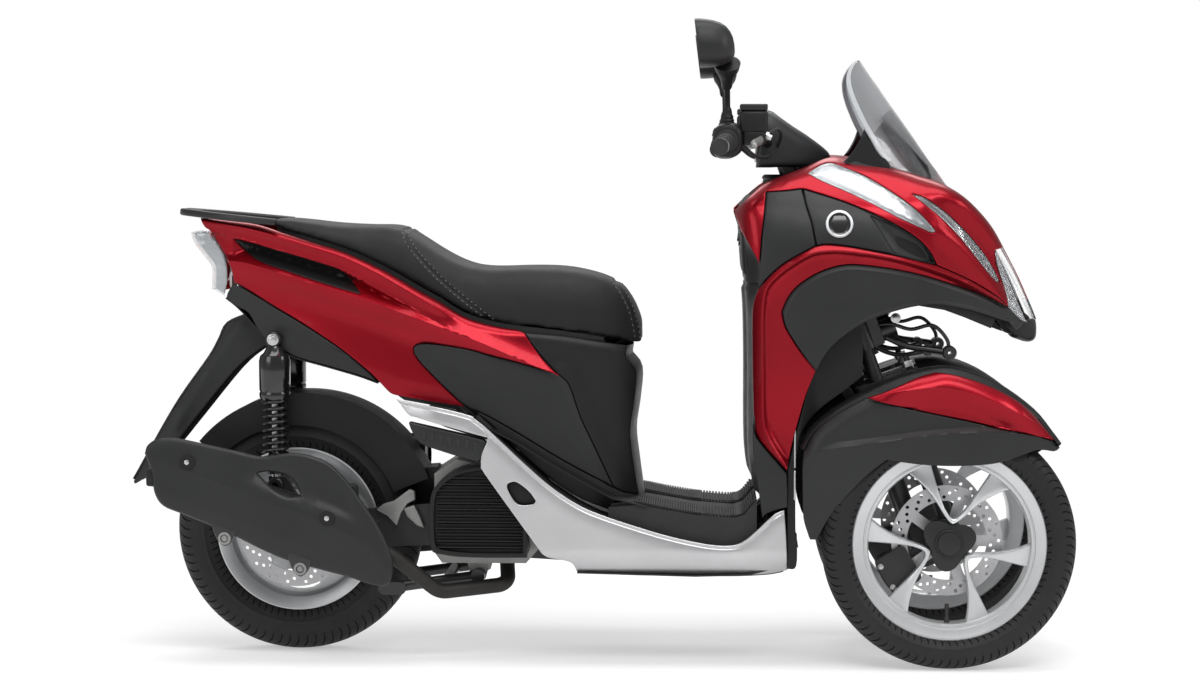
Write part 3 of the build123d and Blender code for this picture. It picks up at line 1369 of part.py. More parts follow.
stand_leg_y = 86
stand_tube = 11
with BuildPart() as centre_stand:
    pivot_height = rear_axle_z + stand_pivot_z
    with BuildSketch(Plane.XZ.offset(-stand_leg_y)):
        with Locations((rear_axle_x + stand_pivot_x, pivot_height)):
            Circle(stand_shaft_radius)
    extrude(amount=2 * stand_leg_y)
    for side in (-1, 1):
        with BuildLine() as leg_line:
            Line((rear_axle_x + stand_pivot_x, side * stand_leg_y, pivot_height),
                 (rear_axle_x + 200, side * (stand_leg_y + 6), rear_axle_z - 112))
        with BuildSketch(Plane(origin=leg_line.line @ 0, z_dir=leg_line.line % 0)):
            Circle(stand_tube)
        sweep(path=leg_line.line)
        with BuildSketch(Plane.XZ.offset(-side * (stand_leg_y - stand_tube))):
            with Locations((rear_axle_x + stand_pivot_x, pivot_height)):
                Circle(stand_tube + 3)
        extrude(amount=-side * 2 * stand_tube)
    with BuildSketch(Plane.XZ.offset(-stand_leg_y)):
        with Locations((rear_axle_x + 310, rear_axle_z - 97)):
            Circle(stand_tube)
    extrude(amount=2 * stand_leg_y)
    for side in (-1, 1):
        with BuildSketch(Plane.XZ.offset(-side * (stand_leg_y - 8))):
            with Locations((rear_axle_x + 200, rear_axle_z - 112)):
                SlotOverall(56, 26)
        extrude(amount=-side * 32)
save(centre_stand, "centre_stand")

with BuildPart() as side_stand:
    leg_inner = stand_lug_outer + 6
    with BuildSketch(Plane.XZ.offset(-floor_tube_y + 4)):
        with Locations((side_pivot_x, side_pivot_z)):
            Circle(stand_pin_radius)
    extrude(amount=-(leg_inner + 10 - floor_tube_y + 4))
    with BuildSketch(Plane.XZ.offset(-leg_inner)):
        with BuildLine():
            Polyline((side_pivot_x + 12, side_pivot_z - 10), (side_pivot_x + 12, side_pivot_z + 10),
                     (side_pivot_x - 12, side_pivot_z + 12), (side_pivot_x - 150, side_pivot_z + 14),
                     (side_pivot_x - 172, side_pivot_z + 22), (side_pivot_x - 176, side_pivot_z - 8),
                     (side_pivot_x - 150, side_pivot_z - 4), (side_pivot_x - 12, side_pivot_z - 12), close=True)
        make_face()
    extrude(amount=-12)
save(side_stand, "side_stand")
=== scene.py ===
# %% [markdown]
# # A leaning three-wheel motor scooter
# The imported solid model is the fixed frame of this lesson: it holds every true size, and it moves
# with its joints. Here each outer piece is given the form and finish that a customer sees.
# We load the frame first. The looks may never grow out of it.
# %% Load the frame
import bpy
import bmesh
import json
import math
from math import cos, pi, radians, sin
from mathutils import Matrix, Vector


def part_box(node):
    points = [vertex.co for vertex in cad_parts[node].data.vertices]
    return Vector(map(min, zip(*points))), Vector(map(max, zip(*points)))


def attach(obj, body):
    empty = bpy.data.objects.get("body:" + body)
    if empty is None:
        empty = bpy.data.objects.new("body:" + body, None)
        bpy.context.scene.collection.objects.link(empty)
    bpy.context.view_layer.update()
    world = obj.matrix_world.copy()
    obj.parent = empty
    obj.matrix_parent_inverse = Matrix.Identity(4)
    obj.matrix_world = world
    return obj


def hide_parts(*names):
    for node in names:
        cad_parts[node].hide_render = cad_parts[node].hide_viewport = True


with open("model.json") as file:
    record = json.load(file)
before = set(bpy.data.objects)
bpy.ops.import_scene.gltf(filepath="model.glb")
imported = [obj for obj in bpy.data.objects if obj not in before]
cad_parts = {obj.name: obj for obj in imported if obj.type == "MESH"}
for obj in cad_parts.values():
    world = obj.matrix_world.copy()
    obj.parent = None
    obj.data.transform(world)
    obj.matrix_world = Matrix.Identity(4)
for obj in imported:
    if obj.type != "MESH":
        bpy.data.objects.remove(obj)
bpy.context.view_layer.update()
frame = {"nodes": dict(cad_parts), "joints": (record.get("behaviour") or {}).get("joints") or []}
scene = bpy.context.scene
scene.view_settings.view_transform = "Standard"
nodes = frame["nodes"]

# %% [markdown]
# All places are written in millimetres from the ground point under the middle of the scooter, as on
# a workshop drawing, and turned into Blender's metres by one helper. The axles come
# up again and again, so they are read from the frame's own joints.
# %% Measures and reference points
MM = 0.001
FORWARDS, LEFT, UP = Vector((1, 0, 0)), Vector((0, 1, 0)), Vector((0, 0, 1))
joints = {joint["name"]: joint for joint in frame["joints"]}
front_axle = Vector(joints["right_wheel_spin"]["pos_m"])
rear_axle = Vector(joints["rear_wheel_spin"]["pos_m"])
wheel_y = abs(front_axle.y)
sides = (("right", -1), ("left", 1))


def mm(x, y, z):
    """A point in millimetres as a Blender vector in metres."""
    return Vector((x * MM, y * MM, z * MM))


print("front axle", tuple(round(v, 4) for v in front_axle), "rear axle",
      tuple(round(v, 4) for v in rear_axle))
# %% [markdown]
# ## Finishes
# Every surface here is moulded, cast, painted or rubbed by use, so none of them is one flat
# colour. Three effects come up in almost every finish: a fine moulded grain, a slow drift of tone
# and gloss, and road dust that settles low down. Each is built once as a node group that puts out
# plain values, and each material uses it at its own scale.
# %% Shared shader effects
def new_group(name, inputs, outputs):
    """An empty shader node group with named sockets, and its two end nodes."""
    group = bpy.data.node_groups.new(name, "ShaderNodeTree")
    for label, kind, value in inputs:
        socket = group.interface.new_socket(label, in_out="INPUT", socket_type=kind)
        if value is not None:
            socket.default_value = value
    for label, kind in outputs:
        group.interface.new_socket(label, in_out="OUTPUT", socket_type=kind)
    start = group.nodes.new("NodeGroupInput")
    end = group.nodes.new("NodeGroupOutput")
    return group, start, end


def noise_at(tree, vector, scale, detail=3, rough=0.55):
    """A noise texture read at a vector socket, with its scale from a socket or a number."""
    node = tree.nodes.new("ShaderNodeTexNoise")
    node.inputs["Detail"].default_value = detail
    node.inputs["Roughness"].default_value = rough
    tree.links.new(vector, node.inputs["Vector"])
    if isinstance(scale, (int, float)):
        node.inputs["Scale"].default_value = scale
    else:
        tree.links.new(scale, node.inputs["Scale"])
    return node


def math_node(tree, operation, first, second=None):
    """A math node with its two inputs taken from sockets or numbers."""
    node = tree.nodes.new("ShaderNodeMath")
    node.operation = operation
    for slot_number, value in enumerate((first, second)):
        if value is None:
            continue
        if isinstance(value, (int, float)):
            node.inputs[slot_number].default_value = value
        else:
            tree.links.new(value, node.inputs[slot_number])
    return node.outputs[0]


grain, grain_in, grain_out = new_group(
    "moulded_grain",
    (("Vector", "NodeSocketVector", None), ("Scale", "NodeSocketFloat", 900.0)),
    (("Height", "NodeSocketFloat"), ("Fleck", "NodeSocketFloat")))
fine = noise_at(grain, grain_in.outputs["Vector"], grain_in.outputs["Scale"], 2)
cells = grain.nodes.new("ShaderNodeTexVoronoi")
grain.links.new(grain_in.outputs["Vector"], cells.inputs["Vector"])
grain.links.new(grain_in.outputs["Scale"], cells.inputs["Scale"])
mixed = math_node(grain, "MULTIPLY", fine.outputs[0], cells.outputs["Distance"])
grain.links.new(mixed, grain_out.inputs["Height"])
grain.links.new(fine.outputs[0], grain_out.inputs["Fleck"])

drift, drift_in, drift_out = new_group(
    "slow_drift",
    (("Vector", "NodeSocketVector", None), ("Scale", "NodeSocketFloat", 6.0)),
    (("Tone", "NodeSocketFloat"), ("Smudge", "NodeSocketFloat")))
broad = noise_at(drift, drift_in.outputs["Vector"], drift_in.outputs["Scale"], 2)
smudge_scale = math_node(drift, "MULTIPLY", drift_in.outputs["Scale"], 5.5)
smudge = noise_at(drift, drift_in.outputs["Vector"], smudge_scale, 5, 0.7)
drift.links.new(broad.outputs[0], drift_out.inputs["Tone"])
drift.links.new(smudge.outputs[0], drift_out.inputs["Smudge"])

dust, dust_in, dust_out = new_group(
    "road_dust",
    (("Vector", "NodeSocketVector", None), ("Top", "NodeSocketFloat", 0.35)),
    (("Mask", "NodeSocketFloat"),))
split = dust.nodes.new("ShaderNodeSeparateXYZ")
dust.links.new(dust_in.outputs["Vector"], split.inputs[0])
share = math_node(dust, "DIVIDE", split.outputs["Z"], dust_in.outputs["Top"])
low_down = math_node(dust, "SUBTRACT", 1.0, share)
patches = noise_at(dust, dust_in.outputs["Vector"], 38.0, 6, 0.65)
dusty = math_node(dust, "MULTIPLY", low_down, patches.outputs[0])
clamp = dust.nodes.new("ShaderNodeClamp")
dust.links.new(dusty, clamp.inputs["Value"])
dust.links.new(clamp.outputs[0], dust_out.inputs["Mask"])
print("shader groups", [group.name for group in bpy.data.node_groups])

# %% [markdown]
# A finish is described by how it is made: its colour, how far that colour drifts, how rough and
# how metallic it is, and how coarse its grain is. One maker builds the node tree for all of them,
# so the whole scooter ages in the same light. Gloss layers such as clear coat stay plain numbers
# on the shader itself.
# %% The finish maker
finishes = {}


def group_at(tree, group, vector):
    """One use of a shader group, read at a vector socket."""
    node = tree.nodes.new("ShaderNodeGroup")
    node.node_tree = group
    tree.links.new(vector, node.inputs["Vector"])
    return node


def blend_colour(tree, factor, first, second, mode="MIX"):
    """A colour mix whose inputs are sockets or colours."""
    node = tree.nodes.new("ShaderNodeMix")
    node.data_type = "RGBA"
    node.blend_type = mode
    for key, value in ((0, factor), (6, first), (7, second)):
        if isinstance(value, (int, float)):
            node.inputs[key].default_value = value
        elif isinstance(value, (tuple, list)):
            node.inputs[key].default_value = (*value[:3], 1.0)
        else:
            tree.links.new(value, node.inputs[key])
    return node.outputs[2]


def map_range(tree, value, low, high, to_low, to_high):
    """A value moved from one range to another, and clamped."""
    node = tree.nodes.new("ShaderNodeMapRange")
    tree.links.new(value, node.inputs[0])
    for number, amount in enumerate((low, high, to_low, to_high), 1):
        node.inputs[number].default_value = amount
    return node.outputs[0]


def add_bump(tree, height, strength, distance, under=None):
    """A bump on the tree's shader, over another bump if one is given."""
    bump = tree.nodes.new("ShaderNodeBump")
    bump.inputs["Strength"].default_value = strength
    bump.inputs["Distance"].default_value = distance
    tree.links.new(height, bump.inputs["Height"])
    if under:
        tree.links.new(under, bump.inputs["Normal"])
    tree.links.new(bump.outputs[0], tree.nodes["Principled BSDF"].inputs["Normal"])
    return bump


def finish(name, colour, tone=None, rough=0.5, rough_spread=0.08, metallic=0.0, grain_scale=900.0,
           grain_depth=0.05, fleck=0.0, dust_amount=0.35, coat=0.0, coat_rough=0.1, drift_scale=6.0,
           specular=0.5, sheen=0.0):
    """A procedural finish: drifting colour, smudged gloss, moulded grain and dust low down."""
    material = bpy.data.materials.new(name)
    material.use_nodes = True
    tree = material.node_tree
    shader = tree.nodes["Principled BSDF"]
    place = tree.nodes.new("ShaderNodeTexCoord").outputs["Object"]
    slow = group_at(tree, drift, place)
    slow.inputs["Scale"].default_value = drift_scale
    fine_grain = group_at(tree, grain, place)
    fine_grain.inputs["Scale"].default_value = grain_scale
    settled = group_at(tree, dust, place)
    tone = tone or tuple(min(1.0, c * 1.35 + 0.002) for c in colour)
    base = blend_colour(tree, map_range(tree, slow.outputs["Tone"], 0.3, 0.7, 0.0, 1.0), colour,
                        tone)
    if fleck:
        spark = map_range(tree, fine_grain.outputs["Fleck"], 0.35, 0.7, 1.0 - fleck, 1.0 + fleck)
        base = blend_colour(tree, 1.0, base, combine(tree, spark), "MULTIPLY")
    worn = math_node(tree, "MULTIPLY", settled.outputs["Mask"], dust_amount)
    base = blend_colour(tree, worn, base, (0.17, 0.15, 0.13))
    tree.links.new(base, shader.inputs["Base Color"])
    gloss = map_range(tree, slow.outputs["Smudge"], 0.25, 0.75, rough - rough_spread,
                      rough + rough_spread)
    gloss = math_node(tree, "ADD", gloss, math_node(tree, "MULTIPLY", worn, 0.5))
    tree.links.new(gloss, shader.inputs["Roughness"])
    add_bump(tree, fine_grain.outputs["Height"], grain_depth, 0.001)
    shader.inputs["Metallic"].default_value = metallic
    shader.inputs["Coat Weight"].default_value = coat
    shader.inputs["Coat Roughness"].default_value = coat_rough
    shader.inputs["Specular IOR Level"].default_value = specular
    shader.inputs["Sheen Weight"].default_value = sheen
    finishes[name] = material
    return material


def combine(tree, value):
    """One value as a grey colour."""
    node = tree.nodes.new("ShaderNodeCombineColor")
    for number in range(3):
        tree.links.new(value, node.inputs[number])
    return node.outputs[0]


red_paint = finish("red_paint", (0.29, 0.003, 0.011), (0.33, 0.004, 0.014), rough=0.34,
                   rough_spread=0.03, metallic=0.78, grain_scale=2600, grain_depth=0.012,
                   fleck=0.12, dust_amount=0.02, coat=0.16, coat_rough=0.08, specular=0.3)
charcoal = finish("charcoal_plastic", (0.0155, 0.016, 0.0168), (0.0195, 0.02, 0.021), rough=0.44,
                  rough_spread=0.05, grain_scale=1100, grain_depth=0.09, dust_amount=0.08,
                  specular=0.36)
black_plastic = finish("black_plastic", (0.0075, 0.0075, 0.008), (0.0095, 0.0095, 0.01), rough=0.46,
                       rough_spread=0.07, grain_scale=900, grain_depth=0.08, dust_amount=0.08,
                       specular=0.32)
gloss_black = finish("gloss_black", (0.006, 0.006, 0.007), rough=0.16, rough_spread=0.04,
                     grain_depth=0.01, coat=0.5, coat_rough=0.05, dust_amount=0.1)
dark_paint = finish("dark_metal_paint", (0.02, 0.02, 0.022), (0.026, 0.026, 0.028), rough=0.42,
                    metallic=0.2, grain_scale=700, grain_depth=0.1, dust_amount=0.2)
frame_paint = finish("frame_paint", (0.008, 0.008, 0.009), rough=0.36, grain_scale=500,
                     grain_depth=0.07, coat=0.2, dust_amount=0.25)
silver_panel = finish("silver_panel", (0.52, 0.52, 0.53), (0.58, 0.58, 0.59), rough=0.34,
                      rough_spread=0.03, metallic=0.75, grain_scale=2600, grain_depth=0.015,
                      fleck=0.08, dust_amount=0.12, coat=0.3, coat_rough=0.15)
wheel_silver = finish("wheel_silver", (0.6, 0.61, 0.62), (0.66, 0.67, 0.68), rough=0.38,
                      rough_spread=0.05, metallic=0.7, grain_scale=1500, grain_depth=0.03,
                      fleck=0.06, dust_amount=0.15, coat=0.2, coat_rough=0.2)
cast_alloy = finish("cast_alloy", (0.3, 0.3, 0.3), (0.36, 0.36, 0.35), rough=0.5, metallic=0.85,
                    grain_scale=420, grain_depth=0.25, dust_amount=0.3)
bright_steel = finish("bright_steel", (0.52, 0.52, 0.53), (0.6, 0.6, 0.6), rough=0.28,
                      metallic=0.95, grain_scale=1600, grain_depth=0.05, dust_amount=0.1)
heat_black = finish("heat_black", (0.011, 0.011, 0.011), (0.016, 0.0155, 0.015), rough=0.55,
                    metallic=0.3, grain_scale=380, grain_depth=0.2, drift_scale=12, dust_amount=0.3)
tyre_rubber = finish("tyre_rubber", (0.0095, 0.0095, 0.01), (0.014, 0.014, 0.0145), rough=0.6,
                     rough_spread=0.08, grain_scale=1500, grain_depth=0.12, dust_amount=0.1,
                     specular=0.35)
soft_rubber = finish("soft_rubber", (0.012, 0.012, 0.012), (0.017, 0.017, 0.017), rough=0.66,
                     grain_scale=800, grain_depth=0.12, dust_amount=0.2)
print("finishes", sorted(finishes))

# %% [markdown]
# The seat cover is a coated cloth: a fine leathery grain over the whole seat. The brake discs are
# ground on a lathe, so their scratches run in circles, which needs the disc's own centre. Lenses,
# the screen and the mirrors are clear or silvered, and get their life from faint smears.
# %% Cloth, ground steel and clear plastic
def pebble_cloth(name, colour, tone, scale, depth):
    """A coated seat cloth: pebbled grain, a fine weave fleck and a soft sheen."""
    material = finish(name, colour, tone, rough=0.58, rough_spread=0.06, grain_scale=scale,
                      grain_depth=depth, fleck=0.1, dust_amount=0.04, specular=0.3, sheen=0.06)
    tree = material.node_tree
    place = tree.nodes["Texture Coordinate"].outputs["Object"]
    pebbles = tree.nodes.new("ShaderNodeTexVoronoi")
    pebbles.feature = "SMOOTH_F1"
    pebbles.inputs["Scale"].default_value = scale * 0.42
    tree.links.new(place, pebbles.inputs["Vector"])
    add_bump(tree, pebbles.outputs["Distance"], 0.35, 0.0006,
             tree.nodes["Bump"].outputs[0]).invert = True
    return material


seat_cloth = pebble_cloth("seat_cloth", (0.009, 0.009, 0.0095), (0.012, 0.012, 0.0127), 1500, 0.15)
seat_thread = finish("seat_thread", (0.19, 0.19, 0.2), (0.26, 0.26, 0.27), rough=0.7,
                     grain_scale=2200, grain_depth=0.3, dust_amount=0.0)


def turned_steel(name, centre, colour, rough):
    """Ground steel whose fine scratches run in circles about a centre."""
    material = finish(name, colour, tuple(c * 1.15 for c in colour), rough=rough, metallic=0.95,
                      grain_scale=1500, grain_depth=0.03, dust_amount=0.1)
    tree = material.node_tree
    place = tree.nodes["Texture Coordinate"].outputs["Object"]
    mapping = tree.nodes.new("ShaderNodeMapping")
    mapping.inputs["Location"].default_value = (-centre[0], 0.0, -centre[2])
    mapping.inputs["Scale"].default_value = (1.0, 0.02, 1.0)
    tree.links.new(place, mapping.inputs["Vector"])
    rings = tree.nodes.new("ShaderNodeTexWave")
    rings.wave_type = "RINGS"
    rings.rings_direction = "Y"
    rings.inputs["Scale"].default_value = 420.0
    rings.inputs["Distortion"].default_value = 1.5
    tree.links.new(mapping.outputs[0], rings.inputs["Vector"])
    add_bump(tree, rings.outputs[1], 0.12, 0.0004, tree.nodes["Bump"].outputs[0])
    return material


front_disc_steel = turned_steel("front_disc_steel", front_axle, (0.42, 0.42, 0.43), 0.34)
rear_disc_steel = turned_steel("rear_disc_steel", rear_axle, (0.42, 0.42, 0.43), 0.34)


def clear_plastic(name, colour, rough, transmission, alpha=1.0, bump_strength=0.02):
    """Clear moulded plastic with faint smears."""
    material = bpy.data.materials.new(name)
    material.use_nodes = True
    tree = material.node_tree
    shader = tree.nodes["Principled BSDF"]
    place = tree.nodes.new("ShaderNodeTexCoord").outputs["Object"]
    slow = group_at(tree, drift, place)
    slow.inputs["Scale"].default_value = 9.0
    tinted = blend_colour(tree, map_range(tree, slow.outputs["Tone"], 0.3, 0.7, 0.0, 1.0), colour,
                          tuple(min(1.0, c * 1.06) for c in colour))
    tree.links.new(tinted, shader.inputs["Base Color"])
    tree.links.new(map_range(tree, slow.outputs["Smudge"], 0.3, 0.8, rough, rough + 0.05),
                   shader.inputs["Roughness"])
    fine_grain = group_at(tree, grain, place)
    fine_grain.inputs["Scale"].default_value = 300.0
    add_bump(tree, fine_grain.outputs["Height"], bump_strength, 0.001)
    shader.inputs["Transmission Weight"].default_value = transmission
    shader.inputs["IOR"].default_value = 1.46
    shader.inputs["Alpha"].default_value = alpha
    finishes[name] = material
    return material


clear_lens = clear_plastic("clear_lens", (0.86, 0.88, 0.9), 0.05, 1.0, 0.4, 0.004)
smoke_screen = clear_plastic("smoke_screen", (0.3, 0.31, 0.33), 0.03, 0.9, 0.62)
screen_rim_plastic = clear_plastic("screen_rim_plastic", (0.7, 0.72, 0.74), 0.08, 0.4, 0.85)
mirror_glass = finish("mirror_glass", (0.78, 0.8, 0.82), rough=0.04, rough_spread=0.01,
                      metallic=1.0, grain_depth=0.002, dust_amount=0.0)
chrome = finish("chrome_reflector", (0.4, 0.41, 0.42), (0.5, 0.51, 0.52), rough=0.34,
                rough_spread=0.08, metallic=0.85, grain_depth=0.02, dust_amount=0.0)
red_lens = clear_plastic("red_lens", (0.6, 0.02, 0.02), 0.05, 0.5)
print("clear and woven finishes", len(finishes))
# %% [markdown]
# The solid model's nodes keep their true shape, and each takes the finish of the real piece. Nodes
# that need a richer form than a solid can give are replaced further down by modelled pieces.
# %% Finishes for the frame's nodes
node_finish = {"frame": frame_paint, "lean_linkage": frame_paint, "front_cowl": red_paint,
               "leg_shield": red_paint, "arch_fairing": charcoal, "duct_panels": charcoal,
               "headlights": clear_lens, "turn_signals": clear_lens, "inner_panel": black_plastic,
               "key_panel": charcoal, "windscreen": smoke_screen, "screen_bracket": black_plastic,
               "headlight_housing": black_plastic, "splash_panel": black_plastic,
               "floorboard": soft_rubber, "side_sills": silver_panel, "belly_pan": charcoal,
               "tail_panels": red_paint, "centre_cover": charcoal, "tail_lamp": clear_lens,
               "rear_mudguard": black_plastic, "under_tail_cover": charcoal,
               "grab_rail": dark_paint, "luggage_box": black_plastic, "engine": cast_alloy,
               "transmission_case": dark_paint, "rear_arm": dark_paint, "rear_shocks": frame_paint,
               "exhaust": heat_black, "muffler_guard": charcoal, "radiator_cover": charcoal,
               "rear_inner_fender": black_plastic, "passenger_footrests": frame_paint,
               "steering_shaft": bright_steel, "handlebar": frame_paint, "hand_grips": soft_rubber,
               "hand_controls": black_plastic, "mirrors": black_plastic,
               "mirror_glasses": mirror_glass, "handlebar_cover": charcoal, "tie_rod": bright_steel,
               "right_fork": dark_paint, "right_front_fender": red_paint, "left_fork": dark_paint,
               "left_front_fender": red_paint, "right_front_tyre": tyre_rubber,
               "right_front_wheel": wheel_silver, "right_front_disc": front_disc_steel,
               "left_front_tyre": tyre_rubber, "left_front_wheel": wheel_silver,
               "left_front_disc": front_disc_steel, "rear_tyre": tyre_rubber,
               "rear_wheel": wheel_silver, "rear_disc": rear_disc_steel, "seat_base": black_plastic,
               "seat_cushion": seat_cloth, "centre_stand": frame_paint, "side_stand": frame_paint}
for name, material in node_finish.items():
    for number in range(len(nodes[name].material_slots)):
        nodes[name].material_slots[number].material = material
print("finished nodes", len(node_finish), "of", len(nodes))
# %% [markdown]
# ## Modelling helpers
# The same few moves are used all over the scooter, as at a workbench: draw an outline, pull it to
# a thickness, sweep a round bar along a path, turn a profile on a lathe, cut one body with another
# and round the edges. Each helper starts from a primitive or an outline, works in edit mode, and
# leaves a clean mesh at the origin.
# %% Clean starts and clean ends
def deselect():
    """Leave edit mode and select nothing."""
    if bpy.context.object and bpy.context.object.mode != "OBJECT":
        bpy.ops.object.mode_set(mode="OBJECT")
    bpy.ops.object.select_all(action="DESELECT")


def only(piece):
    """Make one piece the active and only selected one."""
    deselect()
    bpy.context.view_layer.objects.active = piece
    piece.select_set(True)


def apply_modifier(piece, kind, **settings):
    """Add a modifier with its settings and apply it at once."""
    only(piece)
    modifier = piece.modifiers.new(kind.lower(), kind)
    for key, value in settings.items():
        setattr(modifier, key, value)
    bpy.ops.object.modifier_apply(modifier=modifier.name)
    return piece


def edit(piece, *steps, select="SELECT"):
    """Run mesh steps, each an operator and its settings, in edit mode."""
    only(piece)
    bpy.ops.object.mode_set(mode="EDIT")
    bpy.ops.mesh.select_all(action=select)
    for step, settings in steps:
        step(**settings)
    bpy.ops.object.mode_set(mode="OBJECT")
    return piece


def pull(piece, travel):
    """Extrude a flat piece by a vector."""
    return edit(piece, (bpy.ops.mesh.extrude_region_move,
                        {"TRANSFORM_OT_translate": {"value": travel}}))


def tidy(piece, gap=0.00002):
    """Merge doubled corners and turn all faces outwards."""
    return edit(piece, (bpy.ops.mesh.remove_doubles, {"threshold": gap}),
                (bpy.ops.mesh.normals_make_consistent, {"inside": False}))


def round_edges(piece, width, segments=2, angle=35.0):
    """Round every edge sharper than an angle, width in millimetres."""
    return apply_modifier(piece, "BEVEL", width=width * MM, segments=segments, limit_method="ANGLE",
                          angle_limit=radians(angle), use_clamp_overlap=True, harden_normals=False)


def smooth(piece, angle=35.0):
    """Smooth shading that keeps edges sharper than an angle."""
    only(piece)
    bpy.ops.object.shade_smooth_by_angle(angle=radians(angle))
    return piece


def join(name, pieces):
    """Join pieces into one named piece."""
    deselect()
    for piece in pieces:
        piece.select_set(True)
    bpy.context.view_layer.objects.active = pieces[0]
    if len(pieces) > 1:
        bpy.ops.object.join()
    pieces[0].name = name
    return pieces[0]


def cut(piece, tool):
    """Cut one closed body with another, which is used up."""
    apply_modifier(piece, "BOOLEAN", object=tool, operation="DIFFERENCE", solver="EXACT")
    bpy.data.objects.remove(tool)
    return piece


def copy_of(piece, name, mirror=False):
    """A copy with its own mesh, mirrored across the middle plane if asked."""
    twin = piece.copy()
    twin.data = piece.data.copy()
    twin.name = name
    bpy.context.collection.objects.link(twin)
    if mirror:
        twin.data.transform(Matrix.Scale(-1.0, 4, (0.0, 1.0, 0.0)))
        twin.data.flip_normals()
    return twin


def both_sides(piece):
    """A piece joined with its mirror image."""
    return join(piece.name, [piece, copy_of(piece, piece.name + "_left", mirror=True)])


def mesh_piece(name, places, faces):
    """A mesh object from places and faces."""
    mesh = bpy.data.meshes.new(name)
    mesh.from_pydata(places, [], faces)
    piece = bpy.data.objects.new(name, mesh)
    bpy.context.collection.objects.link(piece)
    return piece


def closed_skin(name, rings):
    """A skin through rings of as many points each, closed at both ends."""
    size = len(rings[0])
    faces = [(i * size + k, i * size + (k + 1) % size, (i + 1) * size + (k + 1) % size,
              (i + 1) * size + k) for i in range(len(rings) - 1) for k in range(size)]
    faces += [tuple(range(size)), tuple(range((len(rings) - 1) * size, len(rings) * size))]
    return mesh_piece(name, [place for ring in rings for place in ring], faces)


def drop_loose(piece):
    """Remove corners that no face uses."""
    loose = bmesh.new()
    loose.from_mesh(piece.data)
    bmesh.ops.delete(loose, geom=[v for v in loose.verts if not v.link_faces], context="VERTS")
    loose.to_mesh(piece.data)
    loose.free()


def thin_wall(piece, way, wall, angle=40.0):
    """Turn an open skin's faces towards a direction, and give it a thickness behind them."""
    if sum(polygon.normal.dot(way) for polygon in piece.data.polygons) < 0:
        piece.data.flip_normals()
    drop_loose(piece)
    apply_modifier(piece, "SOLIDIFY", thickness=wall * MM, offset=-1.0)
    return smooth(piece, angle)


def sheet(name, rows, way, wall=2.4):
    """A thin wall through rows of corners, facing a direction."""
    size = len(rows[0])
    faces = [(r * size + c, r * size + c + 1, (r + 1) * size + c + 1, (r + 1) * size + c)
             for r in range(len(rows) - 1) for c in range(size - 1)]
    return thin_wall(mesh_piece(name, [place for row in rows for place in row], faces), way, wall)


def fit_out(piece, body, slot, material, *stands_for):
    """Give a finished piece its finish and its body, and hide the nodes it stands for; slot is not
    used.
    """
    if len(piece.data.materials) == 0:
        piece.data.materials.append(material)
    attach(piece, body)
    if stands_for:
        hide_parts(*stands_for)
    return piece


# %% [markdown]
# Flat outlines are drawn in one of the three main planes and extruded. A circle primitive gives the
# ring of corners, which are then set on the outline, as a draughtsman would drag them.
# %% Plates, bars and turned parts
def turns(count):
    """Angles spaced evenly round a circle."""
    return [2 * pi * k / count for k in range(count)]


def ring_of(points, name="ring", fill=False):
    """A closed ring of corners at given places, filled or open."""
    deselect()
    bpy.ops.mesh.primitive_circle_add(
        vertices=len(points), radius=1.0, fill_type="NGON" if fill else "NOTHING")
    ring = bpy.context.object
    ring.name = name
    for vertex, point in zip(ring.data.vertices, points):
        vertex.co = point
    return ring


def plate(name, outline, low, high, plane="XZ"):
    """An outline in millimetres pulled from one depth to another along the plane's normal."""
    lift = {"XZ": lambda a, b, d: mm(a, d, b), "XY": lambda a, b, d: mm(a, b, d),
            "YZ": lambda a, b, d: mm(d, a, b)}[plane]
    piece = ring_of([lift(a, b, low) for a, b in outline], name, fill=True)
    return tidy(pull(piece, lift(0, 0, high) - lift(0, 0, low)))


def curve_points(points, per_span=6, closed=False):
    """A smooth line through points, as a list of vectors."""
    line = [Vector(p) for p in points]
    out = []
    count = len(line)
    spans = count if closed else count - 1
    for i in range(spans):
        a = line[(i - 1) % count] if closed or i > 0 else line[0] * 2 - line[1]
        b = line[i]
        c = line[(i + 1) % count]
        d = line[(i + 2) % count] if closed or i + 2 < count else line[-1] * 2 - line[-2]
        for step in range(per_span):
            t = step / per_span
            out.append(0.5 * ((2 * b) + (c - a) * t + (2 * a - 5 * b + 4 * c - d) * t * t
                              + (3 * b - a - 3 * c + d) * t * t * t))
    if not closed:
        out.append(line[-1])
    return out


def rounded_plate(name, outline, low, high, width, segments=3):
    """A plate drawn in the side view, with rounded edges."""
    return smooth(round_edges(plate(name, outline, low, high), width, segments))


def flat_curve(points, per_span, closed=False):
    """A smooth line through flat points, as flat points."""
    return [(p.x, p.y) for p in curve_points([(a, b, 0.0) for a, b in points], per_span, closed)]


def smooth_outline(points, per_span=5):
    """A smooth closed outline through flat points, with corners where a point is given twice."""
    runs = []
    run = []
    for point in points:
        if run and run[-1] == point:
            runs.append(run)
            run = [point]
        else:
            run.append(point)
    if runs:
        runs[0] = run + runs[0] if run[-1] != runs[0][0] else run[:-1] + runs[0]
        outline = []
        for run in runs:
            outline += (flat_curve(run, per_span) if len(run) > 2 else run)[:-1]
        return outline
    return flat_curve(points, per_span, closed=True)


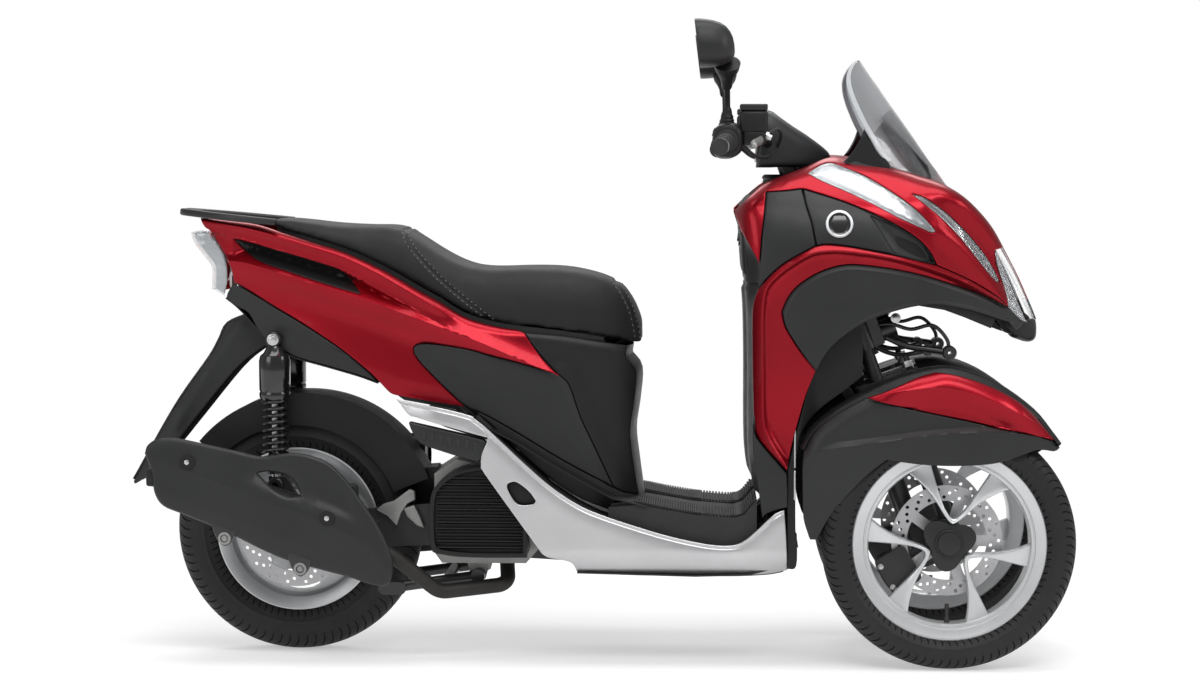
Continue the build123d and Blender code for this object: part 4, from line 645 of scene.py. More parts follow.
def rod(name, points, radius, sides_count):
    """A round bar along a path; radius is one number or one for each point, in millimetres."""
    path = [Vector(p) for p in points]
    radii = radius if isinstance(radius, (list, tuple)) else [radius] * len(path)
    rings = []
    side = Vector((0.0, 0.0, 1.0))
    for i, place in enumerate(path):
        along = (path[min(i + 1, len(path) - 1)] - path[max(i - 1, 0)]).normalized()
        if abs(along.dot(side)) > 0.95:
            side = Vector((1.0, 0.0, 0.0)) if abs(along.x) < 0.9 else Vector((0.0, 1.0, 0.0))
        side = (side - along * side.dot(along)).normalized()
        other = along.cross(side)
        rings.append(ring_of([place + (side * cos(a) + other * sin(a)) * radii[i] * MM
                              for a in turns(sides_count)]))
    return bridge(name, rings)


def bridge(name, rings):
    """Join a row of rings into one skin and close its ends."""
    skin = edit(join(name, rings), (bpy.ops.mesh.bridge_edge_loops, {}))
    edit(skin, (bpy.ops.mesh.select_mode, {"type": "EDGE"}), (bpy.ops.mesh.select_non_manifold, {}),
         (bpy.ops.mesh.edge_face_add, {}), (bpy.ops.mesh.select_mode, {"type": "VERT"}),
         select="DESELECT")
    return tidy(skin, 0.000001)


def lathe(name, profile, centre, steps=96, axis="Y"):
    """A closed profile of (along the axis, radius) in millimetres, spun about that axis."""
    turn = Vector((0.0, 1.0, 0.0)) if axis == "Y" else Vector((0.0, 0.0, 1.0))
    out = Vector((0.0, 0.0, 1.0)) if axis == "Y" else Vector((1.0, 0.0, 0.0))
    piece = ring_of([Vector(centre) + (turn * a + out * r) * MM for a, r in profile], name)
    edit(piece, (bpy.ops.mesh.spin, {"steps": steps, "angle": 2 * pi, "center": centre,
                                     "axis": turn}))
    return tidy(piece, 0.00001)


def bolt(name, place, direction, head=9.0, height=6.0, washer=12.0):
    """A flanged hexagon bolt head with a rounded top, in millimetres."""
    bpy.ops.object.select_all(action="DESELECT")
    bpy.ops.mesh.primitive_cylinder_add(vertices=6, radius=head * MM, depth=height * MM,
                                        location=(0.0, 0.0, (height / 2 + 1.5) * MM))
    hexagon = bpy.context.object
    bpy.ops.mesh.primitive_cylinder_add(vertices=24, radius=washer * MM, depth=3.0 * MM)
    flange = bpy.context.object
    piece = join(name, [hexagon, flange])
    round_edges(piece, 1.0, 2, 30)
    turn = Vector(direction).to_track_quat("Z", "Y").to_matrix().to_4x4()
    piece.data.transform(piece.matrix_world)
    piece.matrix_world = Matrix.Identity(4)
    piece.data.transform(Matrix.Translation(Vector(place)) @ turn)
    smooth(piece, 30)
    return piece


print("helpers ready")
# %% [markdown]
# ## Body panels
# The real bodywork is a set of thin moulded panels that all lie on one flowing body form, with a
# narrow shadow gap between neighbours and rounded rims. Pulling each panel out of a block would
# lose that flow, so it is made the way a pattern maker drapes sheet over a buck: the body's half
# width is written as a smooth function of length and height, each panel's outline is drawn in the
# side view, filled with an even net of points, and laid on the form. A thin wall is then added
# inside, and the left side is its mirror image.
# %% Smooth lines and body forms
from mathutils.geometry import delaunay_2d_cdt
from mathutils.kdtree import KDTree


def line_through(stations):
    """A smooth function through (place, value) stations, level beyond its ends."""
    places = [p for p, v in stations]
    values = [v for p, v in stations]
    slopes = []
    for i in range(len(places)):
        a, b = max(i - 1, 0), min(i + 1, len(places) - 1)
        slopes.append((values[b] - values[a]) / (places[b] - places[a]))

    def value(p):
        if p <= places[0]:
            return values[0] + slopes[0] * (p - places[0])
        if p >= places[-1]:
            return values[-1] + slopes[-1] * (p - places[-1])
        i = max(k for k in range(len(places) - 1) if places[k] <= p)
        span = places[i + 1] - places[i]
        t = (p - places[i]) / span
        return ((2 * t ** 3 - 3 * t * t + 1) * values[i]
                + (t ** 3 - 2 * t * t + t) * span * slopes[i]
                + (3 * t * t - 2 * t ** 3) * values[i + 1]
                + (t ** 3 - t * t) * span * slopes[i + 1])
    return value


def soft_min(a, b, blend):
    """The smaller of two values, with a rounded change-over."""
    h = max(0.0, min(1.0, 0.5 + 0.5 * (b - a) / blend))
    return b + (a - b) * h - blend * h * (1.0 - h)


def soft_max(a, b, blend):
    """The larger of two values, with a rounded change-over."""
    return -soft_min(-a, -b, blend)


def ease(a, b, value):
    """A smooth step from 0 at a to 1 at b."""
    t = max(0.0, min(1.0, (value - a) / (b - a)))
    return t * t * (3.0 - 2.0 * t)


def to_segment(p, a, b):
    """The distance from a flat point to a straight piece, and the side it lies on."""
    ax, az = b[0] - a[0], b[1] - a[1]
    t = max(0.0, min(1.0, ((p[0] - a[0]) * ax + (p[1] - a[1]) * az) / max(1e-9, ax * ax + az * az)))
    dx, dz = p[0] - a[0] - ax * t, p[1] - a[1] - az * t
    return math.hypot(dx, dz), ax * (p[1] - a[1]) - az * (p[0] - a[0])


def to_line(p, line):
    """The signed distance from a flat point to a line: positive on its left as it is drawn."""
    best = min((to_segment(p, a, b) for a, b in zip(line, line[1:])), key=lambda found: found[0])
    return best[0] if best[1] >= 0 else -best[0]


def inside(p, outline):
    """Whether a flat point lies inside a closed outline."""
    hit = False
    for a, b in zip(outline, outline[1:] + outline[:1]):
        if (a[1] > p[1]) != (b[1] > p[1]):
            if p[0] < (b[0] - a[0]) * (p[1] - a[1]) / (b[1] - a[1]) + a[0]:
                hit = not hit
    return hit


def evenly(outline, step, closed=True):
    """An outline with points no further apart than a step."""
    out = []
    for a, b in zip(outline, outline[1:] + (outline[:1] if closed else [])):
        count = max(1, math.ceil(math.hypot(b[0] - a[0], b[1] - a[1]) / step))
        out += [(a[0] + (b[0] - a[0]) * k / count, a[1] + (b[1] - a[1]) * k / count)
                for k in range(count)]
    return out if closed else out + [outline[-1]]


def area_of(outline):
    """The signed area of a closed outline."""
    return sum(a[0] * b[1] - b[0] * a[1] for a, b in zip(outline, outline[1:] + outline[:1])) / 2


def inward(outline, distance):
    """An outline moved inwards by a distance, corner by corner."""
    turn = 1 if area_of(outline) > 0 else -1
    moved = []
    for a, b, c in zip(outline[-1:] + outline[:-1], outline, outline[1:] + outline[:1]):
        first = Vector((b[0] - a[0], b[1] - a[1])).normalized()
        second = Vector((c[0] - b[0], c[1] - b[1])).normalized()
        n1, n2 = Vector((-first.y, first.x)) * turn, Vector((-second.y, second.x)) * turn
        mitre = n1 + n2
        mitre = mitre / max(0.35, mitre.length_squared / 2) if mitre.length > 0.01 else n1
        moved.append((b[0] + mitre.x * distance, b[1] + mitre.y * distance))
    return moved


# %% [markdown]
# The rim of each panel turns in over two millimetres, so it catches a thin line of light like the
# real moulding. Points are set close together across the rim and beside a drawn line, and more
# openly over the field, in staggered rows.
# %% The panel maker
rim_rise = ((0.0, 1.9), (0.35, 1.0), (1.0, 0.35), (2.0, 0.0))
line_rows = (-10.0, -6.0, -2.2, 0.0, 2.2, 6.0, 10.0)
row_height = 0.87
rim_clearance, line_clearance = 0.45, 0.6


def rim_depth(distance, size):
    """How far the skin sinks at a distance from the panel's rim."""
    d = distance / size
    for (d0, s0), (d1, s1) in zip(rim_rise, rim_rise[1:]):
        if d <= d1:
            return size * (s0 + (s1 - s0) * (d - d0) / (d1 - d0))
    return 0.0


def rim_finder(rims):
    """A function that gives the distance from a flat point to the nearest rim."""
    places = [(x, z, 0.0) for ring in rims for x, z in evenly(list(ring), 0.6)]
    places += [(x, z, 0.0) for ring in rims for x, z in ring]
    tree = KDTree(len(places))
    for number, place in enumerate(places):
        tree.insert(place, number)
    tree.balance()
    return lambda p: tree.find((p[0], p[1], 0.0))[2]


def rows_beside(line, steps):
    """Copies of an open line, each moved sideways by one step."""
    rows = []
    for step in steps:
        row = []
        for k, (x, z) in enumerate(line):
            a, b = line[max(k - 1, 0)], line[min(k + 1, len(line) - 1)]
            length = math.hypot(b[0] - a[0], b[1] - a[1]) or 1.0
            row.append((x - (b[1] - a[1]) / length * step, z + (b[0] - a[0]) / length * step))
        rows.append(row)
    return rows


def net(outline, holes=(), pitch=9.0, gap=0.7, rim=1.0, bands=(), spacing=5.0, lines=()):
    """Flat points and faces that fill an outline evenly, with each point's distance to the rim."""
    turn = 1 if area_of(outline) > 0 else -1
    rims = [evenly(inward(list(outline)[::turn], gap), spacing)]
    rims += [evenly(list(hole)[::1 if area_of(hole) < 0 else -1], spacing) for hole in holes]
    rims[1:] = [inward(ring, -gap) for ring in rims[1:]]
    points, edges = [], []
    for number, ring in enumerate(rims):
        start = len(points)
        points += ring
        edges += [(start + k, start + (k + 1) % len(ring)) for k in range(len(ring))]
    reach = rim_finder(rims)

    def within(p):
        return inside(p, rims[0]) and not any(inside(p, ring) for ring in rims[1:])

    bands = [d * rim for d, s in rim_rise[1:]] + list(bands)
    far = bands[-1]
    for distance in bands:
        for number, ring in enumerate(rims):
            moved = inward(ring, distance * (1 if number == 0 else -1))
            points += [p for p in moved if within(p) and reach(p) > distance * 0.93]
    drawn = []
    for line in lines:
        for row in rows_beside(evenly(list(line), 4.5, False), line_rows):
            last = None
            for p in row:
                if within(p) and reach(p) > 2.0:
                    points.append(p)
                    drawn.append((p[0], p[1], 0.0))
                    if last is not None:
                        edges.append((last, len(points) - 1))
                    last = len(points) - 1
                else:
                    last = None
    beside = KDTree(max(len(drawn), 1))
    for number, place in enumerate(drawn or [(1e6, 1e6, 0.0)]):
        beside.insert(place, number)
    beside.balance()
    xs, zs = [p[0] for p in rims[0]], [p[1] for p in rims[0]]
    row, z = 0, min(zs) + pitch / 2
    while z < max(zs):
        x = min(xs) + (pitch / 2 if row % 2 else 0.0)
        while x < max(xs):
            off_rim = reach((x, z)) > far + pitch * rim_clearance
            if off_rim and beside.find((x, z, 0.0))[2] > pitch * line_clearance and within((x, z)):
                points.append((x, z))
            x += pitch
        z += pitch * row_height
        row += 1
    got = delaunay_2d_cdt([Vector(p) for p in points], edges, [], 1 if not holes else 0, 0.0001)
    flat = [(v.x, v.y) for v in got[0]]
    faces = []
    for face in got[2]:
        middle = (sum(flat[i][0] for i in face) / len(face),
                  sum(flat[i][1] for i in face) / len(face))
        if within(middle):
            faces.append(face)
    return flat, faces, [reach(p) for p in flat]


def panel(name, outline, skin, holes=(), wall=2.6, pitch=9.0, gap=0.7, rim=1.0, bands=(),
          relief=None, spacing=5.0, both=True, lines=()):
    """A thin moulded panel laid on a body form, with rounded rims, on one side or on both."""
    flat, faces, reach = net(outline, holes, pitch, gap, rim, bands, spacing, lines)
    places = []
    for p, distance in zip(flat, reach):
        half = skin(*p) - rim_depth(distance, rim)
        if relief:
            half += relief(p[0], p[1], distance)
        places.append(mm(p[0], -half, p[1]))
    piece = thin_wall(mesh_piece(name, places, [face[::-1] for face in faces]), -LEFT, wall)
    return both_sides(piece) if both else piece


print("panel maker ready")
# %% [markdown]
# ## Tyres
# A scooter tyre is a turned shape with slanting grooves cut into both shoulders. The profile is
# spun in many narrow steps, and each profile point is turned a little further round than the one
# beside it, so that the mesh lines themselves run along the curved grooves. Then every few columns
# are sunk to make a groove with upright walls, long and short by turns.
# %% The tyre maker
def tyre(name, centre, half_profile, inner_profile, pitches, depth, long_run, short_run, sweep):
    """A tyre with slanting grooves; profiles are (across, out) from the crown to the bead."""
    outer = [(-y, r) for y, r in half_profile[:0:-1]] + list(half_profile)
    inner = list(inner_profile) + [(-y, r) for y, r in inner_profile[::-1] if y > 0]
    reach = half_profile[9][0]
    pitch = 2 * pi / pitches
    groove = 3.4 / half_profile[0][1]
    steps = (0.0, 0.16, 0.84, 1.0)
    columns = []
    for number in range(pitches):
        for part, kind in ((0.0, 1), (0.5, 0)):
            start = number * pitch + part * pitch
            columns += [(start + groove * s, kind, 0 < s < 1) for s in steps]
            columns += [(start + groove + (pitch / 2 - groove) * s, kind, False)
                        for s in (0.33, 0.66)]
    places = []
    for angle, kind, sunk in columns:
        for j, (y, r) in enumerate(outer):
            share = abs(y) / reach
            turn = angle - sweep * (1 - min(share, 1.0)) ** 1.25
            long_here = (kind == 1) == (y < 0)
            first, last = long_run if long_here else short_run
            if sunk and first <= abs(y) <= last and j not in (0, len(outer) - 1):
                before, after = outer[j - 1], outer[j + 1]
                slope = Vector((after[1] - before[1], -(after[0] - before[0]))).normalized()
                y, r = y + slope.x * depth, r + slope.y * depth
            places.append(Vector(centre) + Vector((cos(turn) * r, y, sin(turn) * r)) * MM)
        for y, r in inner:
            places.append(Vector(centre) + Vector((cos(angle) * r, y, sin(angle) * r)) * MM)
    ring = len(outer) + len(inner)
    count = len(columns)
    faces = [(c * ring + k, c * ring + (k + 1) % ring, ((c + 1) % count) * ring + (k + 1) % ring,
              ((c + 1) % count) * ring + k) for c in range(count) for k in range(ring)]
    piece = mesh_piece(name, places, faces)
    tidy(piece, 0.000005)
    return smooth(piece, 38)


front_section = [(0, 250), (5, 249.8), (10, 249.3), (15, 248.4), (20, 247), (25, 245), (30, 242.1),
                 (34, 239), (37.5, 235.3), (40.3, 230.6), (42.6, 225), (44.2, 219), (45, 213),
                 (44.8, 207.5), (45.3, 206.8), (45.1, 204.6), (44.1, 203.6), (42.6, 199.5),
                 (40, 196), (36.5, 193.2), (33, 191.6), (28.4, 191.3), (26.9, 189.6), (26.9, 179.5),
                 (25.5, 178), (20.5, 178)]
front_inside = [(20.3, 186), (30, 194), (37, 206), (37.2, 216), (33.5, 228), (24, 238), (12, 241.5),
                (0, 242)]
rear_section = [(0, 251.4), (6, 251.1), (12, 250.5), (18, 249.3), (24, 247.5), (30, 244.9),
                (36, 241.3), (41.5, 236.8), (46, 231.6), (49.6, 225), (52.3, 217.5), (54, 209),
                (54.9, 200), (54.6, 193.4), (55, 192.6), (54.8, 190), (53.8, 189), (52, 182.5),
                (49, 176.5), (45.6, 171.6), (42.4, 168.4), (39.4, 167.2), (37.9, 165.4),
                (37.9, 155), (36.5, 153), (31.5, 153)]
rear_inside = [(31, 162), (40, 172), (46.5, 186), (47, 200), (43, 217), (33, 233), (16, 241.5),
               (0, 243.4)]
for name, side in sides:
    rubber = tyre(name + "_front_tyre_tread", (front_axle.x, side * wheel_y, front_axle.z),
                  front_section, front_inside, 44, 3.0, (4, 41), (24, 41), radians(8))
    fit_out(rubber, name + "_front_wheel", "tyre", tyre_rubber, name + "_front_tyre")
rear_rubber = tyre("rear_tyre_tread", (rear_axle.x, 0, rear_axle.z), rear_section, rear_inside, 40,
                   3.2, (5, 50), (28, 50), radians(9))
fit_out(rear_rubber, "rear_wheel", "tyre", tyre_rubber, "rear_tyre")
print("tyres", len(rear_rubber.data.polygons), "faces each")

# %% [markdown]
# ## Front wheels
# The rim is turned: a wide flat outer ring, a fine step, then the barrel. The six spokes are three
# pairs, each pair a V that grows from the hub as one arm, with a raised edge on the outside of the
# V and a face that slopes into it. One V is lofted along its arm and copied twice round the hub.
# %% Rims, spokes and hubs at the front
rim_section = [(27.3, 190.2), (29.0, 191.2), (30.8, 190.6), (31.8, 188.6), (31.6, 186.0),
               (30.6, 184.0), (27.6, 169.4), (26.6, 168.4), (25.0, 167.8), (25.0, 166.2),
               (25.8, 165.2), (25.2, 161.0), (22.5, 158.8), (-20, 158.6), (-25, 161), (-28, 168),
               (-30.6, 184), (-31.8, 188.6), (-30.8, 190.6), (-29.0, 191.2), (-27.3, 190.2),
               (-27.3, 178.2), (-18, 177.8), (-12, 166), (12, 166), (18, 177.8), (27.3, 178.2)]
outer_edge = [(166, 39.6), (158, 38.4), (140, 35.4), (120, 32.0), (100, 28.6), (81, 25.2),
              (66, 21.8), (55, 17.8), (47, 12.6), (41.5, 6.4), (39.5, 0.0)]
inner_edge = [(166, 22.4), (158, 21.8), (140, 21.4), (120, 20.8), (100, 20.0), (84, 18.6),
              (71, 16.4), (62, 13.0), (55, 8.8), (51, 4.4), (49.5, 0.0)]
arm_rise = [19.5, 18.5, 17.4, 17.0, 17.6, 18.8, 20.4, 22.0, 23.4, 24.2, 24.5]


def spoke_pair(name, centre, middle, side):
    """One V of two spokes with a raised outer edge, lofted from rim to rim round the hub."""
    rows = []
    count = len(outer_edge)
    for k in list(range(count)) + list(range(count - 2, -1, -1)):
        hand = 1 if len(rows) < count else -1
        (ro, ao), (ri, ai) = outer_edge[k], inner_edge[k]
        a_out, a_in = radians(middle + hand * ao), radians(middle + hand * ai)
        outside = Vector((cos(a_out) * ro, 0, sin(a_out) * ro))
        within = Vector((cos(a_in) * ri, 0, sin(a_in) * ri))
        across = within - outside
        width = across.length
        across.normalize()
        top, slope = arm_rise[k], min(7.0, width * 0.22)
        corners = [(0.0, -5.0), (0.0, top - 2.6), (1.4, top - 0.4), (3.0, top), (4.4, top - 0.8),
                   (width * 0.5, top - slope * 0.62), (width - 1.8, top - slope),
                   (width, top - slope - 1.8), (width, -5.0)]
        rows.append([centre + (outside + across * w + Vector((0, side * h, 0))) * MM
                     for w, h in corners])
    return smooth(tidy(closed_skin(name, rows), 0.000005), 32)


def lobed_plate(name, centre, side, radius, lobe, count, phase, low, high):
    """A plate with a softly lobed outline and rounded edges, square to the axle."""
    corner = 1.4
    reach = [(a, radius + lobe * cos(count * (a - phase))) for a in turns(72)]
    ring = [(cos(a) * r, sin(a) * r) for a, r in reach]
    levels = [(low, 0.0), (high - corner, 0.0), (high - corner * 0.3, corner * 0.3), (high, corner)]
    rings = [[centre + Vector((x * (1 - inset / radius), side * y, z * (1 - inset / radius))) * MM
              for x, z in ring] for y, inset in levels]
    return smooth(tidy(closed_skin(name, rings)), 35)


for name, side in sides:
    centre = Vector((front_axle.x, side * wheel_y, front_axle.z))
    rim = lathe(name + "_rim", [(side * y, r) for y, r in rim_section], centre, 144)
    smooth(rim, 30)
    pairs = [spoke_pair(name + "_spokes", centre, middle, side) for middle in (81.2, 201.2, 321.2)]
    wheel = join(name + "_wheel_casting", [rim] + pairs)
    fit_out(wheel, name + "_front_wheel", "silver_wheel", wheel_silver, name + "_front_wheel")
    hub = lathe(
        name + "_hub", [(side * y, r) for y, r in ((-29.9, 9), (-29.9, 40), (-27, 42), (8, 42),
                (12, 39), (15.2, 38), (15.2, 9))], centre, 72)
    smooth(hub, 30)
    plate_piece = lobed_plate(name + "_hub_plate", centre, side, 47, 9, 3, radians(141.2), 8, 17)
    cap = lathe(
        name + "_hub_cap", [(side * y, r) for y, r in ((16, 0.01), (29, 0.01), (29, 20),
                (28.2, 22.4), (25.5, 24), (22, 24.8), (21, 27.5), (18, 28.5), (16, 28.5))], centre,
        72)
    smooth(cap, 35)
    dark_hub = join(name + "_hub_and_cap", [hub, plate_piece, cap])
    fit_out(dark_hub, name + "_front_wheel", "dark_paint", charcoal)
    valve = rod(
        name + "_valve", [centre + Vector((-0.002, 0, -r * MM))
            for r in (160, 150, 148, 132, 131, 122)], [5.5, 5, 3.6, 3.4, 4.4, 4.2], 14)
    smooth(valve, 40)
    fit_out(valve, name + "_front_wheel", "rubber", soft_rubber)
print("front wheel", len(wheel.data.polygons), "faces")

# %% [markdown]
# The rear wheel is a smaller cast disc: a deep rim with six rounded windows. Windows are cut from
# the turned web with rounded blocks, which gives the long slots the same shape all round.
# %% Rear wheel
rear_rim = [(38.3, 166.2), (40, 167.2), (42, 166.4), (42.6, 164), (41.6, 160), (38, 151.5),
            (36, 147), (34, 143), (30, 140.5), (9, 139.5), (4, 136), (3, 132), (3, 60), (5, 56),
            (5, 40), (-5, 40), (-5, 56), (-3, 60), (-3, 132), (-4, 136), (-9, 139.5), (-32, 141),
            (-38, 150), (-41.6, 161), (-42.6, 164), (-42, 166.4), (-40, 167.2), (-38.3, 166.2),
            (-38.3, 153.3), (-27, 153), (-20, 145), (20, 145), (27, 153), (38.3, 153.3)]
rear_centre = Vector((rear_axle.x, 0, rear_axle.z))
rear_wheel = lathe("rear_wheel_casting", rear_rim, rear_centre, 144)
for k in range(6):
    a0 = radians(60 * k + 10)
    arc = [a0 + radians(t) for t in (0, 4, 10, 17, 24, 31, 38, 42)]
    far = [(cos(a) * r, sin(a) * r) for a, r in zip(arc, (113, 124, 128, 129, 129, 128, 124, 113))]
    near = [(cos(a) * r, sin(a) * r) for a, r in zip(arc[::-1], (100, 92, 90, 90, 90, 90, 92, 100))]
    window = plate("window", [(rear_axle.x / MM + x, rear_axle.z / MM + z) for x, z in far + near],
                   -30, 30)
    cut(rear_wheel, window)
tidy(rear_wheel)
smooth(rear_wheel, 30)
fit_out(rear_wheel, "rear_wheel", "silver_wheel", wheel_silver, "rear_wheel")
rear_hub = lathe("rear_hub", [(-30, 10), (-30, 34), (-27, 38), (-8, 42), (8, 42), (27, 38),
                              (30, 34), (30, 10)], rear_centre, 64)
smooth(rear_hub, 30)
fit_out(rear_hub, "rear_wheel", "silver_wheel", wheel_silver)
print("rear wheel", len(rear_wheel.data.polygons), "faces")
# %% [markdown]
# ## Front bodywork
# The front body is widest at the knees, narrows to the nose and rolls over to its top line. Two
# smooth lines give its half width, one along the scooter and one up it, and the smaller wins with a
# rounded change-over. Near the top line the form rolls over, so paint shows the long highlight that
# a real moulding has.
# %% The front body form
front_plan = line_through([(281, 168), (303, 208), (327, 229), (382, 238), (437, 240), (560, 234),
                           (651, 215), (719, 188), (797, 138), (850, 92), (888, 54)])
front_rise = line_through([(200, 205), (310, 212), (467, 224), (600, 236), (726, 242), (820, 240),
                           (905, 212), (960, 170), (995, 134), (1018, 96)])
top_points = [(281, 905), (334, 953), (372, 971), (412, 986), (446, 1001), (472, 1009), (501, 1007),
              (540, 1001), (578, 993), (641, 971), (688, 955), (726, 934), (757, 908), (791, 870),
              (816, 829), (846, 774), (871, 720), (888, 680)]
top_line = line_through(top_points)


def roll(depth, radius):
    """How far a rolled edge stands in at a depth below it."""
    if depth >= radius:
        return 0.0
    depth = max(depth, 0.0)
    return radius - math.sqrt(radius * radius - (radius - depth) ** 2)


def slope_of(line, x):
    """The slope of a smooth line at a place."""
    return (line(x + 4) - line(x - 4)) / 8


def depth_under(line, x, z):
    """The depth below a smooth line, square to it."""
    slope = slope_of(line, x)
    return (line(x) - z) / math.sqrt(1 + slope * slope)


arch_crease = flat_curve([(820, 716), (790, 736), (740, 761), (680, 786), (620, 805), (560, 818),
                          (500, 826), (460, 827), (425, 820), (380, 793), (346, 762), (335, 735),
                          (332, 690), (333, 600), (335, 500), (345, 461), (364, 427), (384, 398)],
                         4)


def front_skin(x, z):
    """Half width of the front body at a place in the side view."""
    half = soft_min(front_plan(x), front_rise(z), 30.0)
    return half - roll(depth_under(top_line, x, z), 26.0)


def proud_crease(x, z, distance):
    """The folded line round the wheel arch: it stands proud, and falls away on both sides."""
    d = to_line((x, z), arch_crease)
    if d < 0:
        return 7.0 - min(0.9 * -d, 17.0)
    return 7.0 - 13.0 * ease(0.0, 13.0, d) - 0.1 * min(d, 40.0)


print("front half width at the knees", round(front_skin(430, 760), 1))

# %% [markdown]
# Outlines are drawn as smooth lines with true corners where a point is given twice. Neighbours
# share the same line, and the panel maker leaves the gap.
# %% Outlines of the front panels
turn_outline = smooth_outline([
    (425, 977), (425, 977), (446, 990), (468, 997), (492, 990), (540, 969), (600, 931), (640, 899),
    (664, 873), (671, 864), (664, 861), (648, 868), (600, 890), (550, 917), (500, 941), (470, 954),
    (446, 965)], 4)
marker_outline = smooth_outline([
    (628, 936), (628, 936), (652, 928), (690, 902), (730, 866), (766, 826), (790, 792), (806, 762),
    (806, 762), (796, 766), (768, 797), (724, 850), (684, 890), (650, 918)], 4)
seam_front = [(675, 797), (740, 768), (800, 733), (826, 710)]
nose_edge = [(826, 710), (822, 735), (808, 775), (800, 800), (797, 824)]
lamp_outline = smooth_outline([
    (797, 824), (797, 824), (808, 800), (824, 768), (843, 726), (860, 690), (868, 678), (868, 678),
    (852, 686), (826, 710), (826, 710), (820, 740), (808, 775), (800, 800)], 3)
duct_top = [(342, 940), (385, 943), (412, 946), (432, 941), (500, 919), (560, 893), (600, 873),
            (638, 848), (662, 822), (675, 797)]
duct_low = [(675, 797), (650, 803), (600, 815), (550, 825), (500, 834), (462, 838), (440, 835),
            (424, 828), (380, 803), (350, 778), (325, 749)]
fairing_top = [(862, 684), (848, 694), (826, 710), (800, 722), (760, 740), (700, 761), (640, 779),
               (580, 791), (520, 798), (490, 797), (460, 789), (430, 775), (402, 755), (384, 732),
               (373, 706)]
fairing_rear = [(373, 706), (380, 678), (396, 650), (415, 622), (440, 590)]
arch_lip = [(440, 590), (462, 628), (490, 656), (530, 683), (580, 703), (632, 716), (680, 719),
            (740, 708), (780, 696), (826, 681)]


def run(points):
    """A smooth open run through flat points, four steps to a span."""
    return flat_curve(points, 4)


top_run = run(top_points[:15])
duct_top_run, duct_low_run = run(duct_top), run(duct_low)
fairing_top_run, fairing_rear_run, arch_run = run(fairing_top), run(fairing_rear), run(arch_lip)
groove = [(411, 946), (419, 915), (430, 880), (437, 836)]
print("front outlines", len(top_run), len(duct_top_run), len(fairing_top_run))

# %% [markdown]
# The red cowl carries both lamps, so it is one panel with two windows. It sinks round the upper
# lamp window, and a fold runs from the tail of the long indicator lens down to the nose.
# %% The red cowl
nose_fold = run([(672, 866), (716, 834), (764, 784), (796, 745), (818, 716)])
cowl_outline = (
    top_run + [(797, 824)] + run(nose_edge[::-1])[1:] + run(seam_front[::-1])[1:]
    + duct_top_run[::-1][1:] + [(338, 900), (332, 850), (328, 800), (290, 868), (281, 896)])


def cowl_relief(x, z, distance):
    """The fold above the nose, and the sunk lamp window."""
    d = to_line((x, z), nose_fold)
    lift = 5.0 * (1.0 - ease(0.0, 26.0, abs(d))) * ease(655, 700, x)
    sink = (-9.0 * ease(2.0, 34.0, d) * ease(640, 700, x) * (1.0 - ease(40.0, 75.0, d)) if d > 0
            else 0.0)
    return lift + sink


front_cowl = panel("front_cowl_panels", cowl_outline, front_skin, (turn_outline, marker_outline),
                   2.8, 8.0, bands=(3.5, 6.0, 10.0, 15.0, 21.0), relief=cowl_relief,
                   lines=(nose_fold,))
fit_out(front_cowl, "chassis", "red_panel", red_paint, "front_cowl")

# %% [markdown]
# Below it, one red panel makes the band over the wheel and the leg shield. Its folded line is what
# the eye follows, so the net is fine there.
# %% The red arch band and leg shield
shield_edge = run([(384, 392), (366, 412), (340, 440), (322, 466), (318, 500), (315, 600),
                   (314, 690), (317, 725), (325, 749)])
shield_inner = run([(440, 590), (422, 545), (409, 500), (396, 450), (384, 392)])
shield_outline = (shield_edge + duct_low_run[::-1][1:] + run(seam_front)[1:]
                  + fairing_top_run[3 * 4:] + fairing_rear_run[1:] + shield_inner[1:-1])
leg_shield = panel("arch_band_and_leg_shield", shield_outline, front_skin, (), 2.8, 6.5,
                   bands=(3.5, 6.0), relief=proud_crease, spacing=4.5, lines=(arch_crease,))
fit_out(leg_shield, "chassis", "red_panel", red_paint, "leg_shield")

# %% [markdown]
# The charcoal side panel is two mouldings that meet at a slanting gap. The front one has a scoop: a
# window with a deep rounded rim, and a dark bowl behind it.
# %% The charcoal side panels and their scoop
scoop = smooth_outline([(547, 892), (547, 892), (600, 869), (640, 843), (660, 818), (668, 803),
                        (668, 803), (640, 806), (600, 818), (588, 824), (588, 824), (574, 846),
                        (560, 872)], 4)
duct_rear_outline = (duct_top_run[:9] + groove[1:-1] + [(437, 836)] + duct_low_run[26:]
                     + [(333, 850)])
duct_front_outline = duct_top_run[9:] + duct_low_run[1:25] + groove[::-1][1:-1] + [(414, 945)]


def sunk(x, z, distance):
    """The side panels lie a little below the red ones."""
    return -3.0 + 0.08 * min(distance, 20.0)


duct_rear = panel("side_panels_rear", duct_rear_outline, front_skin, (), 2.4, 9.0, bands=(5.0,),
                  relief=sunk)
duct_front = panel("side_panels_front", duct_front_outline, front_skin, (scoop,), 2.4, 7.0, rim=1.5,
                   bands=(5.0, 8.0), relief=sunk, spacing=4.0)


def scoop_form(x, z, distance):
    """A bowl that deepens away from its rim and towards the front."""
    return -7.0 - 12.0 * ease(0.0, 30.0, distance) - 8.0 * ease(560, 650, x)


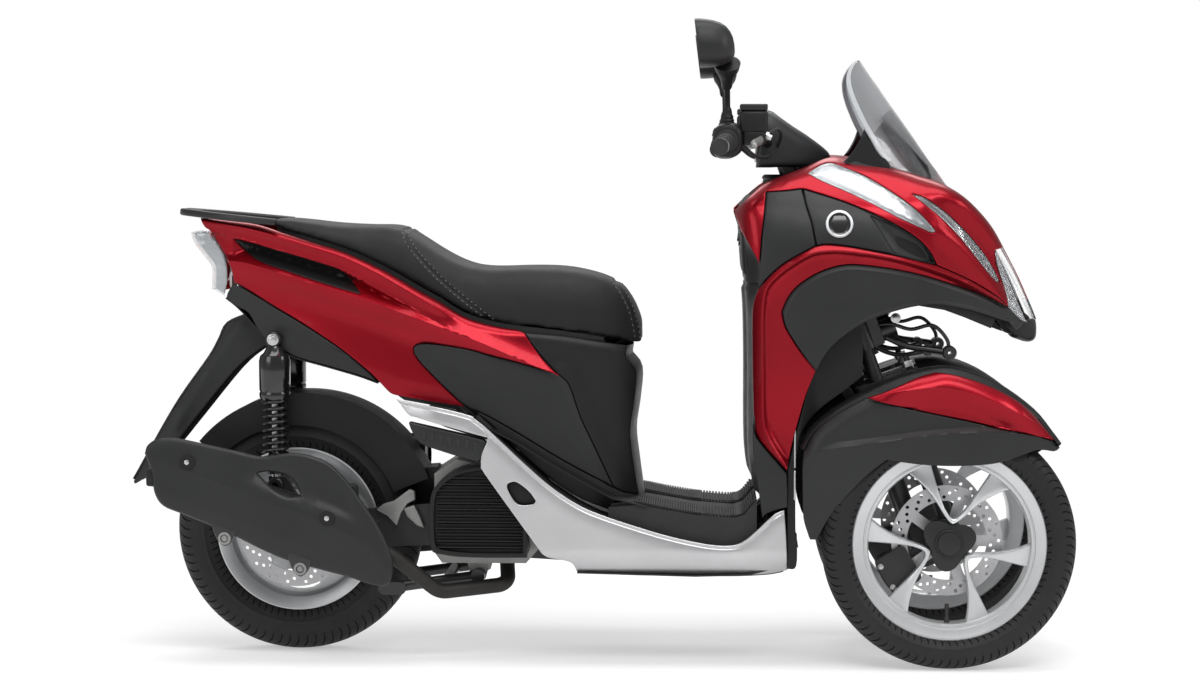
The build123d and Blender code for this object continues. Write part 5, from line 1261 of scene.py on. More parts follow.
scoop_bowl = panel("side_panel_scoops", inward(evenly(scoop, 5.0), -2.5), front_skin, (), 2.0, 7.0,
                   bands=(6.0, 12.0), relief=scoop_form)
inner_scoop = inward(
    evenly(smooth_outline([(570, 880), (570, 880), (604, 864), (636, 842), (654, 820), (654, 820),
            (636, 812), (604, 826), (590, 842)], 4), 5.0), 1.0)
scoop_grille = panel("side_panel_grilles", inner_scoop, front_skin, (), 2.0, 5.0, bands=(4.0,),
                     relief=lambda x, z, d: -17.0 - 2.5
                     * (0.5 + 0.5 * math.sin(x * 0.55 + z * 0.55)))
fit_out(duct_rear, "chassis", "charcoal", charcoal, "duct_panels")
fit_out(duct_front, "chassis", "charcoal", charcoal)
fit_out(scoop_bowl, "chassis", "black_plastic", charcoal)
fit_out(scoop_grille, "chassis", "black_plastic", black_plastic)


def boss_form(x, z, distance):
    """A shallow blank disc with a raised ring, lying on the side panel."""
    return -1.2 + 1.6 * ease(0.0, 1.2, distance) - 1.1 * ease(4.5, 6.5, distance)


boss_outline = [(484 + 27 * cos(a), 878 + 27 * sin(a)) for a in turns(60)]
boss = panel("side_panel_bosses", boss_outline, front_skin, (), 2.0, 5.0, gap=0.0, rim=0.5,
             bands=(2.4, 4.5, 5.5, 6.5), relief=boss_form)
fit_out(boss, "chassis", "black_plastic", gloss_black)
ring_hole = [(484 + 21.5 * cos(a), 878 + 21.5 * sin(a)) for a in turns(60)]
boss_ring = panel("side_panel_rings", boss_outline, front_skin, (ring_hole,), 1.6, 4.0, gap=0.0,
                  rim=0.6, relief=lambda x, z, d: 1.5, spacing=2.5)
fit_out(boss_ring, "chassis", "silver_panel", wheel_silver)

# %% [markdown]
# The charcoal arch fairing has a bevelled top rim that faces up and looks lighter, and a lip round
# the wheel opening.
# %% The arch fairing
fairing_outline = fairing_top_run + fairing_rear_run[1:] + arch_run[1:] + [(842, 662), (852, 668)]


def fairing_relief(x, z, distance):
    """A bevel under the top rim, and a raised lip round the wheel opening."""
    near = abs(to_line((x, z), fairing_top_run))
    lip = abs(to_line((x, z), arch_run))
    return (-7.0 + 5.0 * ease(0.0, 10.0, near) - 0.05 * min(near, 60.0)
            + 1.8 * (1.0 - ease(3.0, 10.0, lip)))


fairing = panel("arch_fairings", fairing_outline, front_skin, (), 2.6, 8.0,
                bands=(4.0, 7.0, 10.0, 13.0), relief=fairing_relief, spacing=4.5)
fit_out(fairing, "chassis", "charcoal", charcoal, "arch_fairing")

# %% [markdown]
# Each lamp is a clear cover over a silvered reflector. The cover has a little crown; the reflector
# sits some millimetres deeper, ribbed so that it breaks up the light.
# %% Lamps at the front
lens_rim = 0.8
turn_cover = panel("indicator_covers", turn_outline, front_skin, (), 1.6, 6.0, bands=(4.0, 8.0),
                   relief=lambda x, z, d: 0.6 + 1.6 * ease(0.0, 12.0, d), rim=lens_rim, spacing=4.0)
fit_out(turn_cover, "chassis", "clear_lens", clear_lens, "turn_signals")
turn_bowl = panel("indicator_reflectors", inward(evenly(turn_outline, 5.0), -1.0), front_skin, (),
                  1.2, 3.2, relief=lambda x, z, d: -4.0 - 10.0 * ease(0.0, 9.0, d)
                  + 1.6 * abs(((x + z * 0.45) / 9.0) % 2 - 1), bands=(3.0, 6.0))
fit_out(turn_bowl, "chassis", "mirror_glass", chrome)
marker_cover = panel("marker_lamp_covers", marker_outline, front_skin, (), 1.6, 6.0,
                     bands=(4.0, 8.0), relief=lambda x, z, d: cowl_relief(x, z, d) - 1.0
                     + 1.2 * ease(0.0, 8.0, d), rim=lens_rim, spacing=4.0)
fit_out(marker_cover, "chassis", "clear_lens", clear_lens)


def marker_form(x, z, distance):
    """A stepped bowl under the lamp cover."""
    step = 0.9 * abs(((x - z) / 7.0) % 2 - 1)
    return cowl_relief(x, z, distance) - 5.0 - 8.0 * ease(0.0, 7.0, distance) + step


marker_bowl = panel("marker_lamp_reflectors", inward(evenly(marker_outline, 5.0), -1.0), front_skin,
                    (), 1.2, 3.2, relief=marker_form, bands=(3.0,))
fit_out(marker_bowl, "chassis", "mirror_glass", chrome)
marker_shade = panel("marker_lamp_shades",
                     [p for p in marker_outline if p[1] > -0.95 * p[0] + 1556.0], front_skin, (),
                     1.2, 5.0, bands=(3.0,), relief=lambda x, z, d: cowl_relief(x, z, d) - 3.6)
fit_out(marker_shade, "chassis", "black_plastic", gloss_black)
lamp_cover = panel("headlight_covers", lamp_outline, front_skin, (), 1.8, 6.0, bands=(4.0, 8.0),
                   relief=lambda x, z, d: 0.5 * ease(0.0, 8.0, d), rim=lens_rim, spacing=4.0)
fit_out(lamp_cover, "chassis", "clear_lens", clear_lens, "headlights")
lamp_bowl = panel("headlight_reflectors", inward(evenly(lamp_outline, 5.0), -1.0), front_skin, (),
                  1.2, 4.0, relief=lambda x, z, d: -5.0 - 9.0 * ease(0.0, 10.0, d)
                  + 1.0 * abs((z / 8.0) % 2 - 1), bands=(3.0,))
fit_out(lamp_bowl, "chassis", "mirror_glass", chrome)
print("front lamps", [o.name for o in (turn_cover, marker_cover, lamp_cover)])

# %% [markdown]
# A deck joins the two sides over the top and down the nose: black round the handlebar, red under
# the screen, clear over the headlights, and charcoal at the chin.
# %% The deck between the sides
def with_normals(line):
    """Each point of a flat line with the direction square to it, on its left."""
    pairs = []
    for i, p in enumerate(line):
        ahead = line[min(i + 1, len(line) - 1)] - line[max(i - 1, 0)]
        pairs.append((p, Vector((-ahead.y, ahead.x)).normalized()))
    return pairs


def shares(count, low=-1.0, high=1.0):
    """Evenly spaced shares of a width, from its right edge at -1 to its left edge at 1."""
    return [low + (high - low) * k / (count - 1) for k in range(count)]


def deck(name, points, wall=2.4, columns=15, crown=5.0, low=-1.0, high=1.0, skin=front_skin,
         sink=0.0):
    """A strip along the top line from one side to the other, or between two shares of its width."""
    rows = []
    for p, out in with_normals(curve_points([(x, z, 0) for x, z in points], 4)):
        edge = skin(p.x, p.y) - 0.7
        row = []
        for share in shares(columns, low, high):
            lift = crown * (1 - share * share) - sink - 1.6 * (abs(share) > 0.999)
            row.append(mm(p.x + out.x * lift, edge * share, p.y + out.y * lift))
        rows.append(row)
    return sheet(name, rows, FORWARDS + UP, wall)


nose_deck = deck("nose_deck", top_points[5:15])
fit_out(nose_deck, "chassis", "red_panel", red_paint)
beak = deck("nose_beak", top_points[14:17], crown=6.0, low=-0.24, high=0.24, columns=7)
fit_out(beak, "chassis", "red_panel", red_paint)
for name, low, high in (("right_headlight_front", -1.0, -0.26),
                        ("left_headlight_front", 0.26, 1.0)):
    cover = deck(name, top_points[14:18], wall=1.8, low=low, high=high, columns=9)
    fit_out(cover, "chassis", "clear_lens", clear_lens)
    bowl = deck(name + "_reflector", top_points[14:18], wall=1.4, low=low, high=high, columns=9,
                sink=16.0)
    fit_out(bowl, "chassis", "mirror_glass", chrome)
chin = deck("nose_chin", [(888, 680), (889, 664), (886, 646), (872, 640), (846, 648)], crown=4.0)
fit_out(chin, "chassis", "charcoal", charcoal)
nose_filler = plate("nose_filler", [(800, 742), (846, 712), (876, 688), (881, 664), (876, 652),
                                    (846, 656), (806, 676)], -44.0, 44.0)
round_edges(nose_filler, 5.0, 2)
fit_out(nose_filler, "chassis", "black_plastic", black_plastic)
chin_outline = (run([(818, 685), (846, 672), (862, 682), (880, 686)])
                + run([(886, 682), (889, 664), (886, 647), (872, 641), (846, 649), (822, 672)]))
chin_sides = panel("nose_chin_sides", chin_outline,
                   lambda x, z: min(front_skin(x, z), 52.0 + 0.4 * (889 - x)), (), 2.4, 5.0,
                   bands=(3.5,), relief=lambda x, z, d: -1.0)
fit_out(chin_sides, "chassis", "charcoal", charcoal)
beak_low = deck("nose_beak_foot", [(871, 720), (880, 700), (888, 680)], crown=6.0, low=-0.26,
                high=0.26, columns=7)
fit_out(beak_low, "chassis", "charcoal", charcoal)
print("deck pieces done")

# %% [markdown]
# A black sheet lies behind the seams of the front body; it closes the gaps, and its black is
# painted shade so the seams read as shadow gaps. A charcoal base carries the leg shield down to the
# sill.
# %% Front seam shade shell and leg shield base
# painted shade: this sheet closes the seams, and its black stands in for the shadow inside the body
front_seam_shade_backing = panel("front_seam_shade_shell",
                      [(294, 886), (345, 944), (440, 984), (560, 944), (680, 866), (752, 800),
                       (792, 742), (806, 700), (790, 668), (700, 706), (610, 722), (520, 704),
                       (455, 652), (436, 600), (402, 490), (386, 404), (336, 452), (324, 520),
                       (322, 700), (333, 780), (312, 836)], front_skin, (), 2.0, 20.0,
                      relief=lambda x, z, d: -17.0, spacing=12.0)
fit_out(front_seam_shade_backing, "chassis", "black_plastic", black_plastic)
shield_base = panel(
    "leg_shield_bases", run([(317, 500), (322, 464), (341, 437), (366, 409), (384, 388)])
    + run([(384, 388), (386, 350), (386, 320)])[1:]
    + run([(386, 320), (366, 314), (345, 306), (336, 296)])[1:]
    + run([(336, 296), (324, 380), (316, 440), (317, 500)])[1:-1], front_skin, (), 2.6, 8.0,
    bands=(4.0,), relief=lambda x, z, d: -3.0)
fit_out(shield_base, "chassis", "charcoal", charcoal)
print("front shell done")
# %% [markdown]
# ## Front fenders
# Each fender is two mouldings: a charcoal body with a sharp ridge along its side, and a painted cap
# set into the top. Behind them a dark dome closes the top of the wheel. All follow one form that
# rolls over to the top line, so the same panel maker serves, once for each side.
# %% The fender form
fender_top = line_through([(414, 430), (434, 470), (477, 508), (537, 544), (602, 574), (672, 592),
                           (697, 594), (745, 582), (792, 562), (830, 539), (862, 512), (890, 480),
                           (907, 457), (919, 440)])
fender_ridge = run([(452, 438), (500, 445), (550, 452), (600, 459), (650, 466), (700, 471),
                    (760, 474), (820, 472), (870, 466), (900, 459), (921, 443)])
ridge_line = line_through(fender_ridge[::3])


def fender_skin(x, z):
    """How far out the fender's side stands, with its ridge and rolled top."""
    width = 255.0 - 24.0 * ease(830, 925, x) - 15.0 * ease(520, 425, x)
    above = z - ridge_line(x)
    if above > 0:
        width -= (min(11.0, above * 1.1) - 0.05 * min(above, 60.0)) * ease(430, 520, x) * ease(
            850, 790, x) + 1.0
    else:
        width -= 0.16 * -above
    return width - roll(depth_under(fender_top, x, z), 30.0) * 0.9


cap_outline = (
    run([(537, 540), (570, 551), (605, 566), (640, 581), (673, 590)])
    + run([(673, 590), (705, 586), (745, 575), (790, 557), (830, 535), (862, 508), (888, 478),
            (907, 455)])[1:] + run([(907, 455), (870, 465), (800, 479), (740, 493), (680, 505),
            (620, 518), (570, 530), (537, 540)])[1:-1])
cap_low = run([(907, 455), (870, 465), (800, 479), (740, 493), (680, 505), (620, 518), (570, 530),
               (537, 540)])
body_top = run([(416, 436), (434, 468), (477, 506), (537, 540)])
body_low = run([(577, 418), (545, 393), (500, 345), (468, 302), (444, 256)])
body_bottom = run([(918, 440), (905, 434), (885, 437), (865, 437), (835, 426), (800, 414),
                   (760, 408), (700, 406), (640, 409), (577, 418)])
body_rear = (run([(444, 256), (430, 256)])
             + run([(427, 262), (416, 300), (414, 350), (413, 400), (416, 436)]))
body_outline = (body_top + cap_low[::-1][1:] + [(914, 448)] + body_bottom + body_low[1:]
                + body_rear[2:-1])
cap_fold = line_through([(540, 541), (600, 552), (660, 561), (700, 560), (760, 543), (820, 518),
                         (870, 488), (905, 457)])


def cap_relief(x, z, distance):
    """The painted cap stands proud and has a soft fold along its upper side."""
    fold = z - cap_fold(x)
    lean = 0.42 * min(max(-fold, 0.0), 40.0) if fold < 0 else 0.30 * fold
    return 10.0 - lean * ease(560, 620, x)


def dome(name, side):
    """The dark top of the fender, from the cap across the tyre to the inner side."""
    rows = []
    for x, z in run([(415, 436), (434, 470), (477, 508), (537, 544), (602, 574), (672, 592),
                     (720, 589), (792, 562), (862, 512), (900, 466), (915, 446)]):
        out = Vector((-slope_of(fender_top, x), 1.0)).normalized()
        row = []
        for y, lift in ((fender_skin(x, z - 14) - 4, -13), (fender_skin(x, z - 6) - 5, -7),
                        (226, -1.5), (222, 3.0), (214, 5.5), (200, 6.5), (178, 6.0), (160, 3.0),
                        (148, -3.0), (142, -12.0), (140.5, -24.0), (140.5, -48.0)):
            row.append(mm(x + out.x * lift, side * y, z + out.y * lift))
        rows.append(row)
    return sheet(name, rows, UP)


fender_body = panel("right_fender_body", body_outline, fender_skin, (), 2.6, 8.0, bands=(4.0, 8.0),
                    both=False, lines=(fender_ridge,))
fender_cap = panel("right_fender_cap", cap_outline, fender_skin, (), 2.6, 7.0,
                   bands=(4.0, 8.0, 13.0), both=False, relief=cap_relief,
                   lines=([(x, cap_fold(x)) for x in range(560, 900, 10)],))
for name, side in sides:
    body = fender_body if side < 0 else copy_of(fender_body, "left_fender_body", mirror=True)
    cap = fender_cap if side < 0 else copy_of(fender_cap, "left_fender_cap", mirror=True)
    top = dome(name + "_fender_dome", side)
    fit_out(body, name + "_fork", "charcoal", charcoal, name + "_front_fender")
    fit_out(cap, name + "_fork", "red_panel", red_paint)
    fit_out(top, name + "_fork", "black_plastic", black_plastic)
print("fenders", len(fender_body.data.polygons), len(fender_cap.data.polygons))
# %% [markdown]
# ## Rear bodywork
# The tail is a long red panel on each side. A sharp ridge runs down it from the lamp to a point
# under the seat, with a shelf above that faces the sky and a hollow below that looks dark. Between
# the ridge and the upper strip lies a deep black recess. All of this is relief on one smooth form.
# %% The rear body form
rear_plan = line_through([(-815, 60), (-801, 66), (-730, 97), (-664, 116), (-566, 138), (-470, 151),
                          (-350, 162), (-250, 166), (-150, 163), (-70, 157), (0, 147), (42, 135),
                          (70, 118), (92, 98)])
seat_edge = line_through([(-801, 887), (-740, 882), (-677, 874), (-620, 857), (-566, 841),
                          (-500, 821), (-450, 800), (-400, 775), (-350, 746), (-308, 723),
                          (-255, 691), (-190, 672), (-135, 664), (-60, 655), (0, 645), (70, 632)])
tail_ridge = run([(-738, 801), (-700, 797), (-640, 781), (-560, 757), (-500, 740), (-440, 721),
                  (-380, 700), (-300, 671), (-230, 645), (-170, 619), (-120, 597), (-66, 575)])
strip_edge = run([(-792, 862), (-720, 847), (-640, 825), (-560, 803), (-505, 786), (-460, 762),
                  (-400, 731), (-340, 699), (-290, 671)])
strip_fold = run([(-800, 884), (-700, 866), (-620, 846), (-560, 829), (-490, 808), (-430, 780),
                  (-370, 746), (-300, 705), (-220, 665), (-150, 632)])


def rear_skin(x, z):
    """Half width of the rear body, rolled over at the seat line."""
    half = rear_plan(x) - roll(depth_under(seat_edge, x, z), 16.0)
    return half - 0.05 * max(0.0, 560.0 - z) * ease(-100, -300, x)


def tail_relief(x, z, distance):
    """The ridge, the shelf above it, the recess and the proud upper strip."""
    below = to_line((x, z), tail_ridge)
    if below < 0:
        return 8.0 - 21.0 * ease(-6.0, 52.0, -below) + 6.0 * ease(56.0, 130.0, -below)
    plain = soft_max(8.0 - 0.5 * below, -7.0, 8.0)
    merge = ease(-345.0, -250.0, x)
    if merge >= 1.0:
        return plain
    edge = -to_line((x, z), strip_edge)
    if edge <= 0:
        fold = abs(to_line((x, z), strip_fold))
        return (1.0 - merge) * 7.0 * (1.0 - ease(0.0, 15.0, fold)) + merge * plain
    deep = (20.0 * ease(-735, -690, x) + 6.0) * (1.0 - 0.72 * ease(-480, -330, x))
    shelf = 8.0 - (1.25 - 0.75 * ease(-430, -290, x)) * below
    brow = 1.0 - (2.4 - 1.5 * ease(-480, -330, x)) * edge
    return (1.0 - merge) * soft_max(soft_max(shelf, brow, 4.0), -deep, 3.0) + merge * plain


valley = [(x, z) for x, z in [(-462, 739), (-440, 733), (-420, 727), (-400, 720.5), (-380, 713),
                              (-360, 704.5), (-340, 696), (-320, 686.5), (-300, 677)]]
strip_tail = run([(-452, 758), (-400, 731), (-340, 699), (-290, 671)])
red_low = (run([(-728, 757), (-700, 742), (-640, 707), (-600, 685), (-550, 655), (-500, 622),
                (-450, 582), (-427, 560), (-405, 538), (-385, 532)])
           + run([(-385, 532), (-350, 526), (-300, 518), (-253, 511)])[1:])
insert_left = run([(-253, 511), (-300, 556), (-340, 597), (-356, 618)])
insert_top = run([(-356, 618), (-357, 629), (-348, 636), (-320, 637), (-250, 627), (-200, 614),
                  (-140, 599), (-66, 575)])
red_up = run([(-66, 575), (-84, 592), (-104, 614), (-124, 641), (-136, 660)])
recess = smooth_outline([(-724, 842), (-724, 842), (-690, 836), (-640, 823), (-580, 807),
                         (-520, 789), (-503, 781), (-486, 764), (-464, 737), (-464, 737),
                         (-500, 747), (-560, 765), (-620, 784), (-664, 798), (-694, 814)], 3)
seat_run = [(x, seat_edge(x)) for x in range(-136, -800, -14)] + [(-800, 887)]
tail_end = run([(-800, 887), (-790, 868), (-776, 858), (-756, 828), (-738, 800), (-731, 778),
                (-728, 757)])
tail_outline = (red_low + insert_left[1:] + insert_top[1:] + red_up[1:] + seat_run[1:]
                + tail_end[1:-1])
tail_panels = panel("tail_side_panels", tail_outline, rear_skin, (recess,), 2.8, 7.0,
                    bands=(3.5, 6.0, 10.0, 14.0), relief=tail_relief, spacing=4.5,
                    lines=(tail_ridge[:-2], strip_fold, strip_tail, valley))
fit_out(tail_panels, "chassis", "red_panel", red_paint, "tail_panels")
recess_floor = panel("tail_recess_panels", recess, rear_skin, (), 2.0, 7.0, gap=-2.0,
                     bands=(4.0, 8.0), relief=lambda x, z, d: tail_relief(x, z, d) - 4.0)
fit_out(recess_floor, "chassis", "black_plastic", black_plastic)
seat_tray = deck("under_seat_tray", [(x, seat_edge(x) - 26) for x in range(-772, -400, 30)]
                 + [(-394, 668), (-385, 634)], crown=-6.0, skin=lambda x, z: rear_skin(x, z) - 16.0)
fit_out(seat_tray, "chassis", "black_plastic", black_plastic)
print("tail panels", len(tail_panels.data.polygons), "faces")

# %% [markdown]
# Under the seat the body is charcoal: a side insert that fills the hollow of the red panel, a front
# cover that turns in towards the rider's shins, and a kick strip over the foot board.
# %% Centre covers
fold_line = run([(-66, 575), (-47, 555), (-25, 492), (6, 425), (40, 350)])
kick_line = run([(-253, 511), (-216, 497), (-150, 460), (-60, 405), (40, 350)])
cover_edge = run([(68, 632), (67, 608), (86, 580), (82, 520), (74, 460), (80, 400), (91, 330)])
insert_outline = (insert_left[::-1][:-1] + kick_line[1:] + fold_line[::-1][1:]
                  + insert_top[::-1][1:-1])[::-1]


def insert_relief(x, z, distance):
    """A raised fold, and a soft hollow away from the rim."""
    fold = abs(to_line((x, z), fold_line))
    return -3.5 + 2.5 * (1.0 - ease(0.0, 14.0, fold)) - 3.0 * ease(0.0, 60.0, distance)


centre_insert = panel("centre_inserts", insert_outline, rear_skin, (), 2.6, 9.0,
                      bands=(4.0, 8.0, 13.0), relief=insert_relief)
front_outline = (red_up + [(-60, 654), (0, 644), (60, 634)] + cover_edge + [(60, 338)]
                 + fold_line[::-1][:-1])
centre_front = panel("centre_front_covers", front_outline, rear_skin, (), 2.6, 9.0,
                     bands=(4.0, 8.0), relief=lambda x, z, d: -2.0 - 6.0
                     * ease(0.0, 40.0, abs(to_line((x, z), fold_line))))
sill_top = run([(-388, 531), (-370, 528), (-300, 516), (-240, 501), (-228, 493), (-202, 472),
                (-135, 409), (-80, 361), (-29, 327), (15, 307), (90, 282), (160, 262), (230, 248),
                (275, 246), (300, 255), (325, 276), (350, 300), (365, 311), (380, 316)])
kick_low = [p for p in sill_top if -236 < p[0] < 60]
kick_outline = (kick_line + [(60, 338), (91, 330), (90, 288)]
                + [(x, z + 3) for x, z in kick_low[::-1]])
kick_strip = panel("kick_strips", kick_outline, rear_skin, (), 2.6, 8.0, bands=(4.0,),
                   relief=lambda x, z, d: -6.0)
centre_wall = deck(
    "centre_front_wall", [(68, 632), (67, 608), (86, 580), (82, 520), (74, 460), (80, 400),
        (91, 320)], wall=2.6, crown=10.0, skin=lambda x, z: rear_skin(x, z) - 8.0)
fit_out(centre_insert, "chassis", "charcoal", charcoal, "centre_cover")
for piece in (centre_front, centre_wall):
    fit_out(piece, "chassis", "charcoal", black_plastic)
fit_out(kick_strip, "chassis", "charcoal", charcoal)
print("centre covers done")

# %% [markdown]
# The silver sill is a long moulding with a fine groove under its top edge and a belly that tucks
# under, which makes its lower third look grey. It has a drop-shaped vent behind.
# %% Sills
vent = smooth_outline([(-166, 362), (-158, 368), (-146, 367), (-124, 350), (-111, 332), (-111, 332),
                       (-116, 326), (-138, 324), (-150, 330), (-161, 346)], 3)
sill_low = (run([(380, 316), (384, 260), (387, 192)])[1:]
            + run([(387, 192), (350, 185), (300, 181), (240, 180), (100, 181), (-30, 186)])[1:])
sill_back = (
    run([(-30, 186), (-38, 205), (-52, 212), (-84, 218), (-98, 226)])[1:]
    + run([(-98, 226), (-150, 298), (-212, 385), (-219, 402), (-217, 425), (-208, 446),
            (-206, 456)])[1:] + run([(-206, 456), (-280, 476), (-345, 495), (-362, 500),
            (-388, 531)])[1:-1])


def sill_skin(x, z):
    """How far out the sill stands: level at the top, tucked in below."""
    half = 220.0 - 20.0 * ease(-300, -400, x) - 26.0 * ease(350, 392, x) * 0.4
    tuck = max(0.0, 232.0 - z)
    return half - 0.012 * tuck * tuck - 0.1 * tuck


def sill_relief(x, z, distance):
    """A fine groove under the top edge, and a fuller face below it."""
    top = abs(to_line((x, z), sill_top))
    return -1.8 * (ease(5.5, 6.5, top) - ease(8.0, 9.0, top)) + 1.6 * ease(9.0, 26.0, top)


sills = panel("sill_mouldings", sill_top + sill_low + sill_back, sill_skin, (vent,), 2.8, 9.0,
              bands=(3.5, 5.5, 6.5, 8.0, 9.2), relief=sill_relief, spacing=5.0)
fit_out(sills, "chassis", "silver_panel", silver_panel, "side_sills")
vent_floor = panel("sill_vents", vent, sill_skin, (), 2.0, 7.0, gap=-3.0,
                   relief=lambda x, z, d: -14.0)
fit_out(vent_floor, "chassis", "black_plastic", black_plastic)


def ribbon(name, points, near, far, drop=0.0):
    """A thin level strip on both sides, along a line, between two distances from the middle."""
    rows = []
    for x, z in points:
        a = near(x, z) if callable(near) else near
        b = far(x, z) if callable(far) else far
        rows.append([mm(x, -(a + (b - a) * k / 4), z - drop * k / 4) for k in range(5)])
    return both_sides(sheet(name, rows, UP))


sill_shelf = ribbon("sill_shelves", [(x, z - 1.5) for x, z in sill_top[2:-1]],
                    lambda x, z: sill_skin(x, z) - 2.6, 196.0, drop=2.0)
fit_out(sill_shelf, "chassis", "charcoal", charcoal)
sill_keel = ribbon("sill_keels", [(x, z + 1.0) for x, z in sill_low[8:]],
                   lambda x, z: sill_skin(x, z) - 2.6, 150.0)
fit_out(sill_keel, "chassis", "charcoal", charcoal)
kick_backing = ribbon("kick_strip_backing",
                      [(-253, 497), (-150, 447), (-60, 392), (40, 337), (110, 320)], 140.0, 205.0)
fit_out(kick_backing, "chassis", "black_plastic", black_plastic)
print("sills done")

# %% [markdown]
# Behind, a charcoal cover closes the tail underneath, a long ridged mudguard reaches back over the
# wheel, and a clear lamp wraps the tail with a red lamp inside it. The grab rail is a flat cast
# loop with rounded edges.
# %% Under-tail, mudguard, lamp and rail
under_outline = (
    run([(-730, 755), (-744, 727), (-722, 708), (-698, 696), (-682, 668), (-664, 644), (-640, 629)])
    + run([(-640, 629), (-600, 608), (-540, 592), (-470, 573), (-430, 559)])[1:]
    + run([(-430, 559), (-450, 581), (-500, 621), (-550, 654), (-600, 684), (-640, 706),
            (-700, 741), (-730, 755)])[1:-1])
under_fold = run([(-696, 694), (-600, 660), (-520, 628), (-450, 590)])


def under_skin(x, z):
    """The underside of the tail, leaning in below its fold."""
    fold = to_line((x, z), under_fold)
    return rear_skin(x, z) - 12.0 + 0.10 * min(fold, 0.0) + 3.0 * ease(-2.0, 2.0, fold)


under_tail = panel("under_tail_covers", under_outline, under_skin, (), 2.6, 8.0, bands=(4.0,))
fit_out(under_tail, "chassis", "charcoal", charcoal, "under_tail_cover")
under_floor = deck(
    "under_tail_floor", [(-744, 727), (-716, 706), (-680, 668), (-640, 631), (-600, 609),
        (-540, 593), (-470, 574), (-430, 560)], crown=-3.0, skin=under_skin)
fit_out(under_floor, "chassis", "black_plastic", black_plastic)

guard_top = run([(-700, 692), (-745, 672), (-762, 640), (-783, 603), (-842, 521), (-907, 416),
                 (-948, 346)])
guard_low = run([(-948, 346), (-940, 342), (-897, 376), (-817, 473), (-735, 573), (-690, 612),
                 (-655, 632)])
guard_line = run([(-712, 668), (-752, 612), (-826, 505), (-900, 396), (-942, 345)])


def guard_skin(x, z):
    """Half width of the mudguard, with a ridge along it."""
    half = 62.0 - 30.0 * ease(-840, -955, x)
    return half + 3.0 * (1.0 - ease(0.0, 12.0, abs(to_line((x, z), guard_line))))


guard_side = panel("mudguard_sides", guard_top + guard_low[1:] + [(-660, 650), (-682, 676)],
                   guard_skin, (), 2.6, 9.0, bands=(4.0, 7.0))
guard_back = deck("mudguard_back", [(-700, 692), (-745, 672), (-762, 640), (-783, 603), (-842, 521),
                                    (-907, 416), (-946, 350)], wall=2.6, crown=7.0, skin=guard_skin)
fit_out(guard_side, "chassis", "black_plastic", charcoal, "rear_mudguard")
fit_out(guard_back, "chassis", "black_plastic", charcoal)
reflector = deck("rear_reflector", [(-779, 626), (-786, 612), (-796, 596)], wall=5.0, crown=2.0,
                 skin=lambda x, z: 24.0, sink=-8.0)
fit_out(reflector, "chassis", "clear_lens", red_lens)

lamp_back = [(-815, 858), (-806, 836), (-787, 812), (-770, 786), (-771, 742)]
lamp_side_outline = (
    run(lamp_back) + [(-748, 727), (-742, 757), (-742, 788), (-748, 812), (-766, 840), (-782, 861)])


def lamp_skin(x, z):
    """Half width of the tail lamp, rounded off behind."""
    return 80.0 - roll((x + 815.0) * 0.9 + 2.0, 26.0)


lamp_cover = panel("tail_lamp_sides", lamp_side_outline, lamp_skin, (), 1.8, 6.0, bands=(4.0, 8.0),
                   rim=0.8)
lamp_rear = deck("tail_lamp_back", lamp_back, wall=1.8, crown=6.0, skin=lamp_skin)
lamp_core = deck("tail_lamp_core", [(x + 16, z - 2) for x, z in lamp_back], wall=2.0, crown=4.0,
                 skin=lambda x, z: 66.0)
fit_out(lamp_cover, "chassis", "clear_lens", clear_lens, "tail_lamp")
fit_out(lamp_rear, "chassis", "clear_lens", clear_lens)
fit_out(lamp_core, "chassis", "red_panel", red_lens)
lamp_wall = panel("tail_lamp_reflectors", inward(evenly(lamp_side_outline, 6.0), 2.0), lamp_skin,
                  (), 1.2, 4.0, relief=lambda x, z, d: -10.0 + 1.2 * abs((z / 8.0) % 2 - 1))
fit_out(lamp_wall, "chassis", "mirror_glass", chrome)

rail_slope = math.atan2(12.0, 124.0)


def on_rail(a, b, lift):
    """A place on the grab rail: along, across and above its seat on the tail."""
    return mm(-677.5 + a * cos(rail_slope) + lift * sin(rail_slope), b,
              875.4 - a * sin(rail_slope) + lift * cos(rail_slope))


rail_outer = run([(42, -140), (-30, -134), (-80, -118), (-130, -86), (-166, -50), (-168, 0)])
rail_outer += [(a, -b) for a, b in rail_outer[::-1][1:]]
rail_inner = run([(42, 112), (-20, 104), (-66, 88), (-108, 62), (-132, 34), (-133, 0)])
rail_inner += [(a, -b) for a, b in rail_inner[::-1][1:]]
rail_ring = rail_outer + rail_inner
low_ring = ring_of([on_rail(a, b, 0.4) for a, b in rail_ring], "grab_rail_casting", fill=True)
rail = tidy(pull(low_ring, on_rail(0, 0, 14) - on_rail(0, 0, 0.4)))
round_edges(rail, 3.6, 3, 50)
smooth(rail, 40)
fit_out(rail, "chassis", "dark_paint", dark_paint, "grab_rail")
print("tail pieces done", [round(v, 3) for v in on_rail(-168, 0, 14)])
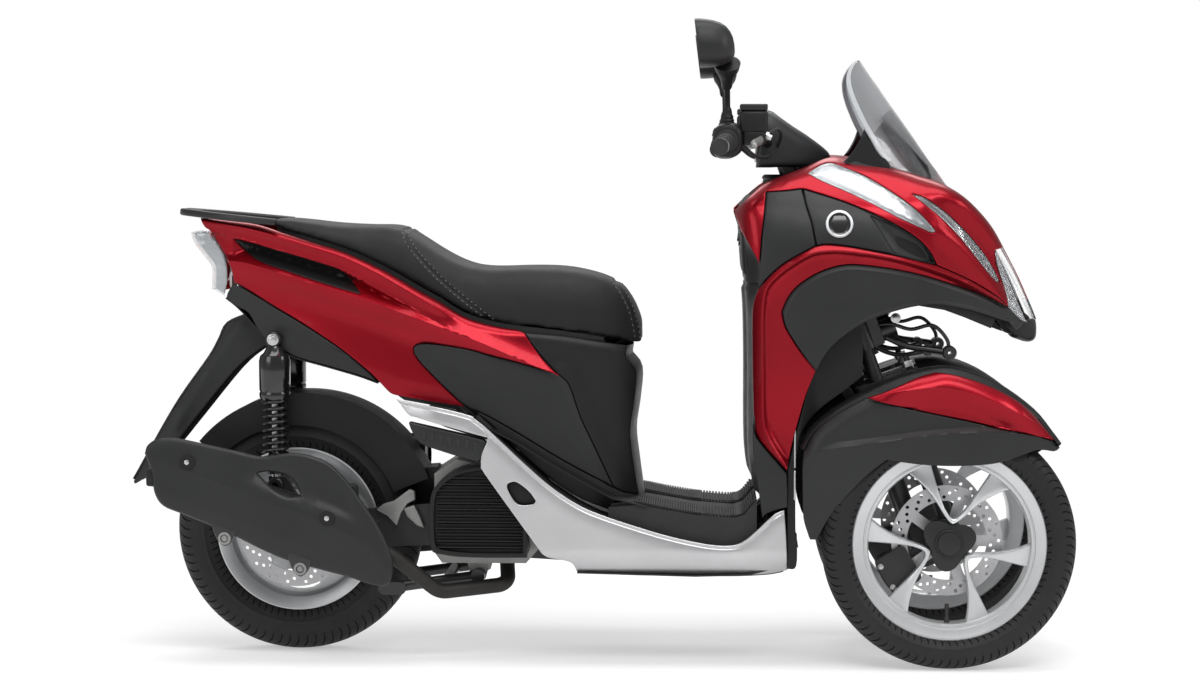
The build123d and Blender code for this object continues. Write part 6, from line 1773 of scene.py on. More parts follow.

# %% [markdown]
# A black sheet lies behind all the seams of the rear body; it closes the gaps, and its black is
# painted shade so they read as shadow gaps. The foot boards carry ribbed rubber mats.
# %% Seam shade shell and mats
# painted shade: this sheet closes the seams, and its black stands in for the shadow inside the body
rear_seam_shade_backing = panel(
    "rear_seam_shade_shell", [(-788, 868), (-700, 858), (-566, 822), (-450, 781), (-350, 726),
        (-255, 672), (-135, 644), (62, 620), (74, 560), (68, 460), (82, 352), (0, 338), (-80, 386),
        (-200, 470), (-253, 500), (-380, 522), (-450, 572), (-600, 675), (-722, 746), (-744, 800)],
    rear_skin, (), 2.0, 22.0, relief=lambda x, z, d: -31.0, spacing=14.0)
fit_out(rear_seam_shade_backing, "chassis", "black_plastic", black_plastic)
mat_line = [(36, 318.5), (86, 323.0), (140, 313.5), (200, 303.6), (240, 299.6), (278, 297.8),
            (300, 303.6), (324, 332.5)]
mats = []
for low, high in ((-1.0, -0.2), (0.2, 1.0)):
    mats.append(deck("mat", mat_line, wall=2.4, columns=7, crown=0.0, low=low, high=high,
                     skin=lambda x, z: 194.0, sink=-2.6))
walked = evenly(flat_curve(mat_line, 6), 7.0, False)
for (x, z), (nx, nz) in zip(walked[1:-1], walked[2:]):
    tilt = math.atan2(nz - z, nx - x)
    shape = [(x + a * cos(tilt) - b * sin(tilt), z + a * sin(tilt) + b * cos(tilt))
             for a, b in ((-2.3, 2.0), (2.3, 2.0), (1.5, 5.4), (-1.5, 5.4))]
    rib = plate("rib", shape, -193.0, -44.0)
    mats += [rib, copy_of(rib, "rib_left", mirror=True)]
mat = join("foot_mats", mats)
smooth(mat, 30)
fit_out(mat, "chassis", "rubber", soft_rubber)
print("inner shell and mats done")
# %% [markdown]
# ## Handlebar
# The handlebar carries a smooth cover over its middle, rubber grips with fine ribs, switch
# housings with the brake reservoirs and levers, and two mirrors on thin stems. All of it rides on
# the handlebar body, so it turns with the front wheels.
# %% A turned part on a slanting axis
def turned(name, start, direction, profile, steps=40):
    """A round part along a direction, from (distance, radius) stations in millimetres."""
    way = Vector(direction).normalized()
    side = (way.cross(Vector((0.0, 0.0, 1.0))).normalized() if abs(way.z) < 0.95
            else Vector((1.0, 0.0, 0.0)))
    other = way.cross(side)
    rings = [[Vector(start) + (way * a + (side * cos(t) + other * sin(t)) * r) * MM
              for t in turns(steps)] for a, r in profile]
    return smooth(tidy(closed_skin(name, rings)), 40)


def lofted(name, rings):
    """A smooth closed body through rings of as many points each."""
    return smooth(tidy(closed_skin(name, rings)), 42)


# %% Grips, housings, reservoirs and levers
grip_heads, grip_ends, housings, lids, levers, silver = [], [], [], [], [], []
for side_name, side in sides:
    way = Vector((-0.14, side * 1.0, -0.11)).normalized()
    root = mm(265.5, side * 246.0, 1040.0)
    profile = [(12, 12), (12, 21), (15, 22.5), (18, 21), (19, 16.8)]
    for number in range(16):
        a = 21.0 + number * 5.2
        profile += [(a, 16.8), (a + 0.7, 17.6), (a + 3.3, 17.6), (a + 4.0, 16.8)]
    profile += [(106, 16.8), (107, 18.5), (109, 18.5), (109.5, 12)]
    grip_heads.append(turned("grip", root, way, profile, 36))
    grip_ends.append(turned("grip_end", root, way,
                            [(109, 8), (109.4, 14), (111, 16.5), (117.8, 17.5), (119.2, 16),
                             (120.1, 11), (119.7, 6)], 36))
    silver.append(turned("collar", root, way,
                         [(109.2, 15), (109.8, 17.4), (110.8, 17.4), (111.3, 15)], 36))
    shell = []
    for a, w, h in ((-40, 16, 18), (-39, 24, 27), (-36, 27, 31), (-24, 28, 33), (-14, 28, 33),
                    (-13, 27, 32), (-12, 27, 32), (-11, 28, 33), (4, 28, 33), (9, 26, 31),
                    (11, 22, 26), (11.5, 16, 18)):
        middle = root + way * a * MM
        shell.append([
            middle + Vector((w * MM * math.copysign(abs(cos(t)) ** 0.7, cos(t)), 0.0,
                    h * MM * math.copysign(abs(sin(t)) ** 0.7, sin(t)))) for t in turns(40)])
    housings.append(lofted("housing", shell))
    tank_shape = smooth_outline([(289, 240), (289, 240), (289, 187), (289, 187), (344, 187),
                                 (344, 187), (344, 240), (344, 240)], 2)
    tank = plate("tank", [(x, side * y) for x, y in tank_shape], 1056, 1098, "XY")
    round_edges(tank, 6.0, 3)
    housings.append(tank)
    lid = plate("lid", [(289 + (x - 289) * 0.98 + 0.5, side * y) for x, y in tank_shape], 1098.5,
                1111, "XY")
    round_edges(lid, 3.0, 3)
    lids.append(lid)
    for x in (298, 335):
        silver.append(bolt("lid_screw", mm(x, side * 213, 1109.0), (0, 0, 1), 3.4, 1.2, 4.4))
    silver.append(turned("banjo", mm(338, side * 210, 1050), (1, 0, -0.4),
                         [(0, 4), (0, 9), (7, 9), (7, 6), (14, 6), (14, 3)], 20))
    block = plate("block", [(x, side * y) for x, y in ((294, 201), (340, 201), (340, 237),
                                                       (294, 237))], 1031, 1060, "XY")
    round_edges(block, 6.0, 3)
    housings.append(block)
    lever = []
    for a, ahead, wide, tall in ((
            -26, -6, 7, 7), (-14, 0, 8, 8), (0, 3, 6.4, 8.4), (20, 4, 5.6, 8.6), (50, 2, 5, 8.4),
            (80, -1, 4.8, 8), (100, -1, 4.8, 7.4), (110, 1, 5.6, 6.4), (116, 3, 6.6, 6.6),
            (121, 4, 6.2, 6.2), (124, 4, 3.4, 3.4)):
        middle = mm(327.5 + ahead, side * 225.0, 1042.0) + way * a * MM
        lever.append([middle + Vector((wide * cos(t), 0.0, tall * sin(t))) * MM
                      for t in turns(20)])
    levers.append(lofted("lever", lever))
    silver.append(bolt("pivot", mm(322, side * 211, 1060), (0, 0, 1), 5, 3, 7))
    for dz, way_up in ((16, 0.4), (-2, 0.15)):
        housings.append(turned("switch", root + way * -24 * MM + Vector((-27, 0, dz)) * MM,
                               (-1, 0, way_up), [(-4, 6), (0, 6), (3.5, 5.4), (4.5, 3)], 20))
for name, pieces, slot, finish_made, stands in ((
        "hand_grip_rubbers", grip_heads, "rubber", soft_rubber, ("hand_grips",)),
        ("bar_end_weights", grip_ends, "dark_paint", dark_paint, ()),
        ("control_housings", housings, "black_plastic", black_plastic, ("hand_controls",)),
        ("reservoir_lids", lids, "black_plastic", charcoal, ()),
        ("brake_levers", levers, "bare_metal", cast_alloy, ()),
        ("control_fittings", silver, "bare_metal", bright_steel, ())):
    piece = join(name, pieces)
    smooth(piece, 38)
    fit_out(piece, "handlebar", slot, finish_made, *stands)
cables = []
for side_name, side in sides:
    for line in ([(338, 206, 1048), (362, 180, 1062), (372, 130, 1052), (366, 96, 1030)],
                 [(290, 204, 1036), (318, 176, 1012), (340, 140, 1008), (350, 96, 1012)]):
        cables.append(rod("cable", curve_points([mm(x, side * y, z) for x, y, z in line], 7), 3.6,
                          10))
cable_set = join("bar_cables", cables)
smooth(cable_set, 50)
fit_out(cable_set, "handlebar", "rubber", soft_rubber)
print("controls done")

# %% Mirrors
face_line = smooth_outline([(260, 1200), (262, 1240), (284, 1267), (330, 1270.8), (355, 1255),
                            (365.4, 1218), (354, 1192), (322, 1179), (282, 1182)], 4)
mid_y, mid_z = 312.0, 1226.0
pane_share, head_lean = 0.925, 0.12
heads, glasses, stems = [], [], []
for side_name, side in sides:
    rings = []
    for share, x in ((0.93, 204.5), (0.955, 201.5), (0.985, 200.8), (1.0, 203), (1.0, 210),
                     (0.985, 222), (0.95, 236), (0.88, 250), (0.77, 261), (0.62, 269),
                     (0.44, 274.5), (0.22, 277.5), (0.04, 278.3)):
        drop = -18.0 * (1.0 - share)
        rings.append([mm(x + head_lean * (1271.0 - z)
                         * (1.0 - (x - 201.0) / 60.0 if x < 261 else 0.0),
                         side * (mid_y + (y - mid_y) * share), mid_z + drop + (z - mid_z) * share)
                      for y, z in face_line])
    heads.append(lofted("head", rings))
    pane = [(side * (mid_y + (y - mid_y) * pane_share), mid_z + (z - mid_z) * pane_share)
            for y, z in face_line]
    glass = plate("glass", pane, 202.6, 204.6, "YZ")
    for vertex in glass.data.vertices:
        vertex.co.x += head_lean * (1.271 - vertex.co.z)
    round_edges(glass, 0.6, 2)
    glasses.append(glass)
    path = [mm(264.5, side * 222, 1068), mm(264.5, side * 224, 1092), mm(264.5, side * 231, 1116),
            mm(264.0, side * 250, 1138), mm(263.5, side * 272, 1157), mm(263, side * 290, 1176)]
    stems.append(rod("stem", curve_points(path, 5), 6.0, 20))
    stems.append(turned("boot", mm(264.5, side * 222, 1064), (0, side * 0.1, 1),
                        [(0, 8), (0, 15), (4, 16), (8, 14.5), (10, 15.5), (13, 13.4), (16, 14.2),
                         (19, 12), (23, 12.6), (27, 10), (34, 9.2), (40, 7.6), (42, 5)], 32))
    stems.append(turned("neck", mm(263.6, side * 266, 1151), (0, side * 0.62, 0.78), [
        (-12, 5), (-12, 9), (-8, 10.5), (6, 12), (20, 17), (32, 23), (46, 26), (50, 12)], 32))
for name, pieces, slot, finish_made, stands in (
        ("mirror_heads", heads, "black_plastic", charcoal, ("mirrors",)),
        ("mirror_stems", stems, "black_plastic", black_plastic, ()),
        ("mirror_panes", glasses, "mirror_glass", mirror_glass, ("mirror_glasses",))):
    piece = join(name, pieces)
    smooth(piece, 42)
    fit_out(piece, "handlebar", slot, finish_made, *stands)

# %% Handlebar cover and dash
cover_rings = []
for x, lean, top, low, half in ((
        334, 10, 1092, 990, 70), (332, 10, 1096, 988, 84), (335, 9, 1101, 988, 90),
        (342, 7, 1104, 988, 91.5), (356, 4, 1100, 988, 91), (376, 2, 1086, 989, 88),
        (400, 0, 1070, 989, 80), (424, 0, 1055, 990, 68), (444, 0, 1041, 991, 52),
        (460, 0, 1029, 993, 36), (470, 0, 1020, 996, 22), (475.5, 0, 1012, 1000, 8)):
    tall = top - low
    right = [(0, low), (0.6 * half, low), (0.93 * half, low + 2), (half, low + 0.12 * tall),
             (half, low + 0.45 * tall), (0.985 * half, low + 0.68 * tall),
             (0.9 * half, low + 0.86 * tall), (0.7 * half, low + 0.96 * tall), (0.4 * half, top)]
    ring = right + [(0, top + 0.5)] + [(-y, z) for y, z in right[:0:-1]]
    cover_rings.append([mm(x + lean * (z - 1045) / 50.0 * 0.5, y, z) for y, z in ring])
bar_cover = lofted("handlebar_cover_shell",
                   [curve_points(ring, 3, closed=True) for ring in cover_rings])
fit_out(bar_cover, "handlebar", "charcoal", charcoal, "handlebar_cover")
dash = plate(
    "instrument_glass", smooth_outline([(-74, 1006), (-74, 1006), (-80, 1040), (-66, 1080),
            (-66, 1080), (0, 1088), (66, 1080), (66, 1080), (80, 1040), (74, 1006), (74, 1006),
            (0, 998)], 4), -1.5, 1.5, "YZ")
for vertex in dash.data.vertices:
    vertex.co.x += (333.0 - 4.2 + 10 * (vertex.co.z / MM - 1045) / 100.0) * MM
round_edges(dash, 0.8, 2)
smooth(dash, 40)
fit_out(dash, "handlebar", "black_plastic", gloss_black)
collar = []
for z, lean, a, b in ((934, 0, 50, 66), (946, 1, 51, 68), (955, 2, 48, 64), (959, 3, 51, 67),
                      (963, 4, 48, 64), (967, 5, 50, 66), (971, 6, 47, 63), (974, 7, 43, 58)):
    collar.append([mm(392 - lean + a * cos(t), b * sin(t), z) for t in turns(48)])
gaiter = lofted("column_gaiter", collar)
fit_out(gaiter, "chassis", "rubber", black_plastic)
print("mirrors and cover done")
# %% [markdown]
# ## Windscreen
# The real screen is one sheet of smoked plastic, bent round from side to side, with a straight
# front line and a pointed top. A box could never be bent into it cleanly, so the sheet is laid row
# by row: each level has a place for its middle, a place for its edge and a half width, and is bent
# between.
# %% The screen sheet and its pale edge
screen_levels = [(942, 720, 706, 30), (954, 709, 668, 70), (968, 699, 632, 100),
                 (984, 688, 602, 117), (1000, 676, 582, 125), (1020, 662, 565, 129),
                 (1045, 645, 551, 130), (1072, 626, 535, 127), (1100, 606, 522, 120),
                 (1128, 586, 511, 109), (1150, 571, 506, 95), (1168, 558, 506, 78),
                 (1184, 547, 512, 56), (1196, 539, 521, 33), (1204, 534, 529, 10)]
screen_middle = line_through([(z, middle) for z, middle, edge, half in screen_levels])
screen_edge_x = line_through([(z, edge) for z, middle, edge, half in screen_levels])
screen_half = line_through([(z, half) for z, middle, edge, half in screen_levels])


def bent_sheet(name, low, high, from_share, to_share, wall, lift=0.0, rows=44, columns=25):
    """A part of the bent screen between two levels and two shares of its half width."""
    levels = []
    for z in [low + (high - low) * r / (rows - 1) for r in range(rows)]:
        level = []
        for c in range(columns):
            share = from_share + (to_share - from_share) * c / (columns - 1)
            x = screen_middle(z) + (screen_edge_x(z) - screen_middle(z)) * share * share
            level.append(mm(x + lift * 0.8, screen_half(z) * share + lift * share, z + lift * 0.45))
        levels.append(level)
    return sheet(name, levels, FORWARDS, wall)


screen_sheet = bent_sheet("screen_sheet", 942, 1204, -1.0, 1.0, 3.0, columns=33)
fit_out(screen_sheet, "chassis", "smoke_screen", smoke_screen, "windscreen")
pale_edges = []
for side_name, side in sides:
    edge_line = [mm(screen_edge_x(z) - 0.8, side * (screen_half(z) + 0.6), z - 0.4)
                 for z in [990 + 213 * k / 36 for k in range(37)]]
    pale_edges.append(rod("screen_bead", edge_line, 2.1, 10))
    band = bent_sheet("screen_flange", 1000, 1200, side * 0.95, side * 1.0, 1.2, lift=1.0, rows=40,
                      columns=5)
    pale_edges.append(band)
screen_rim = join("screen_pale_rim", pale_edges)
smooth(screen_rim, 45)
fit_out(screen_rim, "chassis", "smoke_screen", screen_rim_plastic)
print("screen", len(screen_sheet.data.polygons), "faces")

# %% [markdown]
# Behind the sheet stands a dark bracket with slots, and two glossy gussets carry the screen's lower
# corners down on to the cowl.
# %% Screen bracket and gussets
bracket = plate(
    "screen_bracket_plate", [(566, 1082), (572, 1087), (580, 1085), (668, 992), (676, 966),
        (650, 962), (634, 980), (600, 1030)], -64.0, 64.0)
round_edges(bracket, 3.0, 3)
for k in range(4):
    u = 0.2 + 0.19 * k
    x, z = 575 + 86 * u, 1088 - 100 * u
    slot_cutter = plate("slot_cutter", [(x - 4, z + 1), (x + 14, z + 17), (x + 20, z + 11),
                                        (x + 2, z - 5)], -46.0, 46.0)
    cut(bracket, slot_cutter)
smooth(bracket, 35)
fit_out(bracket, "chassis", "black_plastic", gloss_black, "screen_bracket")
gusset_outline = smooth_outline([
    (537, 1068), (537, 1068), (528, 1044), (514, 1020), (494, 998), (494, 998), (530, 984),
    (596, 968), (596, 968), (590, 992), (568, 1018), (552, 1042)], 4)
gussets = panel("screen_gussets", gusset_outline,
                lambda x, z: 133.0 - 0.09 * max(0.0, z - 1000) + 0.12 * max(0.0, 1000 - z), (), 3.0,
                6.0, bands=(3.5,), rim=1.4, relief=lambda x, z, d: -2.5 + 2.5 * ease(0.0, 14.0, d))
fit_out(gussets, "chassis", "black_plastic", gloss_black)
print("bracket and gussets done")

# %% [markdown]
# ## Cockpit
# From the saddle you see the inside of the leg shield: a broad wall with a raised middle, two lids,
# the ignition lock and the boss of a folded bag hook, and a sunk deck round the steering column.
# The wall faces backwards, so its outlines are drawn from behind and its depth is a function of
# width and height.
# %% The wall's form
wall_edge = line_through([(296, 336), (380, 324), (440, 316), (500, 317), (600, 315), (690, 314),
                          (725, 317), (749, 325), (800, 327), (850, 302), (880, 289), (900, 285),
                          (915, 292), (935, 313)])
wall_middle = line_through([(333, 326), (380, 314), (440, 308), (600, 307), (700, 305), (760, 301),
                            (800, 298), (860, 294), (900, 292), (920, 297), (935, 311)])


def wall_half(z):
    """Half width of the cockpit wall at a height."""
    return front_skin(wall_edge(z) + 3.0, z) - 5.0


def wall_depth(y, z):
    """How far forward the wall's face lies."""
    share = 1.0 - min(1.0, abs(y) / wall_half(z))
    return wall_edge(z) + 2.5 + (wall_middle(z) - wall_edge(z) - 2.5) * ease(0.0, 0.3, share)


def facing_panel(name, outline, relief=None, wall=2.4, pitch=10.0, bands=(), rim=1.0, gap=0.7):
    """A moulded panel that faces backwards, laid on the cockpit wall."""
    flat, faces, reach = net(outline, (), pitch, gap, rim, bands, 6.0)
    places = []
    for p, distance in zip(flat, reach):
        sink = rim_depth(distance, rim) - (relief(p[0], p[1], distance) if relief else 0.0)
        places.append(mm(wall_depth(*p) + sink, p[0], p[1]))
    return thin_wall(mesh_piece(name, places, faces), -FORWARDS, wall, 38)


def wall_outline(low, high):
    """The outline of a part of the wall between two heights."""
    count = max(2, round((high - low) / 12.0))
    right = [(wall_half(low + (high - low) * k / count), low + (high - low) * k / count)
             for k in range(count + 1)]
    return right + [(-y, z) for y, z in right[::-1]]


print("cockpit wall half widths", [round(wall_half(z)) for z in (400, 600, 760, 850, 930)])

# %% The wall, its lids and the lock
def leg_relief(y, z, distance):
    """A raised middle, and a top edge that tucks in under the upper wall."""
    middle = 6.0 * (1.0 - ease(74.0, 92.0, abs(y) + 0.12 * abs(z - 560))) * ease(360, 392, z)
    return middle * (1.0 - ease(742, 754, z)) - 5.0 * ease(752, 758, z)


leg_wall = facing_panel("inner_leg_wall", wall_outline(345, 770), leg_relief, bands=(4.0, 8.0))
fit_out(leg_wall, "chassis", "black_plastic", black_plastic, "inner_panel")
key_wall = facing_panel("key_wall", wall_outline(760, 934), None, bands=(4.0, 8.0), pitch=9.0)
fit_out(key_wall, "chassis", "charcoal", charcoal, "key_panel")
lids = []
for outline in ([
        (30, 776), (30, 776), (176, 776), (176, 776), (168, 840), (142, 892), (142, 892),
        (30, 900)], [(-96, 776), (-96, 776), (-96, 862), (-96, 862), (-158, 862), (-170, 836),
        (-177, 776), (-177, 776)]):
    shape = smooth_outline(outline, 3)
    lids.append(facing_panel("lid", shape, lambda y, z, d: 2.6 + 1.0 * ease(2.0, 12.0, d),
                             pitch=9.0, rim=1.5, bands=(5.0, 9.0), gap=0.0, wall=4.0))
lid_pieces = join("cockpit_lids", lids)
smooth(lid_pieces, 38)
fit_out(lid_pieces, "chassis", "black_plastic", black_plastic)
lock_place = mm(wall_depth(-48, 850) + 3.0, -48, 850)
lock = turned("ignition_lock", lock_place, (-1, 0, 0.12),
              [(0, 22), (5, 22), (6.5, 20.5), (6.5, 17), (5, 15.5), (5, 12.5), (9, 12), (10, 11),
               (10, 3.5), (8, 3)], 40)
hook = turned("bag_hook_boss", mm(wall_depth(0, 736) + 2.0, 0, 736), (-1, 0, 0),
              [(0, 15), (4, 15), (5.5, 13), (5.5, 5)], 32)
locks = join("lock_and_hook", [lock, hook])
smooth(locks, 40)
fit_out(locks, "chassis", "black_plastic", gloss_black)
print("cockpit wall done")

# %% The sunk deck round the steering column
deck_edge = curve_points([(292, 914, 0), (312, 932, 0), (334, 950, 0), (372, 968, 0), (412, 983, 0),
                          (446, 998, 0), (476, 1005, 0)], 4)
deck_middle = curve_points([(293, 914, 0), (318, 931, 0), (346, 942, 0), (380, 950, 0),
                            (420, 958, 0), (452, 974, 0), (478, 996, 0)], 4)
deck_rows = []
for edge, middle in zip(deck_edge, deck_middle):
    half = front_skin(edge.x, edge.y) - 3.0
    deck_rows.append([])
    for share in shares(33):
        place = edge + (middle - edge) * ease(0.0, 0.42, 1.0 - abs(share))
        deck_rows[-1].append(mm(place.x, half * share, place.y - 0.8))
column_deck = sheet("column_deck", deck_rows, UP)
fit_out(column_deck, "chassis", "charcoal", charcoal)
print("cockpit deck done")

# %% [markdown]
# ## Suspension, exhaust and lower parts
# Each rear shock has a chromed rod inside a close black spring, with a smooth cover over its upper
# half and a rubber-bushed eye at each end. The muffler hides behind a long moulded guard with a
# soft fold along it, an almond opening and two bolts in dished seats.
# %% Rear shocks
coil_rise, coils = 0.0138, 8
for side_name, side in sides:
    centre = mm(-642.5, side * 110.0, 0.0)
    cover = lathe(side_name + "_shock_cover",
                  [(520, 20), (522, 29), (526, 31), (534, 31.5), (538, 30), (542, 31.5),
                   (600, 31.5), (610, 29), (616, 22), (630, 15), (630, 9), (520, 9)], centre, 64,
                  "Z")
    seat_cup = lathe(side_name + "_shock_cup",
                     [(372, 8), (372, 16), (396, 16), (399, 27), (406, 27), (407, 15), (414, 13),
                      (414, 8)], centre, 56, "Z")
    inner = lathe(side_name + "_shock_rod", [(366, 1), (366, 7), (560, 7), (560, 1)], centre, 40,
                  "Z")
    spring = ring_of([mm(24 + 4.2 * cos(t), 0, 4.2 * sin(t)) for t in turns(10)],
                     side_name + "_shock_spring", fill=True)
    apply_modifier(spring, "SCREW", axis="Z", screw_offset=coil_rise, iterations=coils, steps=22,
                   render_steps=22, use_merge_vertices=False)
    spring.data.transform(Matrix.Translation(mm(-642.5, side * 110.0, 411.0)))
    spring = tidy(spring, 0.00001)
    eyes = []
    for x, z in ((-641.5, 349.4), (-643.5, 643.4)):
        eyes.append(lathe("eye", [(-14, 6), (-14, 13), (-12, 15), (12, 15), (14, 13), (14, 6)],
                          mm(x, side * 110.0, z), 40))
    for piece in (cover, seat_cup, inner, spring, *eyes):
        smooth(piece, 35)
    mount = join(side_name + "_shock_eyes", eyes)
    fit_out(cover, "chassis", "black_plastic", gloss_black, *(("rear_shocks",) if side < 0 else ()))
    fit_out(spring, "chassis", "frame_paint", frame_paint)
    fit_out(seat_cup, "chassis", "frame_paint", frame_paint)
    fit_out(inner, "chassis", "bare_metal", bright_steel)
    fit_out(mount, "chassis", "frame_paint", frame_paint)
    head_bolt = bolt(side_name + "_shock_bolt", mm(-643.5, side * 126, 643.4), (0, side, 0), 8, 6,
                     12)
    fit_out(head_bolt, "chassis", "bare_metal", bright_steel)

# %% Muffler guard
guard_shape = smooth_outline([
    (-884, 424), (-884, 424), (-878, 440), (-858, 452), (-820, 453), (-760, 441), (-700, 428),
    (-652, 417), (-600, 424), (-560, 420), (-522, 405), (-490, 376), (-458, 334), (-428, 292),
    (-404, 246), (-393, 210), (-396, 176), (-412, 162), (-440, 166), (-480, 178), (-545, 194),
    (-604, 210), (-652, 230), (-700, 254), (-760, 281), (-812, 302), (-850, 318), (-866, 344),
    (-870, 384)], 4)
almond = smooth_outline([(-662, 384), (-662, 384), (-640, 387), (-608, 381), (-588, 366),
                         (-576, 340), (-576, 340), (-600, 338), (-624, 349), (-642, 364)], 3)
guard_fold = run([(-880, 422), (-830, 402), (-770, 379), (-700, 353), (-640, 330), (-570, 304),
                  (-500, 276), (-440, 240), (-402, 196)])
wheel_arc = run([(-652, 413), (-600, 414), (-560, 408), (-528, 392), (-498, 366), (-470, 330)])


def guard_cover(x, z):
    """The guard leans in above and below its fold, with a hollow over the wheel."""
    fold = to_line((x, z), guard_fold)
    lean = (0.16 * soft_min(fold, 56.0, 20.0) if fold > 0 else 0.05 * min(-fold, 60.0)
            + 0.3 * max(-fold - 60.0, 0.0))
    hollow = 6.0 * ease(-700, -660, x) * ease(-440, -500, x) * ease(20.0, 40.0, fold)
    return 231.6 - lean - hollow


guard = panel("muffler_guard_cover", guard_shape, guard_cover, (almond,), 3.0, 8.0, rim=3.4,
              gap=0.0, bands=(20.0, 26.0), both=False, lines=(guard_fold, wheel_arc))
fit_out(guard, "chassis", "charcoal", charcoal, "muffler_guard")
guard_bits = []
for number, (x, z) in enumerate(((-799, 407), (-522, 297))):
    y = -guard_cover(x, z)
    guard_bits.append(lathe("guard_washer",
                            [(-3, 4), (-3, 15), (0.5, 15), (0.5, 12), (-1.0, 10), (-1.0, 4)],
                            mm(x, y - 1, z), 40))
    screw = bolt("muffler_guard_bolt_" + str(number), mm(x, y - 1.5, z), (0, -1, 0), 5.5, 4.0, 8.5)
    fit_out(screw, "chassis", "bare_metal", bright_steel)
seats = join("muffler_guard_washers", guard_bits)
fit_out(seats, "chassis", "black_plastic", black_plastic)
lugs, rings = [], []
for x, z, up in ((-727, 255, 30), (-577, 195, 34)):
    lug = plate("muffler_lug", smooth_outline([(x - 22, z + up), (x - 17, z), (x, z - 16),
                                               (x + 17, z), (x + 22, z + up)]), -222, -206)
    round_edges(lug, 3.0, 3)
    lugs.append(lug)
    rings.append(lathe("lug_ring", [(-3, 8), (-3, 12.5), (0, 13), (0.8, 11), (0, 8)],
                       mm(x, -223, z), 40))
    rings.append(bolt("lug_bolt", mm(x, -222, z), (0, -1, 0), 6.0, 3.0, 7.5))
lug_set = join("muffler_lugs", lugs)
smooth(lug_set, 35)
fit_out(lug_set, "chassis", "frame_paint", frame_paint)
ring_set = join("muffler_lug_rings", rings)
smooth(ring_set, 35)
fit_out(ring_set, "chassis", "bare_metal", cast_alloy)
end_cap = rounded_plate(
    "muffler_end_cap", smooth_outline([(-884, 392), (-884, 392), (-868, 393), (-868, 393),
            (-862, 356), (-862, 356), (-883, 358), (-883, 358)], 2), -222, -196, 4.0)
fit_out(end_cap, "chassis", "exhaust_steel", heat_black)
print("guard and shocks done")

# %% [markdown]
# The engine's right side carries a louvred cover over the cooling fan, with a moulded rim and rows
# of slanted blades. Passenger foot rests fold in under the silver blade. Behind the leg shield a
# black liner closes the wheel arch, and hoses and links cross above the fender.
# %% Fan cover, foot rests and liner
fan_shape = smooth_outline([(-322, 236), (-322, 330), (-304, 364), (-268, 388), (-210, 398),
                            (-129, 398), (-129, 398), (-129, 214), (-129, 214), (-240, 214),
                            (-300, 220)], 3)
fan_case = rounded_plate("fan_cover_case", fan_shape, -176, -98, 7.0)
fit_out(fan_case, "chassis", "black_plastic", black_plastic, "radiator_cover")
fan_rim_out = inward(evenly(fan_shape, 6.0), 6.0)
blades = []
for row in range(12):
    z = 232.0 + row * 12.6
    left, right = -311.0, -140.0
    while not inside((left, z), fan_rim_out):
        left += 4.0
    blades.append(plate("blade", [(-176, z - 3.2), (-185, z + 1.2), (-185, z + 3.6),
                                  (-176, z + 3.6)], left + 2, right, plane="YZ"))
louvre = join("fan_cover_blades", blades)
round_edges(louvre, 0.8, 2)
smooth(louvre, 35)
fit_out(louvre, "chassis", "black_plastic", black_plastic)
fan_rim = plate("fan_cover_rim", fan_shape, -186, -174)
rim_mid, open_share = (-225.5, 306.0), (0.907, 0.902)
hole_shape = [tuple(m + (v - m) * share for v, m, share in zip(p, rim_mid, open_share))
              for p in fan_shape]
cut(fan_rim, plate("hole", hole_shape, -190, -170))
round_edges(fan_rim, 1.6, 2)
smooth(fan_rim, 35)
fit_out(fan_rim, "chassis", "black_plastic", black_plastic)
rest_shape = smooth_outline([(-362, 487), (-362, 487), (-300, 473), (-214, 452), (-209, 436),
                             (-220, 411), (-244, 413), (-300, 430), (-338, 444), (-354, 466)], 3)
rest = rounded_plate("right_foot_rest", rest_shape, -217, -188, 6.0)
rests = join("passenger_foot_rests", [rest, copy_of(rest, "left_foot_rest", mirror=True)])
fit_out(rests, "chassis", "black_plastic", charcoal, "passenger_footrests")
pads = []
for number in range(7):
    x = -336.0 + number * 17.0
    z = 487.0 - (x + 362.0) * 0.236
    pads.append(plate("pad", [(x, z - 9), (x + 9, z - 11), (x + 9, z - 31), (x, z - 27)], -218.6,
                      -214.0))
ribs = join("foot_rest_ribs", pads)
round_edges(ribs, 1.0, 2)
ribs = join("foot_rest_ribs", [ribs, copy_of(ribs, "left_ribs", mirror=True)])
smooth(ribs, 35)
fit_out(ribs, "chassis", "rubber", soft_rubber)
for name, low, high, outline in ((
        "engine_hanger", -106, -94, [(-440, 299), (-424, 311), (-404, 317), (-372, 341),
            (-361, 337), (-360, 319), (-376, 311), (-389, 292), (-398, 266), (-416, 286)]),
        ("engine_link", -110, -97, [(-384, 302), (-362, 309), (-350, 286), (-341, 262), (-356, 267),
            (-377, 286)])):
    hanger = rounded_plate(name, outline, low, high, 2.5)
    fit_out(hanger, "chassis", "bare_metal", cast_alloy)
liner_curve = [(404, 202), (405, 262), (402, 276), (402, 400), (407, 440), (418, 474), (452, 514),
               (504, 552), (534, 576)]
liner_outline = (run([(384, 196)] + liner_curve) + run([(534, 576), (534, 640), (528, 700)])[1:]
                 + run([(528, 700), (470, 660), (440, 600), (404, 480), (384, 392)])[1:])
liner_side = panel("arch_liner_sides", liner_outline, lambda x, z: 203.0 - 24.0 * ease(404, 450, x),
                   (), 2.4, 9.0, bands=(4.0,))
liner_rows = []
